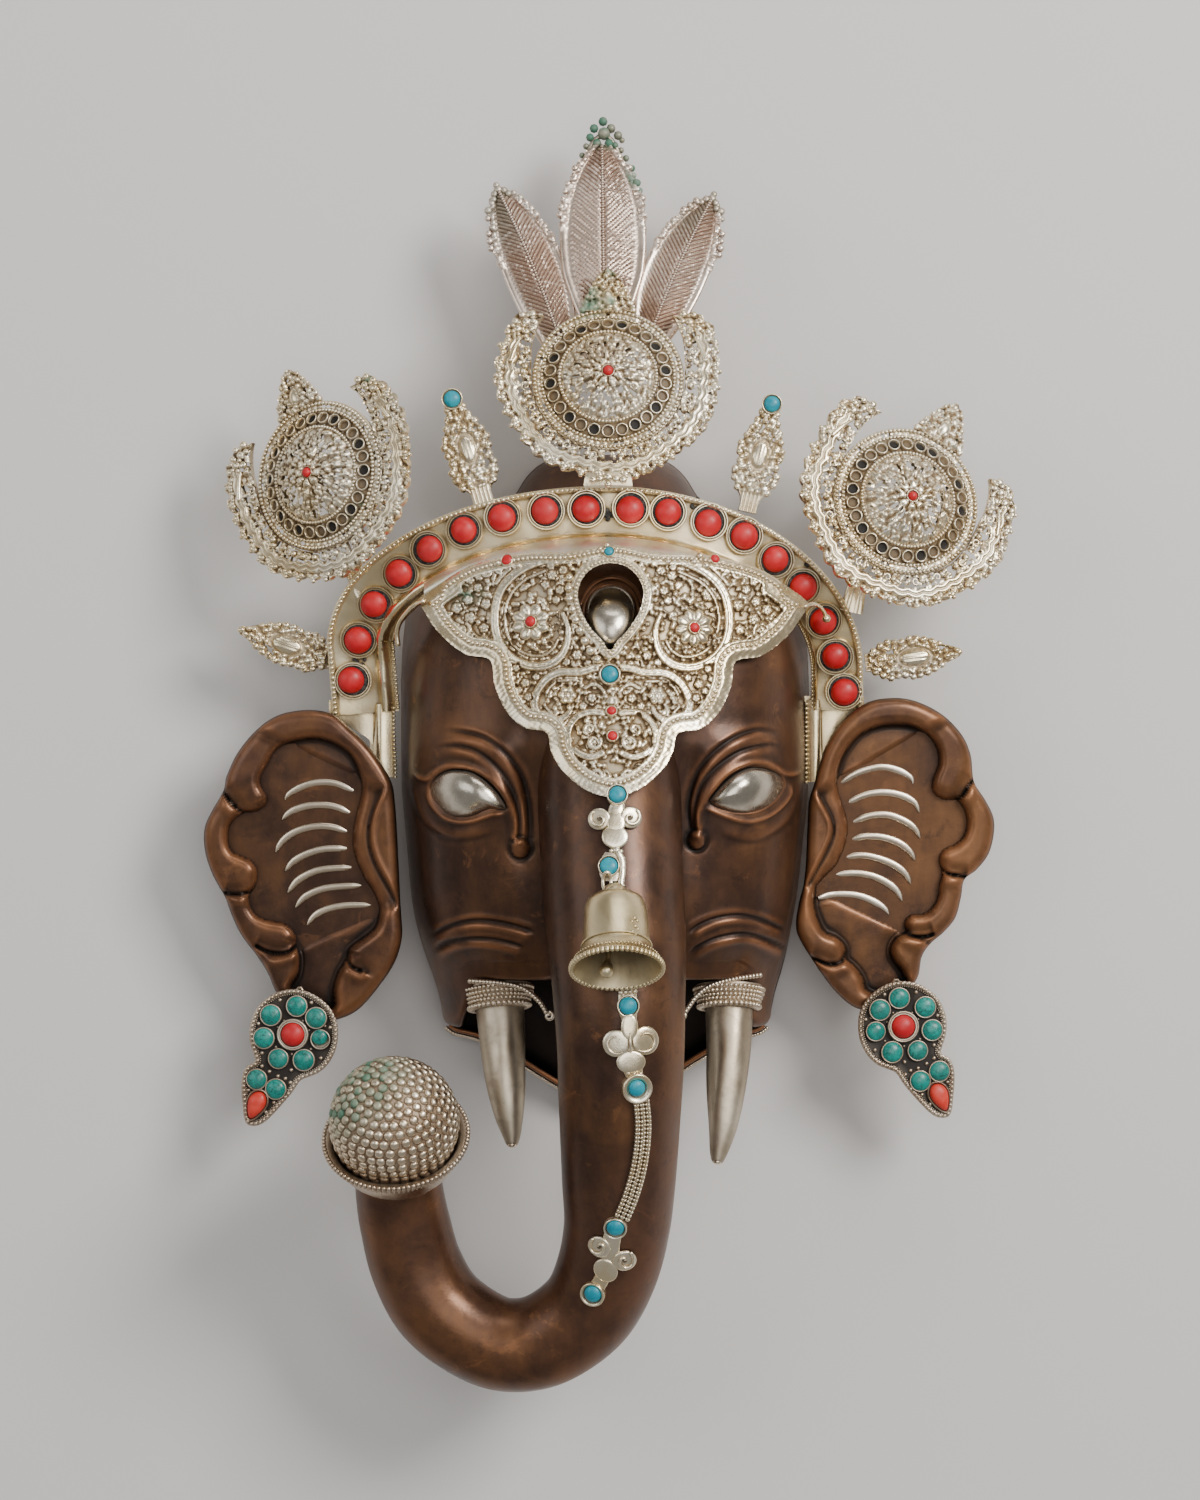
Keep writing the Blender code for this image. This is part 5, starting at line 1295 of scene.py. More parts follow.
# lower jaw: raised copper edge with a beaded wire outside it, and wires under the lips
pc = Piece()
ys = np.concatenate([np.linspace(1030, 1102, 60)])
left = flat(head_c(ys) - head_w(ys), ys, 3.2)
right = flat(head_c(ys) + head_w(ys), ys, 3.2)[::-1]
edge = np.vstack([left, right[1:]])
pc.tube(edge + np.array([0, 0, 0.0125]), 0.0011, 8, mat=0, tint=(0, 0.75, 0))
n_ = 150
run = np.concatenate([[0], np.cumsum(np.linalg.norm(np.diff(edge, axis=0), axis=1))])
s = np.linspace(0, run[-1], n_)
E = np.stack([np.interp(s, run, edge[:, k]) for k in range(3)], 1)
tan = unit(np.gradient(E, axis=0))
outn = np.cross(tan, [0, 0, 1.0])
if outn[n_ // 4, 0] > 0:
    outn = -outn
pc.stamp(BALL, E + outn * 0.0022 + np.array([0, 0, 0.0098]), frames_from(np.tile([0, 0, 1.0], (n_, 1)), tan), 0.00098, 1)
wallg = np.stack([edge + np.array([0, 0, 0.0125]), edge + outn[np.linspace(0, n_ - 1, len(edge)).astype(int)] * 0.0012 + np.array([0, 0, 0.0085]), edge + np.array([0, 0, 0.002])])
pc.grid(wallg, tint=(0.3, 0.2, 0))
# beaded wire along the lip down to a small volute beside the trunk
for side, line in (("left", ((470, 981, 66), (500, 983, 66), (522, 988, 66), (538, 1000, 66), (546, 1012, 66))),
                   ("right", ((760, 975, 64), (735, 979, 64), (712, 985, 64), (697, 996, 64), (686, 1011, 64)))):
    c = curve(line, 26)
    P = at(c[:, 0], c[:, 1], c[:, 2])
    tan = unit(np.gradient(P, axis=0))
    pc.stamp(BALL, P, frames_from(np.tile([0, 0, 1.0], (len(P), 1)), tan), 0.00125, 1)
    e = c[-1]
    sp = spiral(e[0] + (3 if side == "left" else -3), e[1] + 4, 4.5, 1.0, 0, 1.2 if side == "left" else -1.2, 20)
    pc.tube(at(sp[:, 0], sp[:, 1], e[2]), 0.0009, 7, mat=1)
pc.build("jaw_edge", [COPPER, INLAY], (), "patinated_copper")

# ------------------------------------------------------------------ crown band
b_line = [(605.0 - 278 + 6.0 * (1 - i / 8.0), 644 + 72.0 * (1 - i / 8.0)) for i in range(8)]
for i in range(241):
    a_ = math.pi * (1 - i / 240.0)
    b_line.append((605 + 278 * math.cos(a_), 644 - 158 * math.sin(a_)) if i < 120 else (605 + 258 * math.cos(a_), 670 - 184 * math.sin(a_)))
b_line += [(863.0, 670 + 40.0 * i / 8.0) for i in range(1, 9)]
B_EVEN = curve(b_line, 401)
B_H = steps((484, 505, 530, 560, 600, 660, 740), (80, 76.5, 71, 65, 58.5, 52, 46))


def band_edge(s):
    f = np.clip(s, 0, 1) * 400.0
    i = np.minimum(f.astype(int), 399)
    w = (f - i)[..., None]
    p = B_EVEN[i] * (1 - w) + B_EVEN[i + 1] * w
    d = B_EVEN[np.minimum(i + 6, 400)] - B_EVEN[np.maximum(i - 5, 0)]
    g = np.linalg.norm(d, axis=-1)
    return p[..., 0], p[..., 1], -d[..., 1] / g, d[..., 0] / g


def on_band(s, d, h):
    """s along the band (0 to 1), d from the outer edge in sheet units, h in mm."""
    s, d, h = np.broadcast_arrays(np.asarray(s, float), np.asarray(d, float), np.asarray(h, float))
    x, y, nx, ny = band_edge(s)
    room = 21.0 - 15.0 * smooth(0.66, 0.86, s)
    h = np.where((d > 45) & (h > 0), h * (0.55 + 0.45 * room / 21.0), h)
    d = np.where(d > 45, 45.0 + (d - 45.0) * room / 21.0, d)
    return at(x + nx * d, y + ny * d, B_H(y) + h)


B_LEN = float(np.linalg.norm(np.diff(B_EVEN, axis=0), axis=1).sum())
B_PROF = ((0, -2.0), (0, 1.9), (1.0, 2.4), (4.6, 2.4), (5.6, 2.0), (6.6, 1.0), (8.5, 0.8), (26, 0.8), (44, 0.8), (46.5, 1.1), (48.5, 2.5), (50, 3.9),
          (51.6, 4.7), (53.5, 5.0), (55.5, 4.7), (57.5, 4.0), (60, 2.8), (62, 1.9), (63.5, 1.7), (66, 1.8), (66.3, 1.2), (66.3, -1.2))
s_ = np.linspace(0, 1, 420)[:, None]
dd = np.array([p[0] for p in B_PROF])[None]
hh = np.array([p[1] for p in B_PROF])[None]
wave = 0.16 * np.sin(s_ * 61) * np.sin(s_ * 23 + 1) * (dd > 44) * (dd < 61) + 0.10 * np.sin(s_ * 140 + dd)
P = on_band(s_, dd, hh + wave * ((hh > 0.5) & (dd > 7)))
# painted shade in the grooves beside the bead rows, at the foot of the roll and over the coral channel
dark = np.broadcast_to(np.where((dd > 5) & (dd < 7.5), 0.5, np.where((dd > 60) & (dd < 64), 0.25, np.where((dd > 43) & (dd < 47.5), 0.42, np.where((dd > 8) & (dd < 43), 0.20, 0.0)))), P.shape[:2])
pc = Piece()
pc.grid(P, tint=np.stack([dark, 0 * dark, 0 * dark], -1), flip=True)
# underside and ends painted darker as shade
under = on_band(s_[::3], np.array([[0, 33, 66.3]]), np.array([[-2.0, -1.6, -1.2]]))
pc.grid(under, tint=(0.3, 0, 0))
pc.grid(np.stack([P[0], P[0] * 0 + under[0][1]])[:, 0:0 + P.shape[1]], tint=(0.3, 0, 0))
pc.grid(np.stack([P[-1], P[-1] * 0 + under[-1][1]]), tint=(0.3, 0, 0), flip=True)


band = Surf(lambda u, v, h: on_band(np.asarray(u, float) / B_LEN, v, h))
n_ = int(B_LEN / 5.0)
band.put(pc, np.stack([np.linspace(3, B_LEN - 3, n_), np.full(n_, 2.9)], 1), 2.5, 2.3, BALL)
n_ = int(B_LEN / 4.0)
u_ = np.linspace(3, B_LEN - 3, n_)
room_ = 21.0 - 15.0 * smooth(0.66, 0.86, u_ / B_LEN)
band.put(pc, np.stack([u_, np.full(n_, 65.6)], 1), np.where(u_ / B_LEN > 0.7, 1.55, 1.8), 1.9, BEAD, mat=0, tall=1.1)
band.wire(pc, np.stack([np.linspace(2, B_LEN - 2, 120), np.full(120, 62.3)], 1), 0.7, 2.1, sides=5, pitch=4)

# silver feet that run on between the ears and the face
for x0, x1, y0, y1, zt, zb in ((370, 392.5, 704, 777, 50.0, 49.5), (807, 826, 700, 782, 49.0, 48.5)):
    gx, gy = np.meshgrid(np.linspace(x0, x1, 8), np.linspace(y0, y1, 24))
    left_ = x0 < 600
    if left_:
        gx = gx + 2.0 * smooth(720, 780, gy) * (gx - x0) / (x1 - x0)
    t_ = (gx - x0) / (x1 - x0)
    z = zt + (zb - zt) * (gy - y0) / (y1 - y0) + 1.3 * np.sin(math.pi * (t_ if left_ else 1 - t_)) - 6.0 * smooth(0.35, 0.0, t_ if left_ else 1 - t_)
    pc.grid(at(gx, gy, z), flip=True)
    xe = np.full(18, x1 + 1.4 if left_ else x0 - 0.8)
    ye = np.linspace(y0 + 4, y1, 18)
    if left_:
        xe = xe + 1.5 * smooth(720, 780, ye)
    O = at(xe, ye, zt + 0.6)
    pc.stamp(BALL, O, np.tile(np.eye(3), (18, 1, 1)), 1.75 * UNIT)

CORALS = ((351, 680), (358, 640), (374, 604), (399, 573), (430, 549), (464, 530), (502, 518), (545, 511),
          (586, 509), (630, 510), (668, 512), (708, 523), (744, 536), (775, 559), (803, 587), (823, 621),
          (835, 656), (844, 692))
SHIFT = ((2, 0), (1, -1), (2.6, 0), (2.2, 0.3), (-1.2, 0.4), (0.8, 0), (1.0, -1.0), (1.2, 0), (0.5, 0), (0.8, -1.5), (-0.3, 0), (0.6, -1.4),
         (-0.4, -0.9), (0, 0.8), (-1.6, -1.0), (0, -1.2), (0, 0), (0, -1.3))
E_S = np.linspace(0, 1, 301)
EX, EY, ENX, ENY = band_edge(E_S)
DOUBLE = lathe([(1.05, -0.16), (1.03, 0.23), (1.0, 0.285), (0.955, 0.285), (0.93, 0.21), (0.915, 0.13), (0.885, 0.13),
                (0.87, 0.225), (0.835, 0.225), (0.82, 0.02)], 40, close=False)
GAP = lathe([(0.84, 0.07), (0.79, 0.125), (0.73, 0.145), (0.64, 0.12)], 26)
coral_pc = Piece()
putty_pc = Piece()
for k, ((x, y), (ox, oy)) in enumerate(zip(CORALS, SHIFT)):
    w = (x - EX) * ENX + (y - EY) * ENY
    miss = np.hypot(x - EX - ENX * w, y - EY - ENY * w) + np.where((w > 0) & (w < 60), 0, 1000)
    i = int(miss.argmin())
    a, b = max(i - 12, 0), min(i + 12, 300)
    ha, hb = float(B_H(EY[a])), float(B_H(EY[b]))
    dx, dy = (EX[b] - EX[a]) * MM, -(EY[b] - EY[a]) * MM
    run = math.hypot(dx, dy)
    slope = (hb - ha) / run
    h = max(float(B_H(EY[i])), 0.5 * (ha + hb))
    F = frames_from([(-slope * dx / run, -slope * dy / run, 1.0)], [(0, 1, 0)])
    s_r = 0.98 * UNIT
    pc.stamp(DOUBLE, at([x + ox], [y + oy], h + 0.7), F, 19.0 * s_r, tint=(0.04, 0, 0))
    putty_pc.stamp(GAP, at([x + ox * 0.9], [y + oy * 0.9], h + 0.9), turn_frames(F, k * 0.7), 19.0 * s_r)
    r = 13.7 + 0.35 * math.sin(k * 2.3)
    coral_pc.stamp(CABOCHON, at([x], [y], h + 1.35), turn_frames(F, k), np.array([[r * s_r, r * s_r * (1.0 + 0.02 * math.sin(k)), 0.0051]]),
                   tint=(0.10 if k in (4, 7) else 0.0, 0, 0))
# lumps of putty squeezed out between the settings
lump = np.random.default_rng(3)
for cx, cy, spread, count in ((608, 514, 5, 16), (360, 660, 6, 14), (693, 505, 6, 8), (416, 548, 4, 6), (808, 566, 3, 5), (396, 618, 2.4, 6)):
    for _ in range(count):
        x, y = cx + lump.normal(0, spread * 0.55), cy + lump.normal(0, spread * 0.7)
        w = (x - EX) * ENX + (y - EY) * ENY
        i = int(np.abs(np.hypot(x - EX - ENX * w, y - EY - ENY * w)).argmin())
        putty_pc.stamp(GRAIN, at([x], [y], float(B_H(EY[i])) + 1.2), np.eye(3)[None], lump.uniform(1.6, 3.0) * UNIT)
pc.build("crown_band_relief", [BAND_SILVER], "crown_band", "silvered_copper", angle=50)
putty_pc.build("crown_band_putty", [PUTTY], (), "silvered_copper")
coral_pc.build("band_corals", [CORAL], ["coral_%02d" % i for i in range(1, 19)], "coral")

# ------------------------------------------------------------------ forehead plate
HALF = ((0, 797), (28, 789), (51, 770), (62, 751), (67, 733), (90, 728), (108, 712), (120, 686), (125, 661),
        (151, 655), (176, 636), (192, 614), (197, 602), (180, 588), (150, 569), (118, 559), (84, 553), (45, 552), (0, 545))
PLATE = [(611 + dx, y + 0.004 * dx) for dx, y in HALF] + [(611 - dx * 0.97, y - 0.008 * dx) for dx, y in reversed(HALF[1:-1])]
# keep the notches between the lobes crisp
PLATE_C = curve(PLATE, 330, True)
WINDOW = curve(((611, 563), (627, 567), (639, 579), (643.5, 594), (639, 612), (629, 628), (618, 640), (610, 650), (602, 640), (591, 628),
                (582, 612), (578, 594), (583, 578), (595, 567)), 110, True)
P_MID = steps((545, 600, 650, 690, 740, 800), (97.5, 107, 111, 115, 124.5, 132.5))


def plate_z(x, y):
    dx = (x - 612.0) * MM
    return P_MID(y) - 0.0040 * dx * dx


plate = Surf(lambda u, v, h: at(u, v, plate_z(u, v) + h))


def scatter(x, y, pitch, seed, jitter=0.30):
    """Scattered cells: distance to the nearest centre and that cell's random number."""
    r = np.random.default_rng(seed)
    jx, jy, rnd = r.uniform(-jitter, jitter, (128, 128)), r.uniform(-jitter, jitter, (128, 128)), r.random((128, 128))
    rowh = pitch * 0.88
    j0 = np.floor(y / rowh).astype(int)
    best = np.full(x.shape, 1e9)
    val = np.zeros(x.shape)
    for dj in (-1, 0, 1):
        j = j0 + dj
        off = 0.5 * (j & 1)
        i0 = np.floor(x / pitch - off).astype(int)
        for di in (-1, 0, 1):
            i = i0 + di
            a, b = i % 128, j % 128
            d = np.hypot(x - (i + 0.5 + off + jx[a, b]) * pitch, y - (j + 0.5 + jy[a, b]) * rowh)
            m = d < best
            best = np.where(m, d, best)
            val = np.where(m, rnd[a, b], val)
    return best, val


class Field:
    """Relief drawn on a grid of sheet points: height in mm and painted shade."""

    def __init__(self, x, y, base=0.0):
        self.x, self.y = x, y
        self.h = np.full(x.shape, float(base))
        self.d = np.zeros(x.shape)

    def box(self, x0, x1, y0, y1):
        return (self.x > x0) & (self.x < x1) & (self.y > y0) & (self.y < y1)

    def band(self, line, half, top, gap=1.5, hollow=0.3, painted_shade=0.7, n=None, ends=0.0):
        p = curve(line, n or max(8, 4 * len(line)))
        e = half + gap + 1
        m = self.box(p[:, 0].min() - e, p[:, 0].max() + e, p[:, 1].min() - e, p[:, 1].max() + e)
        if not m.any():
            return
        d, _, t = line_field(self.x[m], self.y[m], p)
        w = half * (1 - ends * smooth(0.75, 1.0, t))
        k = d / np.maximum(w, 0.2)
        prof = top * np.sqrt(np.maximum(1 - np.clip((k - 0.45) / 0.55, 0, 1) ** 2, 0)) - hollow * (1 - np.clip(k / 0.6, 0, 1) ** 2)
        h, s = self.h[m], self.d[m]
        out = smooth(0, gap, d - w)
        # painted shade in the gap round the band
        s = np.where(k < 1, 0.0, np.maximum(s * out, painted_shade * (1 - out)))
        h = np.where(k < 1, np.maximum(prof, np.minimum(h, 0)), h * out - 0.9 * (1 - out))
        self.h[m], self.d[m] = h, s

    def ball(self, cx, cy, r, top, gap=1.1, painted_shade=0.6, squash=1.0, ang=0.0, dip=0.0):
        e = (r * max(squash, 1.0) + gap) + 1
        m = self.box(cx - e, cx + e, cy - e, cy + e)
        if not m.any():
            return
        dx, dy = self.x[m] - cx, self.y[m] - cy
        u = dx * math.cos(ang) + dy * math.sin(ang)
        v = (-dx * math.sin(ang) + dy * math.cos(ang)) / squash
        d = np.hypot(u, v)
        h, s = self.h[m], self.d[m]
        out = smooth(0, gap, d - r)
        k = np.clip(d / r, 0, 1)
        prof = top * np.sqrt(np.maximum(1 - k ** 2.6, 0)) - dip * np.exp(-(k / 0.35) ** 2)
        # painted shade in the gap round the ball
        s = np.where(d < r, 0.0, np.maximum(s * out, painted_shade * (1 - out)))
        h = np.where(d < r, prof, h * out - 0.7 * (1 - out))
        self.h[m], self.d[m] = h, s

    def hole(self, cx, cy, rx, ry=None, ang=0.0):
        ry = ry or rx
        e = max(rx, ry) * 1.8 + 2
        m = self.box(cx - e, cx + e, cy - e, cy + e)
        if not m.any():
            return
        dx, dy = self.x[m] - cx, self.y[m] - cy
        u = dx * math.cos(ang) + dy * math.sin(ang)
        v = -dx * math.sin(ang) + dy * math.cos(ang)
        d = np.hypot(u / rx, v / ry) + 0.12 * np.sin(3 * np.arctan2(v, u) + cx)
        # hole sunk, and painted dark as shade
        f = smooth(1.25, 0.85, d)
        self.h[m] = self.h[m] * (1 - f) - 2.4 * f
        self.d[m] = np.maximum(self.d[m], f)

    def flower(self, cx, cy, r, n, top, core=0.32, turn=0.0):
        e = r + 2
        m = self.box(cx - e, cx + e, cy - e, cy + e)
        dx, dy = self.x[m] - cx, self.y[m] - cy
        d = np.hypot(dx, dy)
        a = np.arctan2(dx, -dy) + turn
        w = np.abs(np.sin(n * a / 2.0))
        edge = r * (0.80 + 0.20 * w)
        petal = w ** 0.5 * np.clip((d / r - core * 0.6) / 0.3, 0, 1)
        h = top * np.sqrt(np.maximum(1 - (np.clip((d / edge - 0.60) / 0.40, 0, 1)) ** 2, 0)) * (0.30 + 0.70 * petal)
        h = np.where(d < core * r, top * 0.9, h) - 0.5 * np.exp(-((d - core * r) / 0.9) ** 2)
        # painted shade between the petals and round the flower
        s = 0.75 * (1 - np.clip(petal * 1.7, 0, 1)) * (d > core * r)
        self.h[m] = np.where(d < edge, h, np.where(d < edge + 1.5, -0.8, self.h[m]))
        self.d[m] = np.where(d < edge, s, np.where(d < edge + 1.5, 0.8, self.d[m]))

    def curl(self, cx, cy, r, a0, turns, half=2.0, top=1.3):
        self.band(spiral(cx, cy, r, 1.2, a0, turns, 16), half, top, gap=1.1, hollow=0.0, n=26, ends=0.3)
        self.ball(cx, cy, half * 1.15, top * 1.15, gap=0.5, painted_shade=0.2)


step_ = 1.12
gx, gy = np.meshgrid(np.arange(413, 811, step_), np.arange(541, 800, step_))
dP, _ = edge_field(gx, gy, PLATE_C)
dW, _ = edge_field(gx, gy, WINDOW)
f1, rv = scatter(gx, gy, 5.6, 11)
f2, rv2 = scatter(gx + 3, gy - 5, 4.2, 23)
F = Field(gx, gy)
# ground: fine openwork of granules, with painted shade in the gaps
g1 = 1.15 * np.sqrt(np.maximum(1 - (f1 / 2.75) ** 2, 0)) * (0.75 + 0.5 * rv)
gap_ = smooth(2.2, 3.1, f1)
F.h = g1 - 0.9 * gap_
F.d = 0.75 * gap_
# see-through holes, painted near black as shade
holes = (rv > 0.76) & (dP < -13)
F.h = np.where(holes, -2.2, F.h)
F.d = np.where(holes, 1.0, F.d)


def mir(pts, sgn):
    """The left half as drawn, or mirrored across the middle line."""
    return [(x, y) if sgn < 0 else (1224.0 - x, y + 0.012 * (612 - x)) for x, y in pts]


for sgn in (-1, 1):
    M = lambda *p: mir(p, sgn)
    q = lambda x, y: mir([(x, y)], sgn)[0]
    # edge scroll that follows the beaded border of each wing
    F.band(M((497, 583), (505, 573), (519, 565), (538, 560), (560, 556), (585, 557)), 2.4, 1.5, n=30)
    F.band(M((436, 606), (452, 622), (470, 632), (484, 645)), 2.0, 1.3)
    for (x, y, r) in ((446, 596, 5), (457, 608, 5.5), (470, 618, 6), (452, 590, 4.5), (468, 600, 5), (484, 628, 5), (478, 588, 4.5), (486, 604, 5.5), (470, 580, 4.5), (490, 642, 4)):
        F.flower(*q(x, y), r, 5, 1.35, turn=x * 0.3)
    for (x, y, r, a, t) in ((463, 630, 7.5, 0.5, 1.3), (438, 602, 5, 2.0, 1.2), (500, 567, 6, 3.0, 1.3), (520, 569, 5.5, 0.2, 1.2), (486, 572, 5, 1.0, 1.2)):
        X, Y = q(x, y)
        F.curl(X, Y, r, a if sgn < 0 else -a, t if sgn < 0 else -t)
    # ground between band and window
    for (x, y, r) in ((552, 575, 5), (545, 585, 4.5), (560, 590, 4.5), (563, 570, 4.5), (556, 600, 4), (551, 566, 4), (562, 615, 3.6), (577, 655, 5), (566, 662, 4), (588, 664, 4)):
        F.flower(*q(x, y), r, 6, 1.3, turn=y * 0.2)
    # the great C with its inner rail
    F.band(M((566, 556), (543, 560), (520, 570), (503, 586), (495.5, 606), (495, 628), (501, 646), (513, 659), (530, 666), (547, 665), (560, 657), (567, 644), (568, 628), (563, 614)), 4.4, 1.95, gap=1.8, n=56, hollow=0.5, ends=0.5)
    F.band(M((545, 571), (525, 580), (512, 593), (505.5, 610), (506, 628), (512, 643), (524, 653), (540, 656), (552, 650), (558, 640)), 1.3, 1.2, n=40, hollow=0.0)
    # flower with its petals
    X, Y = q(530.5, 622) if sgn < 0 else (694.5, 627.7)
    F.flower(X, Y, 19.5, 8 if sgn < 0 else 9, 1.75, core=0.26)
    for k in range(8):
        a = 2 * math.pi * (k + 0.5) / 8
        F.ball(X + 21.5 * math.sin(a), Y - 21.5 * math.cos(a), 2.3, 1.2)
    # second scroll from the middle stone outwards
    F.band(M((606, 668), (594, 668), (580, 672), (562, 672), (549, 677), (539, 688), (534, 702), (538, 714), (548, 720), (561, 719), (570, 711), (572, 701)), 4.0, 1.9, n=46, hollow=0.45, ends=0.5)
    F.band(M((578, 681), (562, 681), (551, 686), (545, 697), (545, 706), (551, 712)), 1.2, 1.15, n=24, hollow=0)
    X, Y = q(567, 695)
    F.flower(X, Y, 9.5, 6, 1.7, core=0.3)
    for k in range(7):
        a = 2 * math.pi * k / 7 + 0.3
        F.ball(X + 12.2 * math.sin(a), Y - 12.2 * math.cos(a), 2.5, 1.25)
    F.band(M((585, 688), (594, 684), (603, 690), (606, 700)), 1.8, 1.3, n=16)
    for (x, y, r) in ((592, 698, 4.5), (583, 706, 4), (598, 708, 3.6), (525, 683, 4.5), (516, 668, 4), (528, 697, 4), (519, 690, 3.5), (536, 677, 3.6), (548, 728, 4), (559, 730, 3.4), (513, 678, 3)):
        F.flower(*q(x, y), r, 5, 1.3, turn=x * 0.1)
    # loops round the red dots
    F.band(M((603, 713), (590, 712), (577, 717), (569, 728), (569, 741), (577, 752), (590, 757), (602, 753)), 3.2, 1.75, n=34, hollow=0.35)
    X, Y = q(594, 742)
    F.curl(X, Y, 7.0, (1.2 if sgn < 0 else -1.2), (1.4 if sgn < 0 else -1.4), half=2.3, top=1.6)
    X, Y = q(589, 729)
    F.curl(X, Y, 5.5, (3.6 if sgn < 0 else -3.6), (1.3 if sgn < 0 else -1.3), half=1.9, top=1.4)
    X, Y = q(597, 776)
    F.curl(X, Y, 6.6, (4.4 if sgn < 0 else -4.4), (1.4 if sgn < 0 else -1.4), half=2.3, top=1.6)
    F.band(M((585, 764), (590, 771), (592, 782), (602, 788)), 1.5, 1.2, n=14)
    # bud near the upper edge
    X, Y = q(507, 560) if sgn < 0 else (715, 559)
    F.ball(X, Y, 6.4, 1.9)
    for k in range(6):
        a = 2 * math.pi * k / 6 + 0.5
        F.ball(X + 8.5 * math.sin(a) + (3 if sgn < 0 else -3), Y - 6.5 * math.cos(a) + 1, 3.0, 1.7)
    for (x, y, rx, ry, a) in ((538, 588, 5.5, 3.6, 0.3), (553, 607.5, 5, 3.2, 0.6), (506, 672, 2.6, 5.6, -0.4), (543, 699, 2.4, 5.2, 0.1), (557, 627, 3, 3, 0),
                              (514, 642, 2.6, 2.6, 0), (524, 598, 3, 2.4, 0), (508, 616, 2, 3.4, 0), (524, 706, 2.2, 2.6, 0), (558, 684, 2.6, 1.8, 0), (581, 722, 2.2, 3.4, 0.4),
                              (586, 768, 4.2, 2.2, 0.3), (573, 744, 1.6, 2.8, 0), (588, 651, 2.4, 3, 0.4), (479, 612, 2.2, 1.8, 0), (462, 596, 2, 2, 0), (493, 590, 2, 2.6, 0), (474, 638, 2.6, 1.8, 0.4), (550, 644, 2, 2, 0)):
        X, Y = q(x, y)
        F.hole(X, Y, rx, ry, a if sgn < 0 else -a)
F.hole(614.6, 727, 8.0, 3.2)
F.hole(614.6, 767.5, 8.2, 5.0)
F.hole(638.5, 719, 3.4, 5.4, 0.2)
F.ball(613, 701, 6.5, 1.7, dip=0.5)
for k in range(7):
    a = 2 * math.pi * k / 7
    F.ball(613 + 9.5 * math.sin(a), 701 - 7.5 * math.cos(a), 2.4, 1.3)
F.ball(611.5, 711, 6.4, 1.9)
F.ball(612.5, 736, 6.6, 1.9)
F.ball(609.8, 674.5, 11.5, 2.2)
F.ball(609, 551.5, 8.0, 1.8)
F.ball(616, 795, 10.5, 2.0)
F.ball(613, 782, 4.4, 1.6)
# border: flange, bead seat and inner rail
lower = smooth(598, 608, gy + 0.10 * np.abs(gx - 611))
wide = 3.0 + 7.0 * lower
flange = dP > -(wide + 5.5)
hb = np.where(dP > -wide, 0.15 + 1.1 * smooth(0.0, wide, -dP), 1.05)
rail = (dP <= -(wide + 5.5)) & (dP > -(wide + 9.5))
F.h = np.where(flange, hb, F.h)
# painted shade in the lines beside the flange
F.d = np.where(flange, 0.05 + 0.55 * ((dP < -wide) & (dP > -wide - 1)) + 0.55 * (dP < -(wide + 4.6)), F.d)
rr = np.abs(-dP - (wide + 7.5)) / 2.0
F.h = np.where(rail, 0.4 + 1.0 * np.sqrt(np.maximum(1 - rr ** 2, 0)), F.h)
F.d = np.where(rail, 0.0, F.d)
# rim of the window
m = (dW > -2) & (dW < 9)
F.h = np.where(m, np.where(dW < 5.2, 1.5, 1.1 * np.sqrt(np.maximum(1 - ((dW - 7.0) / 1.9) ** 2, 0)) + 0.4), F.h)
# painted shade in the groove round the window
F.d = np.where(m, np.where((dW > 4.4) & (dW < 5.8), 0.6, 0.0), F.d)
F.h = F.h + 0.10 * np.sin(gx * 0.9 + 2 * np.sin(gy * 0.3)) * np.sin(gy * 0.8 + gx * 0.13)

# snap the grid to the outline and the window
gxs, gys = gx.copy(), gy.copy()
for fld, sign in ((dP, 1.0), (dW, -1.0)):
    ddy, ddx = np.gradient(fld, step_)
    nn = np.maximum(np.hypot(ddx, ddy), 0.3)
    sel = (fld * sign > -0.55) & (fld * sign < 1.3)
    gxs = np.where(sel, gx - ddx / nn * fld, gxs)
    gys = np.where(sel, gy - ddy / nn * fld, gys)
ok = (dP < 0.55) & (dW > -0.55)
cell = ok[:-1, :-1] & ok[1:, :-1] & ok[:-1, 1:] & ok[1:, 1:]
P = at(gxs, gys, plate_z(gxs, gys) + F.h)
green = 0.75 * np.exp(-((gx - 468) / 16) ** 2 - ((gy - 595) / 8) ** 2) * (rv > 0.45) + 0.6 * np.exp(-((gx - 500) / 6) ** 2 - ((gy - 640) / 8) ** 2) * (rv > 0.5)
# the dark channel carries the painted shade of the relief
tint = np.stack([F.d * 0.9, 0 * F.d, green], -1)
pc = Piece()
pc.grid(P, tint=tint, keep=cell, flip=True)
for line, ts, fl in ((PLATE_C, 0.15, False), (WINDOW, 1.5, True)):
    z = plate_z(line[:, 0], line[:, 1])
    ring = np.stack([at(line[:, 0], line[:, 1], z + ts), at(line[:, 0], line[:, 1], z - 1.7)])
    pc.grid(ring, wrap=True, flip=fl, tint=(0.1, 0, 0))
# underside, painted darker as shade
keep2 = cell[::4, ::4][:P[::4, ::4].shape[0] - 1, :P[::4, ::4].shape[1] - 1]
inner4 = (dP[::4, ::4] < -0.5) & (dW[::4, ::4] > 0.5)
keep2 = inner4[:-1, :-1] & inner4[1:, :-1] & inner4[:-1, 1:] & inner4[1:, 1:]
pc.grid(at(gx[::4, ::4], gy[::4, ::4], plate_z(gx[::4, ::4], gy[::4, ::4]) - 1.7), keep=keep2, tint=(0.4, 0, 0))

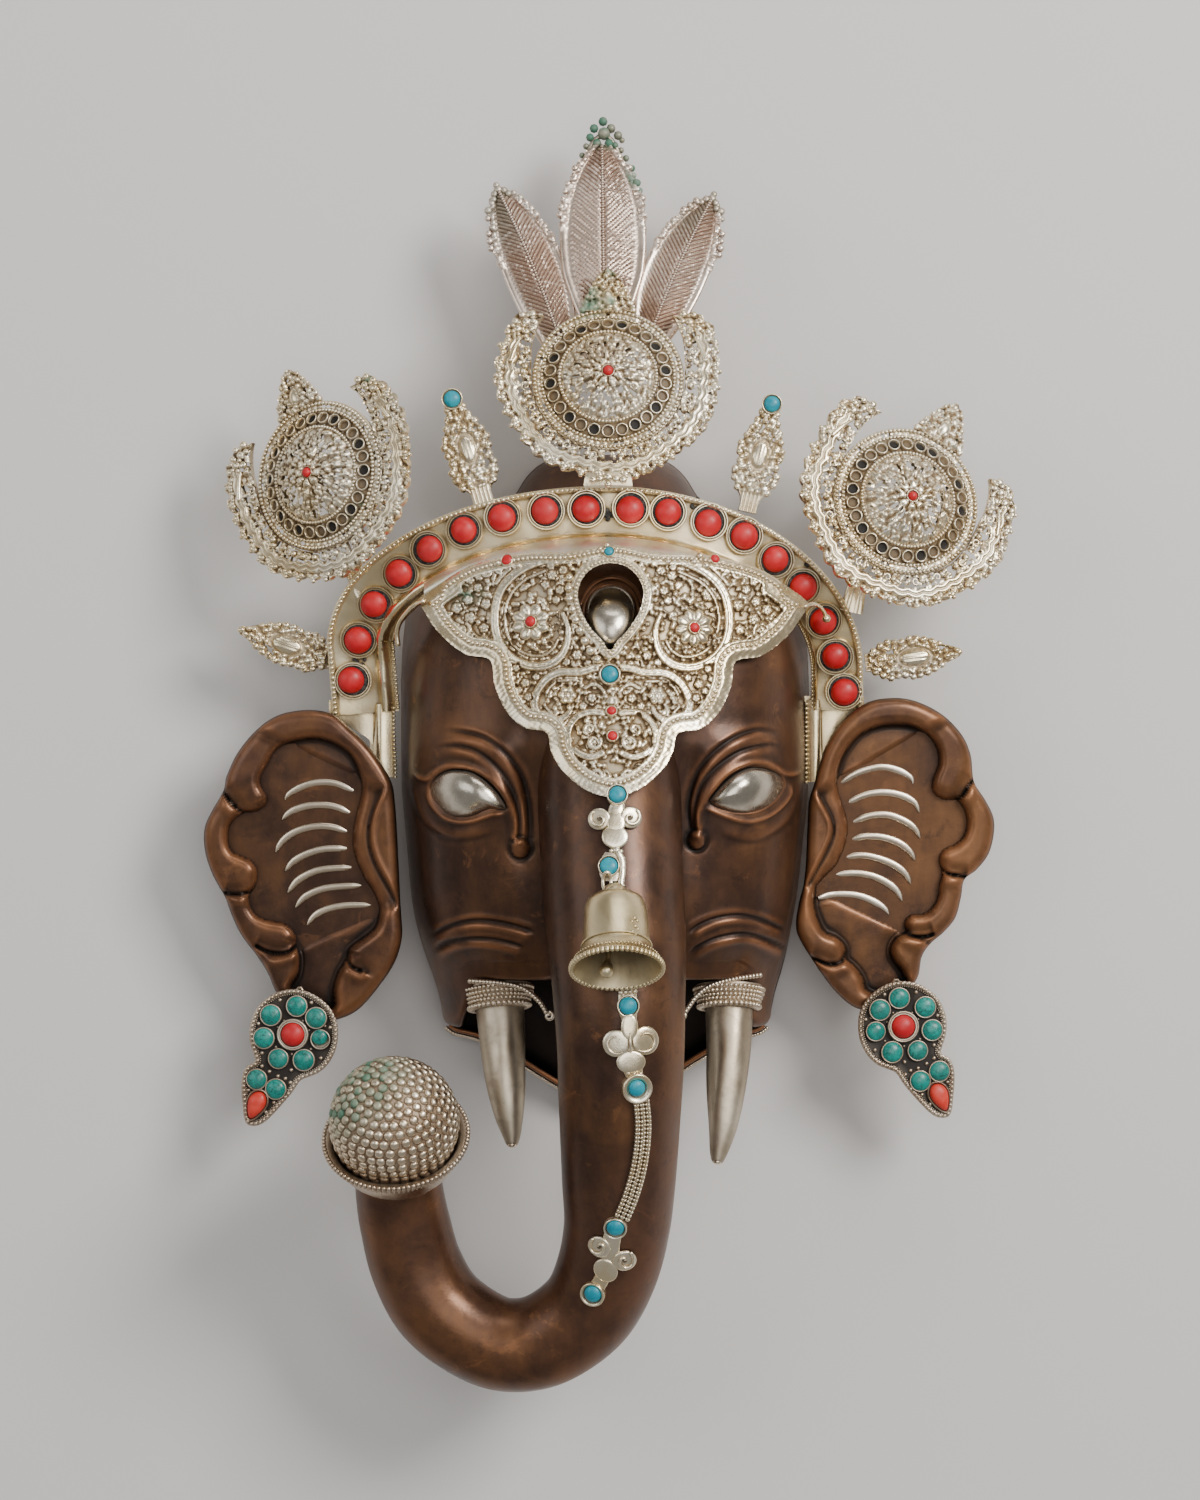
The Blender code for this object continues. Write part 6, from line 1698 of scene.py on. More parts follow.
# beaded border, pearls and stones
s0 = curve(PLATE, 1500, True)
t_ = np.roll(s0, -1, 0) - np.roll(s0, 1, 0)
t_ = t_ / np.linalg.norm(t_, axis=1, keepdims=True)
nin = np.stack([t_[:, 1], -t_[:, 0]], 1)
test = s0 + nin * 3
if not inside(test[200:201, 0], test[200:201, 1], PLATE_C)[0]:
    nin = -nin
lowr = smooth(598, 608, s0[:, 1] + 0.10 * np.abs(s0[:, 0] - 611))
bl = s0 + nin * (3.0 + 7.0 * lowr + 2.8)[:, None]
dd_, _ = edge_field(bl[:, 0], bl[:, 1], PLATE_C)
okb = -dd_ > (3.0 + 7.0 * lowr + 2.8) * 0.80
bl = bl[okb]
pts_, last = [], None
for p_ in bl:
    if last is None or np.hypot(*(p_ - last)) >= 4.35:
        pts_.append(p_)
        last = p_
plate.put(pc, np.array(pts_), 2.35, 1.15, BALL)
plate.row(pc, WINDOW + (WINDOW - np.array([611, 600])) / np.linalg.norm(WINDOW - np.array([611, 600]), axis=1, keepdims=True) * 2.7, 2.0, 4.0, 1.5, BALL, closed=True)
pearls = ((569.5, 578), (569, 588.5), (570, 599), (572.5, 609.5), (576, 620), (580, 630.5), (585, 641), (590.5, 651), (597.5, 659.5))
plate.put(pc, pearls, 4.6, 0.9, BALL, tall=1.0)
plate.put(pc, ((652, 640), (645, 650), (638, 657.5), (631, 664)), 3.6, 0.8, BALL)
plate.put(pc, ((607, 545.5), (617, 549), (600, 549)), (3.4, 2.6, 2.6), 1.4, BALL)
plate.put(pc, ((556, 563), (668, 562), (519, 566), (706, 566), (700, 556), (694, 562), (498, 563)), (3, 3, 3.4, 4.2, 3.6, 3.4, 3.0), 1.6, BALL)
for (x, y, r) in ((530.5, 621.5, 5.4), (694.5, 627.7, 5.2), (611.5, 711, 4.6), (612.5, 736, 5.0), (715, 559, 4.6), (507, 560, 5.6)):
    plate.put(pc, [(x, y)], r * 1.12, 1.75, BEZEL)
    plate.put(pc, [(x, y)], r * 0.98, 1.75, STONE, mat=1, tall=0.9 if r < 5.5 else 0.6)
for (x, y, r) in ((609.8, 674.5, 8.3), (609, 551.5, 4.6), (617.3, 794.7, 8.4)):
    plate.put(pc, [(x, y)], r * 1.22, 2.1 if y > 600 else 1.6, BEZEL)
    plate.put(pc, [(x, y)], r, 2.0 if y > 600 else 1.5, CABOCHON, mat=2, tall=0.62, tint=(0.0, 0, 0))
# hook of wire at the right-hand tip, with its ball lying on a coral
pin = at([804, 812, 819, 824, 826], [607, 604, 606, 612, 617], [87, 84, 78, 72.5, 71])
pc.tube(curve(pin, 22), 0.0009, 8)
pc.stamp(BALL, at([826.5], [618.5], 71.6), np.eye(3)[None], 0.0020)
pc.tube(curve(at([398, 397, 401, 410, 418, 424], [646, 632, 620, 609, 603, 601], [66, 67, 70, 76, 80, 84]), 30), 0.0012, 8)
pc.build("forehead_plate_relief", [SILVER, CORAL, TURQUOISE], "forehead_plate", "silvered_copper")

# copper lids round the third eye
lids = Surf(lambda u, v, h: at(u, v, on_head(u, v, 0.0) + h))
pc = Piece()
a_ = np.linspace(0, 2 * math.pi, 61)[:-1]
lids.wire(pc, np.stack([611 + 27.5 * np.sin(a_) * (1 + 0.08 * np.cos(a_)), 617 - 33 * np.cos(a_)], 1), 3.0, -0.4, 8, closed=True, tint=(0.05, 0.2, 0))
lids.wire(pc, [(580, 606), (590, 588), (604, 579), (620, 579), (634, 588), (642, 604)], 2.4, -0.6, 8, tint=(0.0, 0.3, 0))
lids.wire(pc, [(586, 617), (590, 600), (602, 587), (618, 587), (631, 599), (636, 616)], 2.2, 1.6, 8, tint=(0.0, 0.3, 0), taper=(0.3, 1, 1, 1, 0.3))
pc.build("third_eye_lids", [COPPER], (), "patinated_copper")

# ------------------------------------------------------------------ openwork reliefs
def relief_sheet(pc, place, U, V, H, keep=None, wrap=False, back=-1.0, tint=None, mat=0, flip=False, walls=True, coarse=2):
    """Relief over a grid of local points, with its plain back and rim walls."""
    P = place(U, V, H)
    pc.grid(P, wrap=wrap, tint=tint, mat=mat, keep=keep, flip=flip)
    B = place(U, V, 0 * U + back if np.isscalar(back) else back)
    b = B[::coarse, ::coarse] if not wrap else B[::coarse, ::coarse]
    kb = None
    if keep is not None:
        r, c = b.shape[:2]
        nr, nc = r - 1, (c if wrap else c - 1)
        kb = np.ones((nr, nc), bool)
        for a in range(coarse):
            for d in range(coarse):
                sub = keep[a::coarse, d::coarse][:nr, :nc]
                kb[:sub.shape[0], :sub.shape[1]] &= sub
    # back and rim walls painted darker as shade
    pc.grid(b, wrap=wrap, tint=(0.3, 0, 0), mat=mat, keep=kb, flip=not flip)
    if walls:
        pc.grid(np.stack([P[-1], B[-1]]), wrap=wrap, mat=mat, flip=flip, tint=(0.1, 0, 0))
        pc.grid(np.stack([P[0], B[0]]), wrap=wrap, mat=mat, flip=not flip, tint=(0.1, 0, 0))
        if not wrap:
            pc.grid(np.stack([P[:, 0], B[:, 0]]), mat=mat, flip=flip, tint=(0.1, 0, 0))
            pc.grid(np.stack([P[:, -1], B[:, -1]]), mat=mat, flip=not flip, tint=(0.1, 0, 0))


def lean(side_deg, back_deg):
    s, b = math.radians(side_deg), math.radians(back_deg)
    return np.array([math.sin(s) * math.cos(b), math.sin(b), math.cos(s) * math.cos(b)])


HORN = steps((36, 44, 50, 58, 75, 100, 140, 180), (80, 96, 113, 118, 114, 111, 107, 107))
H_IN = steps((36, 44, 52, 62, 75, 88, 180), (93, 93, 90, 85, 79, 76.5, 76.5))


def granules(U, V, pitch, seed, tall=1.1, fill=0.50):
    f, rv = scatter(U, V, pitch, seed)
    h = tall * np.sqrt(np.maximum(1 - (f / (fill * pitch)) ** 2, 0)) * (0.7 + 0.6 * rv)
    return h, f / pitch, rv


def rosette(name, x, y, z, normal, turn_deg, seed, stone, verdigris=()):
    turn = math.radians(turn_deg)
    F0 = frames_from([normal], [(math.sin(turn), math.cos(turn), 0)])[0]
    C0 = at(x, y, z)

    def place(u, v, h):
        u, v, h = np.broadcast_arrays(np.asarray(u, float), np.asarray(v, float), np.asarray(h, float))
        return C0 + (u * MM)[..., None] * 0.001 * F0[0] - (v * MM)[..., None] * 0.001 * F0[1] + h[..., None] * 0.001 * F0[2]

    bulge = lambda r: 9.0 * smooth(70, 10, r)
    disc = Surf(lambda u, v, h: place(u, v, h + 1.2 + bulge(np.hypot(u, v))))
    flatp = Surf(lambda u, v, h: place(u, v, h))
    pc = Piece()

    def greens(U, V):
        g = 0 * U
        for gx_, gy_, gr in verdigris:
            g = np.maximum(g, 0.9 * np.exp(-((U - gx_) ** 2 + (V - gy_) ** 2) / gr ** 2))
        return g

    # pierced disc
    n, rows = 220, np.concatenate([[1.5, 4.5], np.linspace(6.5, 46, 27), [47, 49.2, 50.2, 52, 55, 58, 61, 63.2, 64.2, 66, 67.6, 68.2, 69.3, 70.6, 71.4, 72.6, 74.2, 75.4, 75.8]])
    A, R = np.meshgrid(np.linspace(0, 2 * math.pi, n + 1)[:-1], rows)
    U, V = R * np.sin(A), -R * np.cos(A)
    h = np.zeros(U.shape)
    dk = np.zeros(U.shape)
    hole = np.zeros(U.shape, bool)
    for r0, r1, k, tall, off, cut in ((6, 15, 8, 1.5, 0.0, 0), (15, 25, 11, 1.5, 0.5, 1), (25, 36.5, 16, 1.3, 0.25, 2), (36.5, 46.4, 25, 1.0, 0.6, 0)):
        m = (R >= r0) & (R <= r1)
        q = (R - r0) / (r1 - r0)
        ph = k * (A + off * 2 * math.pi / k) / 2.0
        w = np.abs(np.sin(ph))
        lobe = np.sqrt(np.maximum(1 - np.clip(np.hypot((q - 0.55) / 0.5, (1 - w) / 0.85), 0, 1) ** 2, 0))
        h = np.where(m, tall * lobe - 0.5 * (lobe < 0.05), h)
        # painted shade between the lobes
        dk = np.where(m, 0.65 * (1 - np.clip(lobe * 1.8, 0, 1)), dk)
        if cut:
            which = np.floor(k * A / (2 * math.pi) + off + 0.5).astype(int)
            pick = (which * 7 + seed) % (3 if cut == 1 else 4) != 0
            hole |= m & (w < 0.27) & (q > 0.25) & (q < 0.85) & pick
    fr, rv = scatter(U, V, 5.4, seed)
    gr_ = np.sqrt(np.maximum(1 - (fr / 2.7) ** 2, 0)) * (0.6 + 0.8 * rv)
    m = (R > 14) & (R < 46)
    h = np.where(m, 0.55 * h + 1.25 * gr_ - 0.3, h)
    # painted shade in the gaps between granules
    dk = np.where(m, np.clip(0.35 * dk + 1.0 * smooth(1.9, 2.8, fr), 0, 0.90), dk)
    hole |= (R > 17) & (R < 44) & (fr > 2.4) & (rv > 0.86)
    hole |= (R > 51.5) & (R < 54.5) & (np.abs(np.sin(13 * A)) < 0.30) & (rv > 0.35)
    m = (R > 50) & (R < 64)
    h = np.where(m, -0.9, h)
    # painted shade in the sunk channel of the cups
    dk = np.where(m, 0.55, dk)
    m = (R >= 68) & (R <= 71)
    sq = np.abs(np.sin(30 * A))
    h = np.where(m, 0.7 * (sq > 0.35) * (0.7 + 0.5 * rv) - 0.2, h)
    # painted shade in the gaps of the toothed ring
    dk = np.where(m, 0.6 * (sq <= 0.35), dk)
    hole |= m & (sq <= 0.45) & (np.floor(60 * A / (2 * math.pi)).astype(int) * 5 % 4 == 0)
    seat = ((R > 46.4) & (R < 50)) | ((R > 64) & (R < 68)) | (R > 71)
    h = np.where(seat, 0.15, h)
    h = np.where(R > 75.5, -0.7, h)
    hc = hole
    keep = ~(hc[:-1] | hc[1:] | np.roll(hc, -1, 1)[:-1] | np.roll(hc, -1, 1)[1:])
    tint = np.stack([dk * 0.8, 0 * dk, greens(U, V)], -1)
    relief_sheet(pc, place, U, V, h + 1.2 + bulge(R), keep=keep, wrap=True, back=-0.8 + 0.8 * bulge(R), tint=tint, coarse=3, walls=False)
    pc.grid(np.stack([place(U[-1], V[-1], h[-1] + 1.2), place(U[-1], V[-1], 0 * U[-1] - 0.8)]), wrap=True, tint=(0.1, 0, 0))
    disc.row(pc, ring_pts(48.3, 60), 1.9, 3.5, 0.5, BEAD, closed=True)
    disc.row(pc, ring_pts(66.0, 60), 2.0, 4.0, 0.5, BEAD, closed=True)
    disc.row(pc, ring_pts(73.0, 60), 2.2, 4.3, 0.5, BEAD, closed=True)
    cups = ring_pts(57.2, 26)
    disc.put(pc, cups, 6.4, 0.6, CUP, tall=0.62, tint=(0.05, 0, 0))
    cc = ring_pts(57.2, 26) * 1.0
    # floors of the open cups painted dark as shade
    cup_floor_shade = np.where((np.arange(26) * 7 + seed) % 5 < 2, 0.92, 0.76) + 0 * cc[:, 0]
    pc.stamp(lathe([(0.80, 0.0), (0.3, -0.04)], 12), disc.place(cc[:, 0], cc[:, 1], 0 * cc[:, 0] + 0.30), disc.frames(cc[:, 0], cc[:, 1]), 6.2 * UNIT, 0,
             np.stack([cup_floor_shade, 0 * cup_floor_shade, 0 * cup_floor_shade], 1))
    # boss with its coral
    disc.put(pc, ring_pts(8.5, 9), 2.6, 0.5, BEAD)
    disc.put(pc, [(0, 0)], 6.4, 0.2, BEZEL, tall=1.4)
    disc.put(pc, [(0, 0)], stone, 0.3, STONE, mat=1, tall=1.3)
    # crescent with its rails, balls and scallops
    n = 280
    A, Q = np.meshgrid(np.radians(np.linspace(43.5, 316.5, n)), np.linspace(0, 1, 24))
    deg = np.degrees(A)
    deg = np.where(deg > 180, 360 - deg, deg)
    ro = HORN(deg) * (1 - 0.040 * (1 - np.abs(np.sin(A * 19.0))) - 0.02 * np.sin(A * 7 + seed))
    ri = H_IN(deg)
    R = ri + (ro - ri) * Q
    U, V = R * np.sin(A), -R * np.cos(A)
    g, fr, rv = granules(U, V, 6.2, seed + 5, 1.9)
    h = g + 0.5
    rail = ri + (ro - ri) * 0.60
    d1, d2 = np.abs(R - rail - 2.4), np.abs(R - rail + 2.4)
    solid = smooth(58, 66, deg)
    on = (np.minimum(d1, d2) < 2.2) & (solid > 0.5)
    h = np.where(on, 1.5 + 1.1 * np.sqrt(np.maximum(1 - (np.minimum(d1, d2) / 2.2) ** 2, 0)), h)
    # painted shade in the gaps between granules and along the groove between the rails
    dk = np.where(on, 0, 0.75 * smooth(0.40, 0.56, fr))
    dk = np.where((solid > 0.5) & (np.abs(R - rail) < 0.6), 0.5, dk)
    inner_side = (R < rail - 4.6) & (R > ri + 1.2)
    hole = inner_side & (fr > 0.36) & (rv > 0.30) | (~on & (R > rail + 4.6) & (R < ro - 3) & (fr > 0.45) & (rv > 0.5))
    hole |= (deg < 64) & (fr > 0.45) & (rv > 0.55) & (R < ro - 3) & (R > ri + 2)
    hole |= (np.abs(np.sin(A * 11 + seed)) < 0.22) & (R > ri + 1.0) & (R < rail - 6.0) & (solid > 0.5)
    keep = ~(hole[:-1, :-1] & hole[1:, :-1] | hole[:-1, 1:] & hole[1:, 1:])
    relief_sheet(pc, place, U, V, h, keep=keep, back=-0.9, tint=np.stack([dk, 0 * dk, greens(U, V)], -1))
    # larger balls and buds
    r_ = np.random.default_rng(seed)
    aa = np.radians(np.concatenate([np.arange(66, 178, 9.5), np.arange(185, 296, 9.5)]) + r_.uniform(-1.5, 1.5, 24))
    dg = np.degrees(aa)
    dg = np.where(dg > 180, 360 - dg, dg)
    ro_, ri_ = HORN(dg), H_IN(dg)
    for k, a in enumerate(aa):
        ra = ro_[k] - 4.2
        for da, dr, rr in ((0, 0, 3.9), (-0.030, -1.5, 3.0), (0.030, -1.5, 3.0), (0.0, 3.2, 2.6)):
            flatp.put(pc, [((ra + dr) * math.sin(a + da), -(ra + dr) * math.cos(a + da))], rr, 1.3, PETAL if rr > 3.2 else BEAD, tall=1.0, tint=(0, 0, 0))
        rb = ri_[k] + 5.8
        flatp.put(pc, [(rb * math.sin(a), -rb * math.cos(a))], 3.7, 1.0, BALL, tall=1.0)
        if k % 2 == 0:
            c = spiral(rb * math.sin(a + 0.085), -rb * math.cos(a + 0.085), 4.4, 1.3, a + 1.2 * (1 if k % 4 else -1), 1.15, 12)
            flatp.wire(pc, c, 1.05, 1.6, 5, pitch=1.6)
    for sg in (-1, 1):
        for dgs, rr, br in ((47, 103, 4.4), (51, 110, 3.6), (53, 102, 4.6), (56, 111, 3.8), (58, 96, 4.0), (59, 105, 5.2), (63, 112, 3.8), (64, 99, 3.6), (67, 108, 3.6), (50, 97, 3.2), (54, 93, 3.0), (62, 91, 3.2)):
            a = math.radians(dgs * sg)
            flatp.put(pc, [(rr * math.sin(a), -rr * math.cos(a))], br, 1.7, PETAL, tall=0.9)
        a = math.radians(59 * sg)
        c0 = np.array([104 * math.sin(a), -104 * math.cos(a)])
        flatp.put(pc, c0 + ring_pts(6.2, 6), 2.4, 2.2, BEAD)
        # smooth rail running up into the horn
        al = np.radians(np.linspace(62, 80, 12)) * sg
        rl = np.linspace(97, 99, 12)
        flatp.wire(pc, np.stack([rl * np.sin(al), -rl * np.cos(al)], 1), 2.6, 2.4, 7, taper=(0.3, 1, 1))
    # leaf at the top
    T, S = np.meshgrid(np.linspace(0, 1, 40), np.linspace(-1, 1, 34), indexing="ij")
    half = np.interp(T, (0, 0.25, 0.5, 0.72, 0.88, 0.97, 1.0), (26, 22.5, 17.5, 12.5, 8.0, 4.0, 1.0)) * (1 + 0.10 * np.abs(np.sin(T * 15)))
    U, V = S * half, -(72 + 46 * T)
    g, fr, rv = granules(U, V, 6.0, seed + 9, 2.0)
    oval = np.hypot(U / 6.0, (V + 88) / 8.5)
    h = np.where(oval < 1, 1.4 + 1.5 * np.sqrt(np.maximum(1 - oval ** 2, 0)), g + 0.7) + 1.2 * (1 - S ** 2) * (1 - T)
    # painted shade in the gaps and round the oval
    dk = np.where(oval < 1, 0, np.maximum(0.7 * smooth(0.42, 0.56, fr), 0.8 * np.exp(-((oval - 1.12) / 0.12) ** 2)))
    hole = (fr > 0.47) & (rv > 0.55) & (np.abs(S) < 0.8) & (T > 0.12) & (T < 0.9) & (oval > 1.3)
    keep = ~(hole[:-1, :-1] & hole[1:, :-1] | hole[:-1, 1:] & hole[1:, 1:])
    relief_sheet(pc, place, U, V, h, keep=keep, back=-0.9, tint=np.stack([dk, 0 * dk, greens(U, V)], -1), flip=True)
    for k in range(6):
        t = 0.06 + 0.155 * k
        hw = np.interp(t, (0, 0.25, 0.5, 0.72, 0.88, 1.0), (26, 22.5, 17.5, 12.5, 8.0, 1.0))
        for sg in (-1, 1):
            flatp.put(pc, [(sg * hw, -(72 + 46 * t))], 3.6 - 0.25 * k, 1.2, PETAL, tall=1.0, tint=(0, 0, greens(np.array(sg * hw), np.array(-(72 + 46 * t)))))
    flatp.put(pc, [(0, -114)], 3.4, 1.4, PETAL)
    return pc, place, flatp


pc, pl, fp = rosette("rosette_center", 608, 380, 74, lean(0, 19), 0, 3, 5.2, ((-18, -78, 13), (-27, -72, 9), (-16, -92, 8), (3, -83, 5), (2, -118, 7)))
br = np.meshgrid(np.linspace(-22, 22, 10), np.linspace(100, 113, 8))
ramp_ = (br[1] - 100) / 13
pc.grid(pl(br[0] * (1 + 0.10 * ramp_), br[1], 2.0 - 1.6 * ramp_ ** 2 + 0.4 * np.cos(br[0] * 0.14)), flip=True)
pc.grid(pl(br[0] * (1 + 0.10 * ramp_), br[1], -0.6 - 2.0 * ramp_ ** 2), tint=(0.3, 0, 0))
fp.put(pc, ((0, 105), (-8, 107), (8, 107), (-15, 108), (15, 108), (0, 113)), (5.2, 4, 4, 4, 4, 3.6), 2.0, PETAL, tall=0.9)
pc.build("rosette_center_filigree", [SILVER, CORAL], "rosette_center", "silvered_copper")
pc, pl, fp = rosette("rosette_left", 321, 476, 66, lean(-33, 6), -27, 14, 5.0, ((88, -64, 9), (94, -70, 8), (20, 60, 5), (38, 48, 4)))
pc.build("rosette_left_filigree", [SILVER, CORAL], "rosette_left", "silvered_copper")
pc, pl, fp = rosette("rosette_right", 905, 502, 66, lean(16, 12), 31, 25, 4.6)
pc.build("rosette_right_filigree", [SILVER, CORAL], "rosette_right", "silvered_copper")

# feet that carry the side rosettes on the band
for nm, a, b, w in (("bracket_left", (348, 562, 58), (367, 592, 60.5), 11), ("bracket_right", (860, 574, 56.5), (851, 612, 57.5), 11)):
    pc = Piece()
    t = np.linspace(0, 1, 10)[:, None]
    k = np.linspace(-1, 1, 9)[None]
    d = np.array([b[0] - a[0], b[1] - a[1]], float)
    d /= np.linalg.norm(d)
    X = a[0] + (b[0] - a[0]) * t - d[1] * w * k * (0.75 + 0.35 * t)
    Y = a[1] + (b[1] - a[1]) * t + d[0] * w * k * (0.75 + 0.35 * t)
    Z = a[2] + (b[2] - a[2]) * t + 0 * k
    pc.grid(at(X, Y, Z + 1.6 + 0.5 * np.cos(k * 9)), flip=True)
    pc.grid(at(X, Y, Z - 0.4), tint=(0.3, 0, 0))
    pc.grid(np.stack([at(X[:, 0], Y[:, 0], Z[:, 0] + 1.2), at(X[:, 0], Y[:, 0], Z[:, 0] - 0.4)]))
    pc.grid(np.stack([at(X[:, -1], Y[:, -1], Z[:, -1] + 1.2), at(X[:, -1], Y[:, -1], Z[:, -1] - 0.4)]))
    pc.build(nm, [SILVER], (), "silvered_copper")

# ------------------------------------------------------------------ plume
pc = Piece()
W_T = steps((0, 0.12, 0.28, 0.45, 0.60, 0.74, 0.86, 0.94, 0.985, 1.0), (0.48, 0.70, 0.93, 1.0, 0.96, 0.80, 0.55, 0.31, 0.12, 0.04))
for li, (foot, tip, half) in enumerate((((604, 318, 57), (602, 146, 38), 42), ((560, 340, 57), (499, 192, 40), 29), ((649, 338, 57), (711, 201, 40), 30))):
    A_, B_ = at(*foot), at(*tip)
    D_ = unit(B_ - A_)
    S_ = unit(np.cross(D_, [0, 0, 1.0]))
    N_ = np.cross(S_, D_)
    length = np.linalg.norm(B_ - A_) / UNIT
    T, S = np.meshgrid(np.linspace(0.0, 1.0, 170), np.concatenate([[-1.30, -1.27, -1.20, -1.12, -1.05], np.linspace(-1, 1, 31), [1.05, 1.12, 1.20, 1.27, 1.30]]), indexing="ij")
    w = half * W_T(T) * 0.86
    extra = 7.5 if li == 0 else 6.5
    ax = np.abs(S)
    knob = 0.5 + 0.5 * np.sin(T * length / 2.1 + 1.2 * np.sign(S))
    grow = np.where(li == 0, smooth(0.45, 0.6, T), smooth(0.50, 0.62, T))
    off = np.where(ax <= 1, S * w, np.sign(S) * (w + (ax - 1) / 0.30 * (extra + 2.6 * grow * knob)))
    bend = (0.0 if li == 0 else (3.0 if li == 1 else -3.0)) * np.sin(math.pi * T)
    keel = 2.3 * (1 - np.clip(ax, 0, 1) ** 1.6)
    phase = (T * length - np.abs(off) * 0.95) / 5.0
    vein = np.abs((phase % 1.0) * 2 - 1)
    h = 0.0 + keel + 1.25 * np.clip(vein * 1.5 - 0.2, 0, 1) * smooth(0.98, 0.86, ax) * smooth(0.03, 0.10, ax)
    rim = np.exp(-((ax - 1.0) / 0.05) ** 2)
    h = h + 0.5 * rim
    out = ax > 1.02
    f, rv = scatter(off + 40 * li, T * length, 6.0, 31 + li)
    h = np.where(out, 0.3 + 0.5 * np.cos((ax - 1.15) / 0.15 * 1.4) + grow * 1.2 * np.sqrt(np.maximum(1 - (f / 3.1) ** 2, 0)), h)
    h = np.where(ax > 1.285, -0.4, h)
    Pl = A_ + D_ * (T * length * UNIT)[..., None] + S_ * ((off + bend) * UNIT)[..., None] + N_ * (h * 0.001)[..., None]
    Pb = A_ + D_ * (T * length * UNIT)[..., None] + S_ * ((off + bend) * UNIT)[..., None] + N_ * ((keel * 0.8 - 1.0) * 0.001)[..., None]
    # painted shade in the vein grooves, along the rim and in the gaps between the knobs
    dk = 0.58 * (1 - np.clip(vein * 1.7, 0, 1)) * (ax < 0.95) + 0.25 * np.exp(-((ax - 1.035) / 0.03) ** 2) + 0.2 * grow * out * (f > 2.6)
    gr = 0.35 * smooth(0.90, 1.0, T) * (rv > 0.3) if li else np.where(out, 0.9 * np.exp(-((T - 0.80) / 0.05) ** 2) * (S > 0), 0) + 0.5 * smooth(0.95, 1.0, T)
    if li:
        # verdigris on the left half of each side leaf, partly painted shade on the side away from the light
        gr = np.maximum(gr, 0.22 * (S < 0) * smooth(0.5, 0.9, T))
    pc.grid(Pl, tint=np.stack([dk, 0 * dk, gr + 0 * dk], -1), flip=False)
    # back and side walls painted darker as shade
    pc.grid(Pb[::4, ::2], tint=(0.3, 0, 0), flip=True)
    for side_ in (0, -1):
        pc.grid(np.stack([Pl[:, side_], Pb[:, side_]]), tint=(0.1, 0, 0), flip=side_ == 0)
    # twisted midrib
    tt = np.linspace(0.02, 0.985, int(length / 2.7))
    O = A_ + D_ * (tt * length * UNIT)[:, None] + S_ * (((0 if li == 0 else (3.0 if li == 1 else -3.0)) * np.sin(math.pi * tt)) * UNIT)[:, None] + N_ * 0.0029
    Fm = np.tile(np.stack([S_, D_, N_]), (len(tt), 1, 1))
    pc.stamp(BEAD, O, turn_frames(Fm, 0.6), np.tile([[1.9 * UNIT, 1.35 * UNIT, 1.6 * UNIT]], (len(tt), 1)), tint=(0.12, 0, 0))
    # knobs near the tip
    r_ = np.random.default_rng(40 + li)
    for k in range(9 if li else 7):
        t0 = (0.60 + 0.045 * k)
        for sg in (-1, 1):
            ww = half * W_T(t0) * 0.86 + extra + 1.0
            if r_.random() < 0.78:
                o = A_ + D_ * (t0 * length * UNIT) + S_ * (sg * ww * UNIT) + N_ * 0.0008
                pc.stamp(PETAL, [o], np.stack([S_, D_, N_])[None], r_.uniform(3.0, 4.3) * UNIT, tint=(0.05, 0, 0.9 if (li == 0 and sg > 0 and 3 <= k <= 5) else (0.3 if k > 6 else 0)))
    for (du, dv, br) in ((0, 2, 4.6), (-5, -1, 4.0), (5, -1, 4.0), (-8, -6, 3.6), (8, -6, 3.6), (0, 7, 3.4)) if li else ():
        o = B_ + D_ * (dv * UNIT) + S_ * (du * UNIT) + N_ * 0.0012
        pc.stamp(PETAL, [o], np.stack([S_, D_, N_])[None], br * UNIT, tint=(0.1, 0, 0.35))
# bud with old verdigris at the top of the middle leaf
S_, D_, N_ = np.array([1.0, 0, 0]), unit(at(602, 120, 36) - at(602, 160, 40)), None
N_ = np.cross(S_, D_)
Fb = np.stack([S_, D_, N_])[None]
for (x, y, z, r, g_) in ((603, 121, 37.0, 5.0, 0.75), (594, 128, 37.5, 4.8, 0.9), (611, 128, 37.5, 5.0, 0.35), (590, 137, 37.5, 4.4, 1.0), (604, 133, 39.0, 6.8, 0.55), (618, 135, 37.5, 4.8, 0.35),
                         (597, 143, 38.0, 5.0, 1.0), (609, 143, 38.5, 5.0, 0.9), (622, 140, 37.2, 3.2, 0.3), (603, 148, 38.0, 4.0, 0.9), (615, 145, 37.6, 3.8, 0.6), (586, 146, 37.0, 3.4, 0.3),
                         (621, 150, 37.0, 3.4, 0.3), (582, 155, 37.0, 3.2, 0.5), (626, 158, 37.0, 3.6, 0.4), (632, 168, 37.4, 3.6, 0.9)):
    pc.stamp(BALL, [at(x, y, z)], Fb, np.array([[r * 0.92 * UNIT, r * 0.92 * UNIT, r * 0.75 * UNIT]]), tint=(0.45, 0, min(1.0, g_ + 0.25)))
pc.tube(curve(at([586, 589, 594, 600], [160, 150, 141, 136], [37, 37, 37, 37]), 12), 0.0012, 7, tint=(0, 0, 0.3))
pc.tube(curve(at([620, 617, 612, 606], [160, 150, 141, 136], [37, 37, 37, 37]), 12), 0.0012, 7, tint=(0, 0, 0.3))
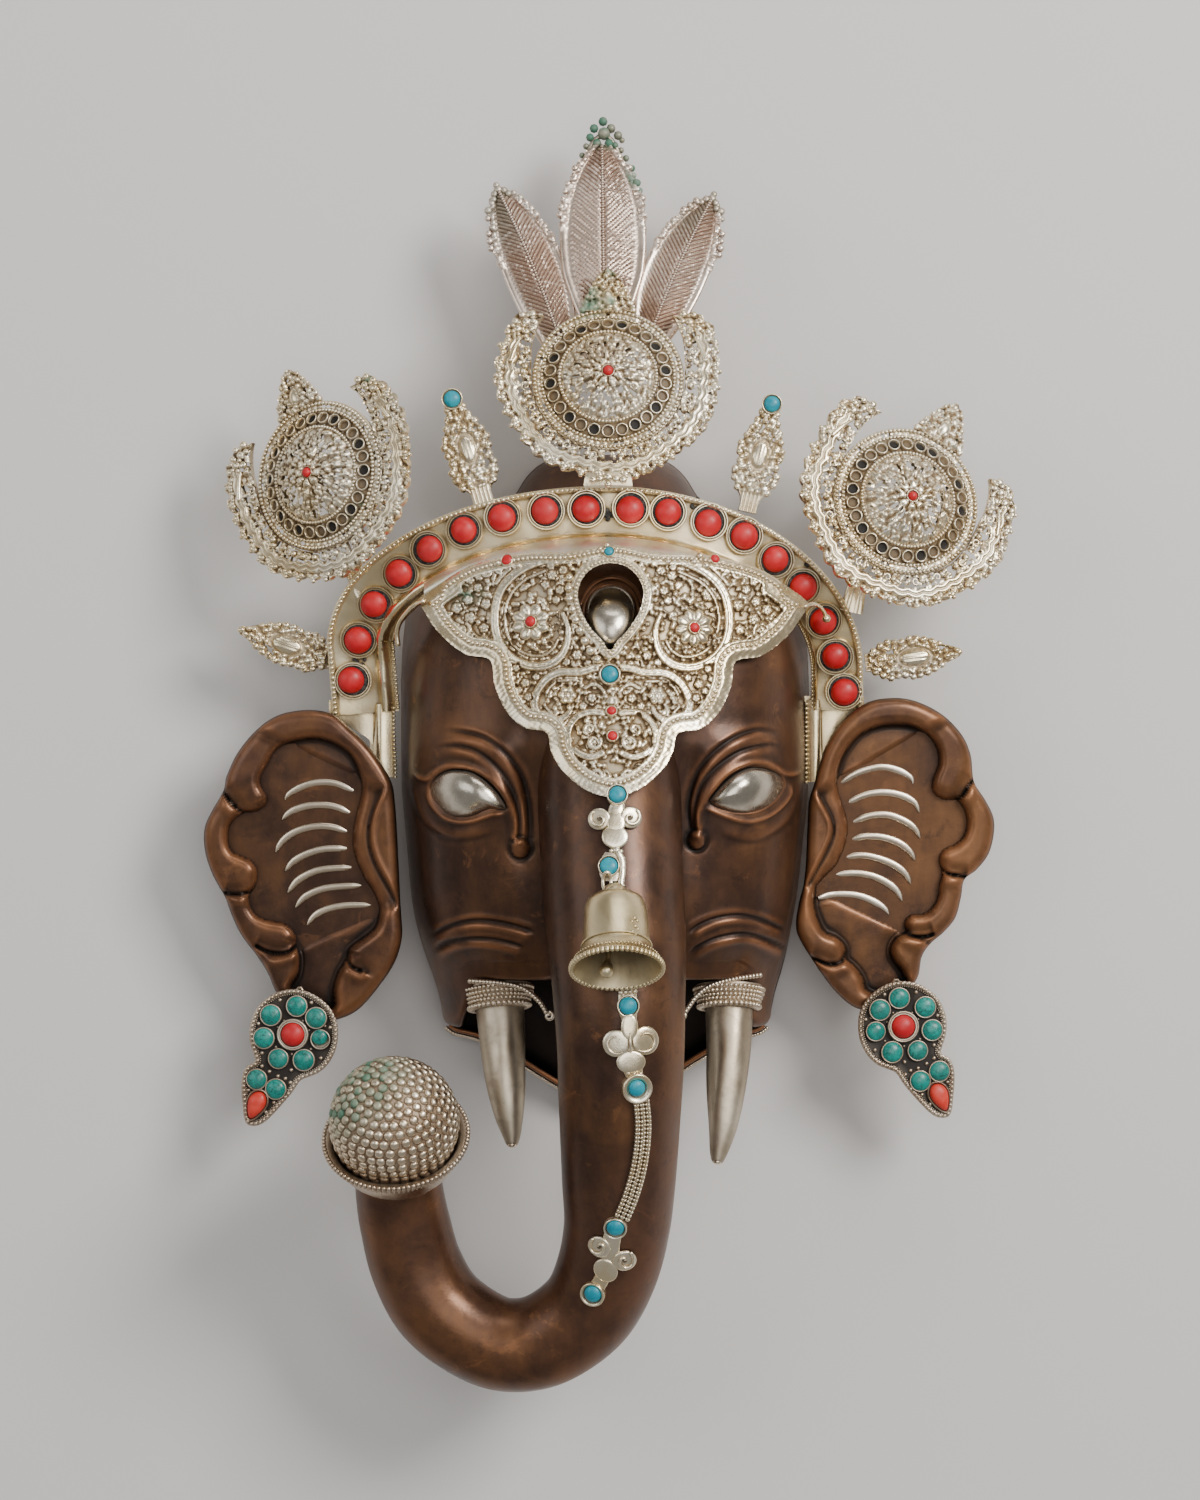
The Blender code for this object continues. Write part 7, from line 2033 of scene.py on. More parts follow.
# root plate behind the middle rosette
rp = np.array([(577, 322), (604, 312), (631, 322), (637, 342), (630, 356), (604, 362), (578, 356), (571, 342)], float)
Surf(lambda u, v, h: at(u, v, h)).slab(pc, curve(rp, 40, True), 55.6, 58.6)
pc.build("plume_leaves", [PLUME_SILVER], "plume", "worn_silver", angle=60)


# ------------------------------------------------------------------ finials
def finial(name, node, foot, tip, half, widths, seed, cup, oval, sideways=False):
    A_, B_ = at(*foot), at(*tip)
    D_ = unit(B_ - A_)
    S_ = unit(np.cross(D_, [0, 0, 1.0]))
    N_ = np.cross(S_, D_)
    length = np.linalg.norm(B_ - A_) / UNIT
    wf = steps(np.linspace(0, 1, len(widths)), widths)
    T, S = np.meshgrid(np.linspace(0, 1, 84), np.linspace(-1, 1, 34), indexing="ij")
    w = half * wf(T) * (0.94 + 0.12 * np.abs(np.sin(T * 16 + seed)))
    U, V = S * w, T * length
    g, fr, rv = granules(U, V, 6.4, seed, 2.0)
    ou, ov = (oval[0] - 0.0), oval[1]
    ell = np.hypot(U / (8.0 if not sideways else 8.5), (V - ou * length) / (13.5 if not sideways else 15.0))
    leafv = 0.25 * np.cos(U * 1.7) * (ell < 0.8)
    crown = 1.0 * (1 - S ** 2)
    h = g * 0.9 + 0.7 + crown
    h = np.where(ell < 1.28, 1.0 + crown, h)
    h = np.where(ell < 1, 1.5 + crown + 1.2 * np.sqrt(np.maximum(1 - ell ** 2, 0)) + leafv, h)
    # painted shade round the oval and in the gaps between granules
    dk = np.where(ell < 1, 0, np.where(ell < 1.28, 0.45, 0.7 * smooth(0.42, 0.56, fr)))
    stem = T < 0.17 if not sideways else T < 0.04
    h = np.where(stem, 1.2 + 0.5 * np.cos(U * 1.6), h)
    dk = np.where(stem, 0.15 * (np.cos(U * 1.6) < -0.3), dk)
    h = np.where(np.abs(S) > 0.97, 0.1, h)
    hole = (fr > 0.48) & (rv > 0.60) & (np.abs(S) < 0.75) & (T > 0.2) & (T < 0.9) & (ell > 1.35)
    keep = ~(hole[:-1, :-1] & hole[1:, :-1] | hole[:-1, 1:] & hole[1:, 1:])
    place = lambda u, v, hh: A_ + S_ * (np.asarray(u) * UNIT)[..., None] + D_ * (np.asarray(v) * UNIT)[..., None] + N_ * (np.asarray(hh) * 0.001)[..., None]
    pc = Piece()
    relief_sheet(pc, place, U, V, h, keep=keep, back=-0.9, tint=np.stack([dk, 0 * dk, 0 * dk], -1), flip=False)
    Fr = np.stack([S_, D_, N_])[None]
    r_ = np.random.default_rng(seed)
    for k in range(10):
        t = (0.20 if not sideways else 0.10) + 0.078 * k
        hw = half * wf(t) - 1.5
        for sg in (-1, 1):
            pc.stamp(PETAL, place(np.array([sg * hw]), np.array([t * length]), np.array([1.2])), Fr, np.array([[r_.uniform(3.1, 4.2) * UNIT] * 3]), tint=(0, 0, 0))
    if cup:
        pc.stamp(BEZEL, place(np.array([0.0]), np.array([cup * length]), np.array([2.2])), Fr, 5.6 * UNIT, tint=(0, 0, 0))
        # floor of the cup painted dark as shade
        pc.stamp(lathe([(1.0, 0), (0.3, -0.1)], 14), place(np.array([0.0]), np.array([cup * length]), np.array([2.2])), Fr, 5.4 * UNIT, tint=(0.35, 0, 0))
    pc.stamp(PETAL, place(np.array([0.0]), np.array([length]), np.array([0.9])), Fr, 3.6 * UNIT)
    return pc, place, Fr, length


UPRIGHT = (0.40, 0.42, 0.80, 1.0, 0.86, 1.0, 0.84, 0.62, 0.40, 0.36)
SIDEWAYS = (0.42, 0.62, 0.95, 0.86, 1.0, 0.90, 0.70, 0.42, 0.20)
for node, foot, tip, hw, sd, cup, ov in (("finial_upper_left", (485, 506, 69.5), (452, 398, 64), 24, 51, 0.28, (0.52, 0)),
                                         ("finial_upper_right", (747, 512, 69.5), (772, 403, 64), 23, 62, 0.25, (0.52, 0))):
    pc, pl, Fr, L_ = finial(node, node, foot, tip, hw, UPRIGHT, sd, cup, ov)
    pc.build(node + "_leaf", [SILVER], node, "silvered_copper")
for node, foot, tip, hw, sd, cup, ov in (("finial_side_left", (334, 660, 46), (241, 630, 42), 21, 73, 0.14, (0.50, 0)),
                                         ("finial_side_right", (865, 663, 46), (959, 652, 42), 21, 84, 0.15, (0.52, 0))):
    pc, pl, Fr, L_ = finial(node, node, foot, tip, hw, SIDEWAYS, sd, cup, ov, True)
    pc.build(node + "_leaf", [SILVER], node, "silvered_copper")
for node, x, y, r in (("finial_stone_left", 452, 399, 8.4), ("finial_stone_right", 772, 404, 8.0)):
    pc = Piece()
    I3 = np.eye(3)[None]
    pc.stamp(BEZEL, at([x], [y], 67.2), I3, 1.24 * r * UNIT, mat=1)
    pc.stamp(lathe([(1.28, -0.5), (1.26, -0.1), (1.05, 0.0)], 26), at([x], [y], 67.0), I3, r * UNIT, mat=1)
    pc.stamp(CABOCHON, at([x], [y], 67.2), I3, np.array([[r * UNIT, r * UNIT, r * 0.66 * UNIT]]))
    pc.build(node + "_set", [TURQUOISE, SILVER], node, "turquoise")

# ------------------------------------------------------------------ ear pendants
PILLOW = lathe([(1.0, -0.5), (1.0, 0.10), (0.955, 0.24), (0.84, 0.36), (0.60, 0.44), (0.28, 0.47)], 22)
SOCKET = lathe([(1.0, -0.3), (1.0, 0.34), (0.965, 0.42), (0.90, 0.42), (0.86, 0.34), (0.84, 0.02), (0.80, -0.02)], 22)
RING_P = [(220 + a / 8.714, 960 + b / 8.714) for a, b in (
    (600, 255), (700, 258), (800, 290), (900, 355), (975, 440), (1018, 540), (1028, 640), (1018, 745), (985, 838), (925, 928), (850, 988), (775, 1018),
    (705, 1048), (668, 1095), (625, 1160), (550, 1248), (485, 1320), (405, 1400), (330, 1442), (250, 1440), (212, 1385), (196, 1250), (186, 1100), (196, 1000),
    (232, 925), (305, 880), (290, 815), (262, 720), (255, 620), (275, 515), (330, 405), (420, 322), (510, 275))]
STONES_P = [(297, 1006, 11.0), (316.3, 1017.8, 11.2), (320.5, 1039.3, 10.2), (304, 1060, 11.4), (278.5, 1058.5, 10.6), (264, 1038, 11.2), (271, 1015, 11.2),
            (256.8, 1079.2, 11.0), (276, 1089, 11.0)]
GRAINS_P = [(280, 1000), (311.5, 1002.5), (330.3, 1027.5), (321, 1058), (291.4, 1070), (258.5, 1023.5), (262, 1053), (269.5, 1071.5), (248.5, 1090), (290.5, 1082.5),
            (274, 1102.5), (278, 1076), (285.5, 1078.5), (302, 1075.5), (262, 1066), (266, 1112)]
TEAR_P = [(220 + a / 8.714, 960 + b / 8.714) for a, b in ((330, 1148), (378, 1160), (402, 1205), (400, 1255), (372, 1305), (325, 1352), (280, 1380), (252, 1375),
                                                          (240, 1330), (238, 1270), (250, 1210), (285, 1165))]


def earring(side, node, coral_node):
    left = side == "left"
    cx, cy = (293.5, 1034.0) if left else (902.5, 1026.0)
    tr = (lambda p: np.asarray(p, float)) if left else (lambda p: np.stack([cx - (np.asarray(p, float)[:, 0] - 293.5), cy + np.asarray(p, float)[:, 1] - 1034.0], 1))
    sx = 1 if left else -1
    S = Surf(lambda u, v, h: at(u, v, 45.6 + 0.045 * sx * (np.asarray(u) - cx) - 0.018 * (np.asarray(v) - cy) + h))
    out = curve(tr(RING_P), 170, True)
    pc = Piece()
    ctr = out.mean(0)
    inner = curve(tr([(x + (ctr[0] if left else 0) * 0, y) for x, y in RING_P]), 170, True)
    t_ = np.roll(out, -1, 0) - np.roll(out, 1, 0)
    t_ = t_ / np.linalg.norm(t_, axis=1, keepdims=True)
    nin = np.stack([t_[:, 1], -t_[:, 0]], 1)
    if not inside((out + nin * 4)[10:11, 0], (out + nin * 4)[10:11, 1], out)[0]:
        nin = -nin
    rows, lv = [], []
    for k, h in ((0.0, -0.8), (0.0, 1.2), (0.8, 1.6), (4.2, 1.6), (4.8, 1.2), (5.4, 0.7)):
        q = out + nin * k
        rows.append(S.place(q[:, 0], q[:, 1], np.full(len(q), h)))
        lv.append(0.15 if k < 4.5 else 0.8)
    for f in (0.7, 0.35, 0.03):
        q = ctr + (out + nin * 5.4 - ctr) * f
        rows.append(S.place(q[:, 0], q[:, 1], np.full(len(q), 0.7)))
        lv.append(0.88)
    lv = np.array(lv)[:, None] + np.zeros((1, len(out)))
    pc.grid(np.array(rows), wrap=True, tint=np.stack([lv, 0 * lv, 0 * lv], -1), cap1=True, flip=left)
    bk = np.array([rows[0]] + [S.place(*(ctr + (out - ctr) * f).T, np.full(len(out), -0.8)) for f in (0.5, 0.03)])
    pc.grid(bk, wrap=True, tint=(0.4, 0, 0), cap1=True, flip=not left)
    S.row(pc, out + nin * 2.4, 2.15, 4.5, 1.5, BALL, closed=True, tint=(0.10, 0, 0))
    S.row(pc, out + nin * 5.2, 0.9, 2.2, 1.2, BEAD, closed=True, tint=(0.25, 0, 0))
    r_ = np.random.default_rng(5 if left else 9)
    st = tr([(x, y) for x, y, r in STONES_P])
    for k, ((x, y), (_, _, r)) in enumerate(zip(st, STONES_P)):
        chipped = left and k == 2
        S.put(pc, [(x, y)], r * 1.03, 1.0, SOCKET, tall=0.62, tint=(0.22, 0, 0))
        pos = (x - 1.0, y - 2.2) if chipped else (x, y)
        S.put(pc, [pos], r * (0.80 if chipped else 0.93), 1.2, CABOCHON, mat=1, tall=0.60 if not chipped else 0.62, ang=[k * 1.3], tint=(0.10 * (k % 3 == 1), 0, 0))
    S.put(pc, tr(GRAINS_P), 2.3, 0.7, BALL, tint=(0.05, 0, 0))
    fill = tr([(284, 1021), (303, 1021), (309, 1030), (311, 1049), (292, 1054), (276, 1047), (278, 1027), (266, 1090), (288, 1048), (325, 1026), (270, 1000), (250, 1070)])
    S.put(pc, fill, 1.6, 0.7, GRAIN, tint=(0.3, 0, 0))
    c = tr([(293, 1034.4)])
    S.put(pc, c, 16.4, 1.3, SOCKET, tall=0.62, tint=(0.18, 0, 0))
    S.put(pc, c, 14.2, 1.3, lathe([(1.0, 0.30), (0.98, 0.36), (0.90, 0.36), (0.88, 0.28)], 30, close=False), tall=0.8, tint=(0.1, 0, 0))
    # red drop
    t = curve(tr(TEAR_P), 40, True)
    tc = t.mean(0)
    rr = []
    for f, h in ((1.0, 0.8), (1.0, 2.0), (0.93, 3.1), (0.78, 3.9), (0.55, 4.4), (0.25, 4.6)):
        q = tc + (t - tc) * f
        rr.append(S.place(q[:, 0], q[:, 1], np.full(len(q), h)))
    pc.grid(np.array(rr), wrap=True, mat=2, cap1=True, flip=left)
    S.wire(pc, tc + (t - tc) * 1.13, 1.3, 1.7, 6, closed=True, tint=(0.2, 0, 0))
    # small loop on the lobe
    S.wire(pc, tr([(296, 993), (298, 988), (302, 988), (303, 993)]), 1.5, 1.4, 6)
    pc.build("ear_pendant_%s_set" % side, [EARRING, TEAL, RED_CORAL], node, "silvered_copper", angle=60)
    pc = Piece()
    S.put(pc, c, 12.3, 1.6, CABOCHON, tall=0.78, tint=(0.04, 0, 0))
    pc.build("pendant_coral_%s_stone" % side, [CORAL], coral_node, "coral")


EARRING = silver_material("earring_silver", (0.74, 0.63, 0.50), (0.55, 0.42, 0.30), (0.040, 0.028, 0.020), rough=(0.26, 0.42), occ_dist=0.002, occ_power=0.75, blotch=0.5)
RED_CORAL = stone_material("coral_orange", (0.60, 0.030, 0.016), (0.70, 0.055, 0.032), (0.25, 0.06, 0.04), rough=0.36, scale=150.0, pits=0.2)
earring("left", "ear_pendant_left", "pendant_coral_left")
earring("right", "ear_pendant_right", "pendant_coral_right")


# ------------------------------------------------------------------ trunk ornaments
def tt(u, v):
    u, v = np.broadcast_arrays(np.asarray(u, float), np.asarray(v, float))
    return trunk_top(u.ravel(), v.ravel()).reshape(u.shape)


trunk = Surf(lambda u, v, h: at(u, v, tt(u, v) + h))


def gem(pc, x, y, r, rim, lift, mat):
    trunk.put(pc, [(x, y)], rim, lift, lathe([(1.0, -0.6), (1.0, 0.26), (0.96, 0.34), (0.90, 0.34), (r / rim * 1.10, 0.26), (r / rim * 1.06, 0.10), (r / rim * 0.9, 0.06)], 30))
    # dark ring under the stone's edge: painted shade
    trunk.put(pc, [(x, y)], r * 1.06, lift + 0.6, lathe([(1.0, 0.0), (0.9, 0.12), (0.7, 0.1)], 22), tint=(0.9, 0, 0))
    trunk.put(pc, [(x, y)], r, lift + 0.9, CABOCHON, mat=mat, tall=0.62)


def lobe(pc, x, y, rx, ry=None, lift=0.6, ang=0.0, tall=0.55, curl=0, tint=(0.0, 0, 0)):
    ry = ry or rx
    trunk.put(pc, [(x, y)], rx, lift + 1.2, PILLOW, tall=tall * 12.0 / rx * 0.55, ang=[ang], long=ry / rx, tint=tint)
    if curl:
        c = spiral(x, y, rx * 0.86, 1.4, ang + (0.6 if curl > 0 else -0.6), 1.05 * curl, 18)
        trunk.wire(pc, c, 1.7, lift + 2.7, 7, pitch=1.8, taper=(1, 1, 0.8))
        # dark centre of the curl: painted shade
        trunk.put(pc, [(x, y)], 2.2, lift + 2.9, lathe([(1.0, 0.2), (0.5, 0.0)], 10), tint=(0.8, 0, 0))


def strip(pc, rows, lift, thick, n=30, tint=(0, 0, 0)):
    c = curve(rows, n)
    d = np.gradient(c[:, :2], axis=0)
    d = d / np.linalg.norm(d, axis=1, keepdims=True)
    side = np.stack([d[:, 1], -d[:, 0]], 1)
    prof = ((-1.0, 0.0), (-0.98, 0.5), (-0.85, 0.82), (-0.45, 0.97), (0, 1.0), (0.45, 0.97), (0.85, 0.82), (0.98, 0.5), (1.0, 0.0))
    G = []
    for k, h in prof:
        q = c[:, :2] + side * (c[:, 2] * k)[:, None]
        G.append(trunk.place(q[:, 0], q[:, 1], lift + thick * h + 0 * q[:, 0]))
    pc.grid(np.array(G), tint=tint)


pc = Piece()
strip(pc, ((617.5, 801, 6.5), (617.5, 806, 8), (616.5, 813, 9), (615.5, 822, 9), (615, 830, 9), (615, 838, 8)), 0.6, 1.9)
lobe(pc, 599, 819, 11.2, 11.0, curl=-1)
lobe(pc, 631, 817.5, 11.4, 11.0, curl=1)
lobe(pc, 615, 836.7, 13.2, 12.0, tall=0.62)
lobe(pc, 616, 822, 9.5, 12, tall=0.66)
trunk.put(pc, [(616.5, 850.5), (611.5, 851), (621, 851.5)], (4.2, 2.6, 2.6), 1.4, BALL)
strip(pc, ((613, 853, 8), (612, 860, 11), (611, 868, 12), (611, 876, 11), (611, 881, 8)), 0.6, 1.2)
strip(pc, ((618, 852, 3), (622, 860, 3.4), (622.5, 872, 3.4), (621, 884, 3.2), (623, 894, 3.0), (623.5, 901, 2.6)), 0.8, 2.2)
for k in range(9):
    trunk.put(pc, [(622.3 + 0.6 * math.sin(k), 858 + 4.6 * k)], 3.5, 2.0, BEAD, tall=0.6, long=0.5)
gem(pc, 608.8, 866.3, 8.8, 10.8, 1.4, 1)
lp = ring_pts(6.2, 26, cx=611.5, cy=892)
P_ = trunk.place(lp[:, 0], lp[:, 1], 4.0 + 1.5 * np.sin(np.arange(26) * 0.48))
pc.tube(P_, 0.00105, 8, closed=True)
lp = ring_pts(5.2, 24, cx=607.0, cy=882)
P_ = trunk.place(lp[:, 0] * 0.8 + 607 * 0.2, 882 + (lp[:, 1] - 882) * 1.9, 3.6 + 1.2 * np.cos(np.arange(24) * 0.52))
pc.tube(P_, 0.00085, 7, closed=True)
lp = ring_pts(5.0, 24, cx=618, cy=897)
pc.tube(trunk.place(lp[:, 0], lp[:, 1], 3.2 + 0 * lp[:, 0]), 0.0009, 7, closed=True)
pc.build("trunk_pendant_upper_set", [SILVER, TURQUOISE], "trunk_pendant_upper", "silvered_copper")

pc = Piece()
for k in range(4):
    trunk.put(pc, [(621 + 4.6 * k, 992.5 - 0.4 * k)], 2.9, 2.2, BALL, tall=0.9)
    trunk.put(pc, [(622 + 4.2 * k, 997.5)], 2.3, 2.2, BEAD, tall=0.9)
strip(pc, ((627.5, 988, 9), (627.5, 996, 9.5), (628, 1010, 10), (629, 1018, 8), (629, 1026, 8), (630, 1036, 9), (631, 1050, 11), (632, 1064, 12), (634, 1074, 9), (636, 1084, 10)), 1.0, 1.5, 44)
gem(pc, 628, 1006, 8.8, 11.2, 1.8, 1)
lobe(pc, 616, 1043.5, 13.2, 13.5, lift=1.2, curl=0, tall=0.62, ang=0.4)
lobe(pc, 645.4, 1040.5, 14.2, 14.2, lift=1.2, curl=0, tall=0.62, ang=-0.4)
lobe(pc, 631, 1062, 14.5, 11.5, lift=1.2, tall=0.66)
lobe(pc, 629.5, 1027, 8.5, 14, lift=1.4, tall=0.7)
trunk.wire(pc, spiral(616, 1043.5, 11.2, 5.5, 2.4, 0.75, 14), 1.5, 4.0, 7, pitch=1.8, taper=(0.2, 1, 0.2))
trunk.wire(pc, spiral(645.4, 1040.5, 12.0, 6.0, -2.4, -0.75, 14), 1.5, 4.0, 7, pitch=1.8, taper=(0.2, 1, 0.2))
trunk.wire(pc, ((630, 1033), (630.5, 1043), (631, 1053)), 1.6, 4.1, 7, taper=(0.2, 1, 0.3))
trunk.put(pc, [(628, 1073), (634, 1074.5), (640, 1074)], 3.0, 1.8, BALL)
gem(pc, 636.6, 1088, 8.6, 15.2, 1.8, 1)
cl = curve(((641.5, 1101), (643.3, 1120), (643, 1138), (641, 1156), (637.7, 1173.5), (633, 1190), (628.5, 1203), (622.5, 1217)), 60)
d_ = np.gradient(cl, axis=0)
d_ = d_ / np.linalg.norm(d_, axis=1, keepdims=True)
nr = np.stack([d_[:, 1], -d_[:, 0]], 1)
for k, off in enumerate((-5.5, 0.0, 5.5)):
    trunk.row(pc, cl + nr * off, 2.75, 3.9, 2.0, BALL, tall=0.95, tint=(0.0, 0, 0))
    for j, o2 in enumerate((-1.3, 1.3)):
        trunk.row(pc, cl + nr * (off + o2), 1.35, 3.9, 3.3 + 0.1 * j, BEAD, tint=(0.0, 0, 0))
# the strip under the bead rows is painted darker, as shade under the chain
strip(pc, [(float(x), float(y), 8.0) for x, y in cl[::6]], 0.9, 0.9, 40, tint=(0.55, 0, 0))
gem(pc, 615.4, 1227.5, 8.8, 11.8, 1.6, 1)
strip(pc, ((618, 1222, 7), (613, 1234, 9), (611, 1246, 9), (610, 1258, 9), (606, 1270, 8), (600, 1282, 8), (594, 1291, 8)), 0.8, 1.6, 30)
lobe(pc, 599, 1247, 12.0, 11.5, lift=1.0, curl=-1)
lobe(pc, 624.6, 1261, 12.0, 11.5, lift=1.0, curl=1)
lobe(pc, 605.5, 1270.5, 12.0, 13.5, lift=1.0, tall=0.62, ang=0.5)
gem(pc, 593, 1293.6, 8.8, 12.8, 1.8, 1)
pc.build("trunk_pendant_lower_set", [SILVER, TURQUOISE], "trunk_pendant_lower", "silvered_copper")

# ------------------------------------------------------------------ bell
tilt = math.radians(28)
b_axis = unit(np.array([0.02, -math.cos(tilt), math.sin(tilt)]))
MOUTH = at(617, 968, 168.2)


def turned(pc, centre, axis, profile, seg, mat=0, tint=None, ribs=None, caps=(False, False)):
    u = unit(np.cross(axis, [1.0, 0, 0]))
    v = np.cross(axis, u)
    a = np.arange(seg) * 2 * math.pi / seg
    G = []
    for k, (r, s) in enumerate(profile):
        rr = r * (1 + (ribs[k] * np.sin(26 * a) if ribs is not None else 0 * a))
        G.append(centre + axis * s + rr[:, None] * (u * np.cos(a)[:, None] + v * np.sin(a)[:, None]))
    t = None
    if tint is not None:
        tint = np.asarray(tint, float)
        t = np.repeat(tint[:, None, :], seg, 1) if tint.ndim == 2 else tint
    pc.grid(np.array(G), wrap=True, mat=mat, tint=t, cap0=caps[0], cap1=caps[1])


def ring_beads(pc, centre, axis, r, s, br, n, tpl=BALL, mat=0, tint=None, phase=0.0):
    u = unit(np.cross(axis, [1.0, 0, 0]))
    v = np.cross(axis, u)
    a = np.arange(n) * 2 * math.pi / n + phase
    dirs = u * np.cos(a)[:, None] + v * np.sin(a)[:, None]
    pc.stamp(tpl, centre + axis * s + r * dirs, frames_from(np.tile(axis, (n, 1)), dirs), br, mat, tint)


pc = Piece()
o_prof = [(.0006, -.0400), (.0022, -.0399), (.0036, -.0392), (.0046, -.0380), (.0050, -.0368), (.0052, -.0348), (.0072, -.0342), (.0100, -.0335), (.0122, -.0318), (.0134, -.0292), (.0139, -.0250),
          (.0142, -.0190), (.0146, -.0120), (.0150, -.0084), (.0160, -.0058), (.0174, -.0036), (.0188, -.0022), (.0196, -.0014), (.0200, -.0004), (.0200, .0006)]
turned(pc, MOUTH, b_axis, o_prof, 64, caps=(True, False))
i_prof = [(.0200, .0006), (.0190, .0006), (.0182, -.0008), (.0172, -.0030), (.0156, -.0058), (.0142, -.0090), (.0134, -.0140), (.0128, -.0200), (.0124, -.0270), (.0110, -.0300), (.0010, -.0318)]
# inside painted darker further in, as shade
turned(pc, MOUTH, b_axis, i_prof, 64, tint=[(0.0 + 0.66 * min(1, k / 5.0), 0, 0) for k in range(len(i_prof))], ribs=[0, 0, .004, .012, .014, .014, .012, .01, .008, 0, 0])
ring_beads(pc, MOUTH, b_axis, .0198, .0004, .00112, 58)
ring_beads(pc, MOUTH, b_axis, .0184, -.0036, .0005, 70, BEAD)
for s_, r_ in ((-.0346, .0053), (-.0102, .0151)):
    u = unit(np.cross(b_axis, [1.0, 0, 0]))
    v = np.cross(b_axis, u)
    a_ = np.arange(60) * 2 * math.pi / 60
    pc.tube(MOUTH + b_axis * s_ + r_ * (u * np.cos(a_)[:, None] + v * np.sin(a_)[:, None]), 0.00045, 6, closed=True)
# small raised sprig on the bell's shoulder
for k, (dx, dy, r) in enumerate(((634, 917, 2.6), (637, 921, 2.2), (631, 922, 2.2), (634, 926, 2.4), (637, 930, 1.8), (632, 931, 1.8), (634, 936, 2.0))):
    p = at(dx, dy, 0)
    # put it on the front of the turned wall
    best = None
    for s_ in np.linspace(-.033, -.010, 24):
        rr = np.interp(s_, [q[1] for q in o_prof], [q[0] for q in o_prof])
        c_ = MOUTH + b_axis * s_
        for a2 in np.linspace(-1.2, 1.2, 25):
            up_ = unit(np.array([0, 0, 1.0]) - b_axis * b_axis[2])
            sd_ = np.cross(b_axis, up_)
            w_ = c_ + rr * (up_ * math.cos(a2) + sd_ * math.sin(a2))
            sx_, sy_ = sheet(w_[None])
            e = (sx_[0] - dx) ** 2 + (sy_[0] - dy) ** 2
            if best is None or e < best[0]:
                best = (e, w_, unit(w_ - c_))
    pc.stamp(PETAL, [best[1]], frames_from([best[2]], [b_axis]), r * UNIT * 0.9)
pc.build("bell_body", [BELL_SILVER], "bell", "silvered_copper", angle=50)
pc = Piece()
top_ = MOUTH - b_axis * .0306
end_ = MOUTH + np.array([-.0046, -.0016, -.0040])
L_ = float(np.linalg.norm(end_ - top_))
turned(pc, top_, unit(end_ - top_), [(.0011, 0.0), (.0012, L_ - .0060), (.0014, L_ - .0044), (.0023, L_ - .0030), (.0030, L_ - .0012), (.0031, L_ - .0002), (.0027, L_ + .0012), (.0017, L_ + .0024), (.0006, L_ + .0028)], 20, caps=(True, True))
pc.build("bell_clapper_rod", [BELL_SILVER], "bell_clapper", "silvered_copper")

# ------------------------------------------------------------------ dish and sweet
d_axis = unit(np.array([-.06, .74, .67]))
DISH = at(396, 1137, 103)
pc = Piece()
d_prof = [(.0010, -.0206), (.0080, -.0206), (.0140, -.0204), (.0190, -.0188), (.0228, -.0162), (.0258, -.0126), (.0280, -.0086), (.0298, -.0048), (.0310, -.0016), (.0320, -.0002), (.0323, .0006), (.0318, .0010),
          (.0298, .0006), (.0284, -.0002), (.0274, -.0030), (.0262, -.0080), (.0240, -.0118), (.0212, -.0152), (.0130, -.0188), (.0010, -.0190)]
# inside of the bowl painted darker as shade
turned(pc, DISH, d_axis, d_prof, 76, caps=(True, True), tint=[(0.0 if k < 12 else 0.35, 0, 0) for k in range(len(d_prof))])
ring_beads(pc, DISH, d_axis, .0320, .0008, .00108, 92)
ring_beads(pc, DISH, d_axis, .0306, -.0030, .0005, 96, BEAD)
pc.build("sweet_dish_bowl", [EARRING], "sweet_dish", "silvered_copper", angle=60)
pc = Piece()
SC = DISH + d_axis * .0098
SR = .0276
u_, v_ = unit(np.cross(d_axis, [1.0, 0, 0])), None
v_ = np.cross(d_axis, u_)
prof = [(SR * math.sin(a), -SR * math.cos(a)) for a in np.linspace(0.10 * math.pi, 0.995 * math.pi, 28)]
# the ball under the bosses is painted darker, as shade between them
turned(pc, SC, d_axis, prof, 60, caps=(True, True), tint=[(0.55, 0, 0)] * 28)
O, N_, G_ = [], [], []
k_ = 0
for i in range(20):
    psi = math.radians(4.0 + 8.8 * i)
    if psi > math.radians(132):
        break
    n = max(4, int(round(2 * math.pi * math.sin(psi) * SR / 0.0046)))
    for j in range(n):
        a = 2 * math.pi * (j + 0.5 * (i % 2)) / n + 0.02 * math.sin(5 * j + i)
        d = d_axis * math.cos(psi) + (u_ * math.cos(a) + v_ * math.sin(a)) * math.sin(psi)
        O.append(SC + d * (SR - 0.0001))
        N_.append(d)
        G_.append(max(0.0, min(1.0, 2.0 * max(0.0, float(d @ unit(np.array([-0.66, 0.66, 0.36])))) ** 2.0 - 0.35)) * (0.6 + 0.4 * math.sin(i * 7.3 + j * 2.1)))
O, N_, G_ = np.array(O), np.array(N_), np.array(G_)
up_ = np.tile(d_axis + np.array([0.01, 0.02, 0.0]), (len(O), 1))
up_ = np.where(np.abs((N_ * d_axis).sum(1, keepdims=True)) > 0.999, np.array([[1.0, 0, 0]]), up_)
BOSS = lathe([(1.0, -0.25), (0.98, 0.10), (0.86, 0.42), (0.62, 0.64), (0.34, 0.72)], 11)
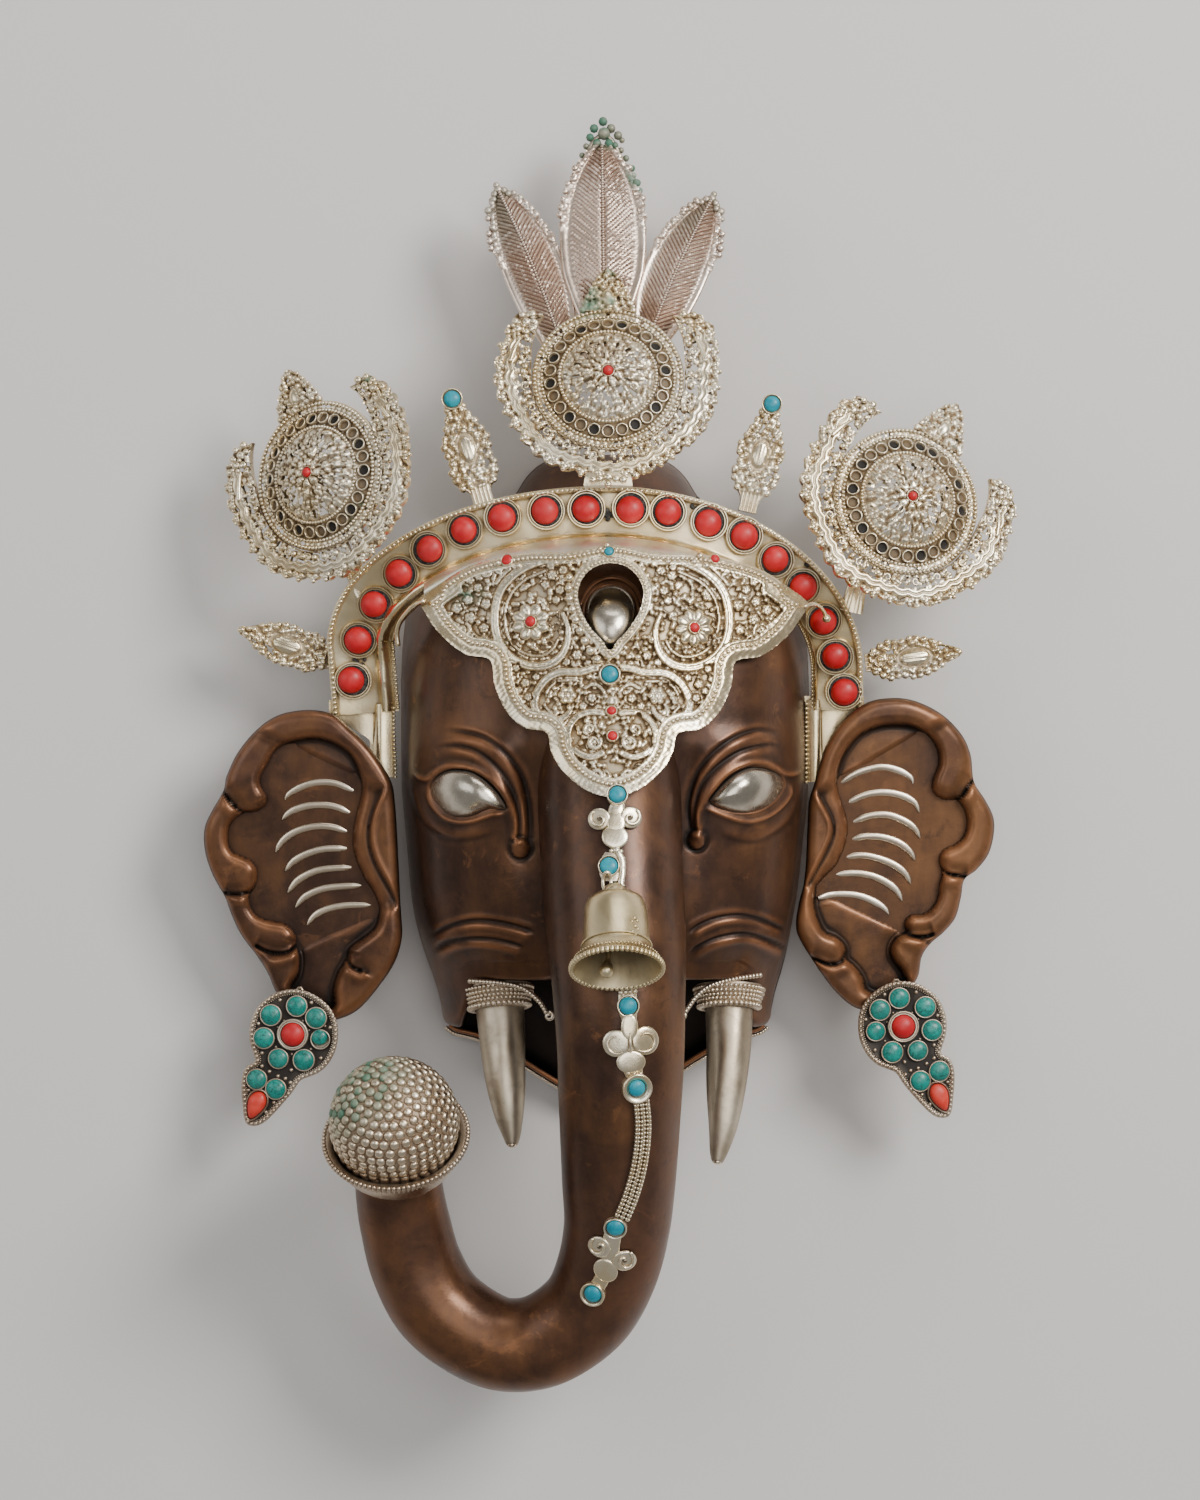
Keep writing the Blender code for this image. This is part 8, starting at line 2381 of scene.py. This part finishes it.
pc.stamp(BOSS, O, frames_from(N_, up_), np.tile([[.00222, .00222, .00205]], (len(O), 1)), 0, np.stack([0 * G_, 0 * G_, G_], 1))
pc.build("sweet_ball", [SWEET_SILVER], "sweet", "worn_silver", angle=70)

# smooth collar of the band that sweeps up under the plate's upper edge
pc = Piece()
up = PLATE_C[(PLATE_C[:, 1] < 606)]
up = up[np.argsort(up[:, 0])]
s_ = np.linspace(0.12, 0.92, 200)
bx, by, nx_, ny_ = band_edge(s_)
room_ = 21.0 - 15.0 * smooth(0.66, 0.86, s_)
dcrest = 45.0 + 6.0 * room_ / 21.0
bx, by = bx + nx_ * dcrest, by + ny_ * dcrest
bz = B_H(band_edge(s_)[1]) + 4.4 * (0.55 + 0.45 * room_ / 21.0)
xs = np.linspace(424, 806, 150)
yb, zb = np.interp(xs, bx, by), np.interp(xs, bx, bz)
yp = np.interp(xs, up[:, 0], up[:, 1])
zp = plate_z(xs, yp) - 1.3
t = np.linspace(0, 1, 9)[:, None]
Y = yb + (yp + 3.0 - yb) * t
Z = zb + (zp - zb) * t ** 1.2 + 2.4 * np.sin(math.pi * t) + 0.25 * np.sin(xs * 0.21) * np.sin(math.pi * t)
pc.grid(at(xs[None] + 0 * t, Y, np.minimum(Z, zp + 0.4 + 6 * (1 - t))), tint=(0.0, 0, 0))
pc.build("crown_band_collar", [ROLL_SILVER], (), "silvered_copper")

# feet of the band behind the tops of the ears
pc = Piece()
for xs, ylow, y0, zf in ((np.linspace(329, 393, 22), ((329, 345, 368, 384, 393), (720, 724, 738, 762, 779)), 700, 46.4),
                         (np.linspace(803, 864, 22), ((803, 815, 821, 840, 864), (783, 779, 764, 736, 716)), 696, 46.6)):
    yl = np.interp(xs, *ylow)
    t = np.linspace(0, 1, 6)[:, None]
    Y = y0 + (yl - y0) * t
    Z = zf + 0.9 - 1.2 * t + 0.3 * np.sin(xs * 0.16)
    pc.grid(at(xs[None] + 0 * t, Y, Z), tint=(0.15, 0, 0))
pc.build("crown_band_feet", [BAND_SILVER], (), "silvered_copper")

print("tris", sum(TRIS.values()), max(TRIS.values()), TRIS)
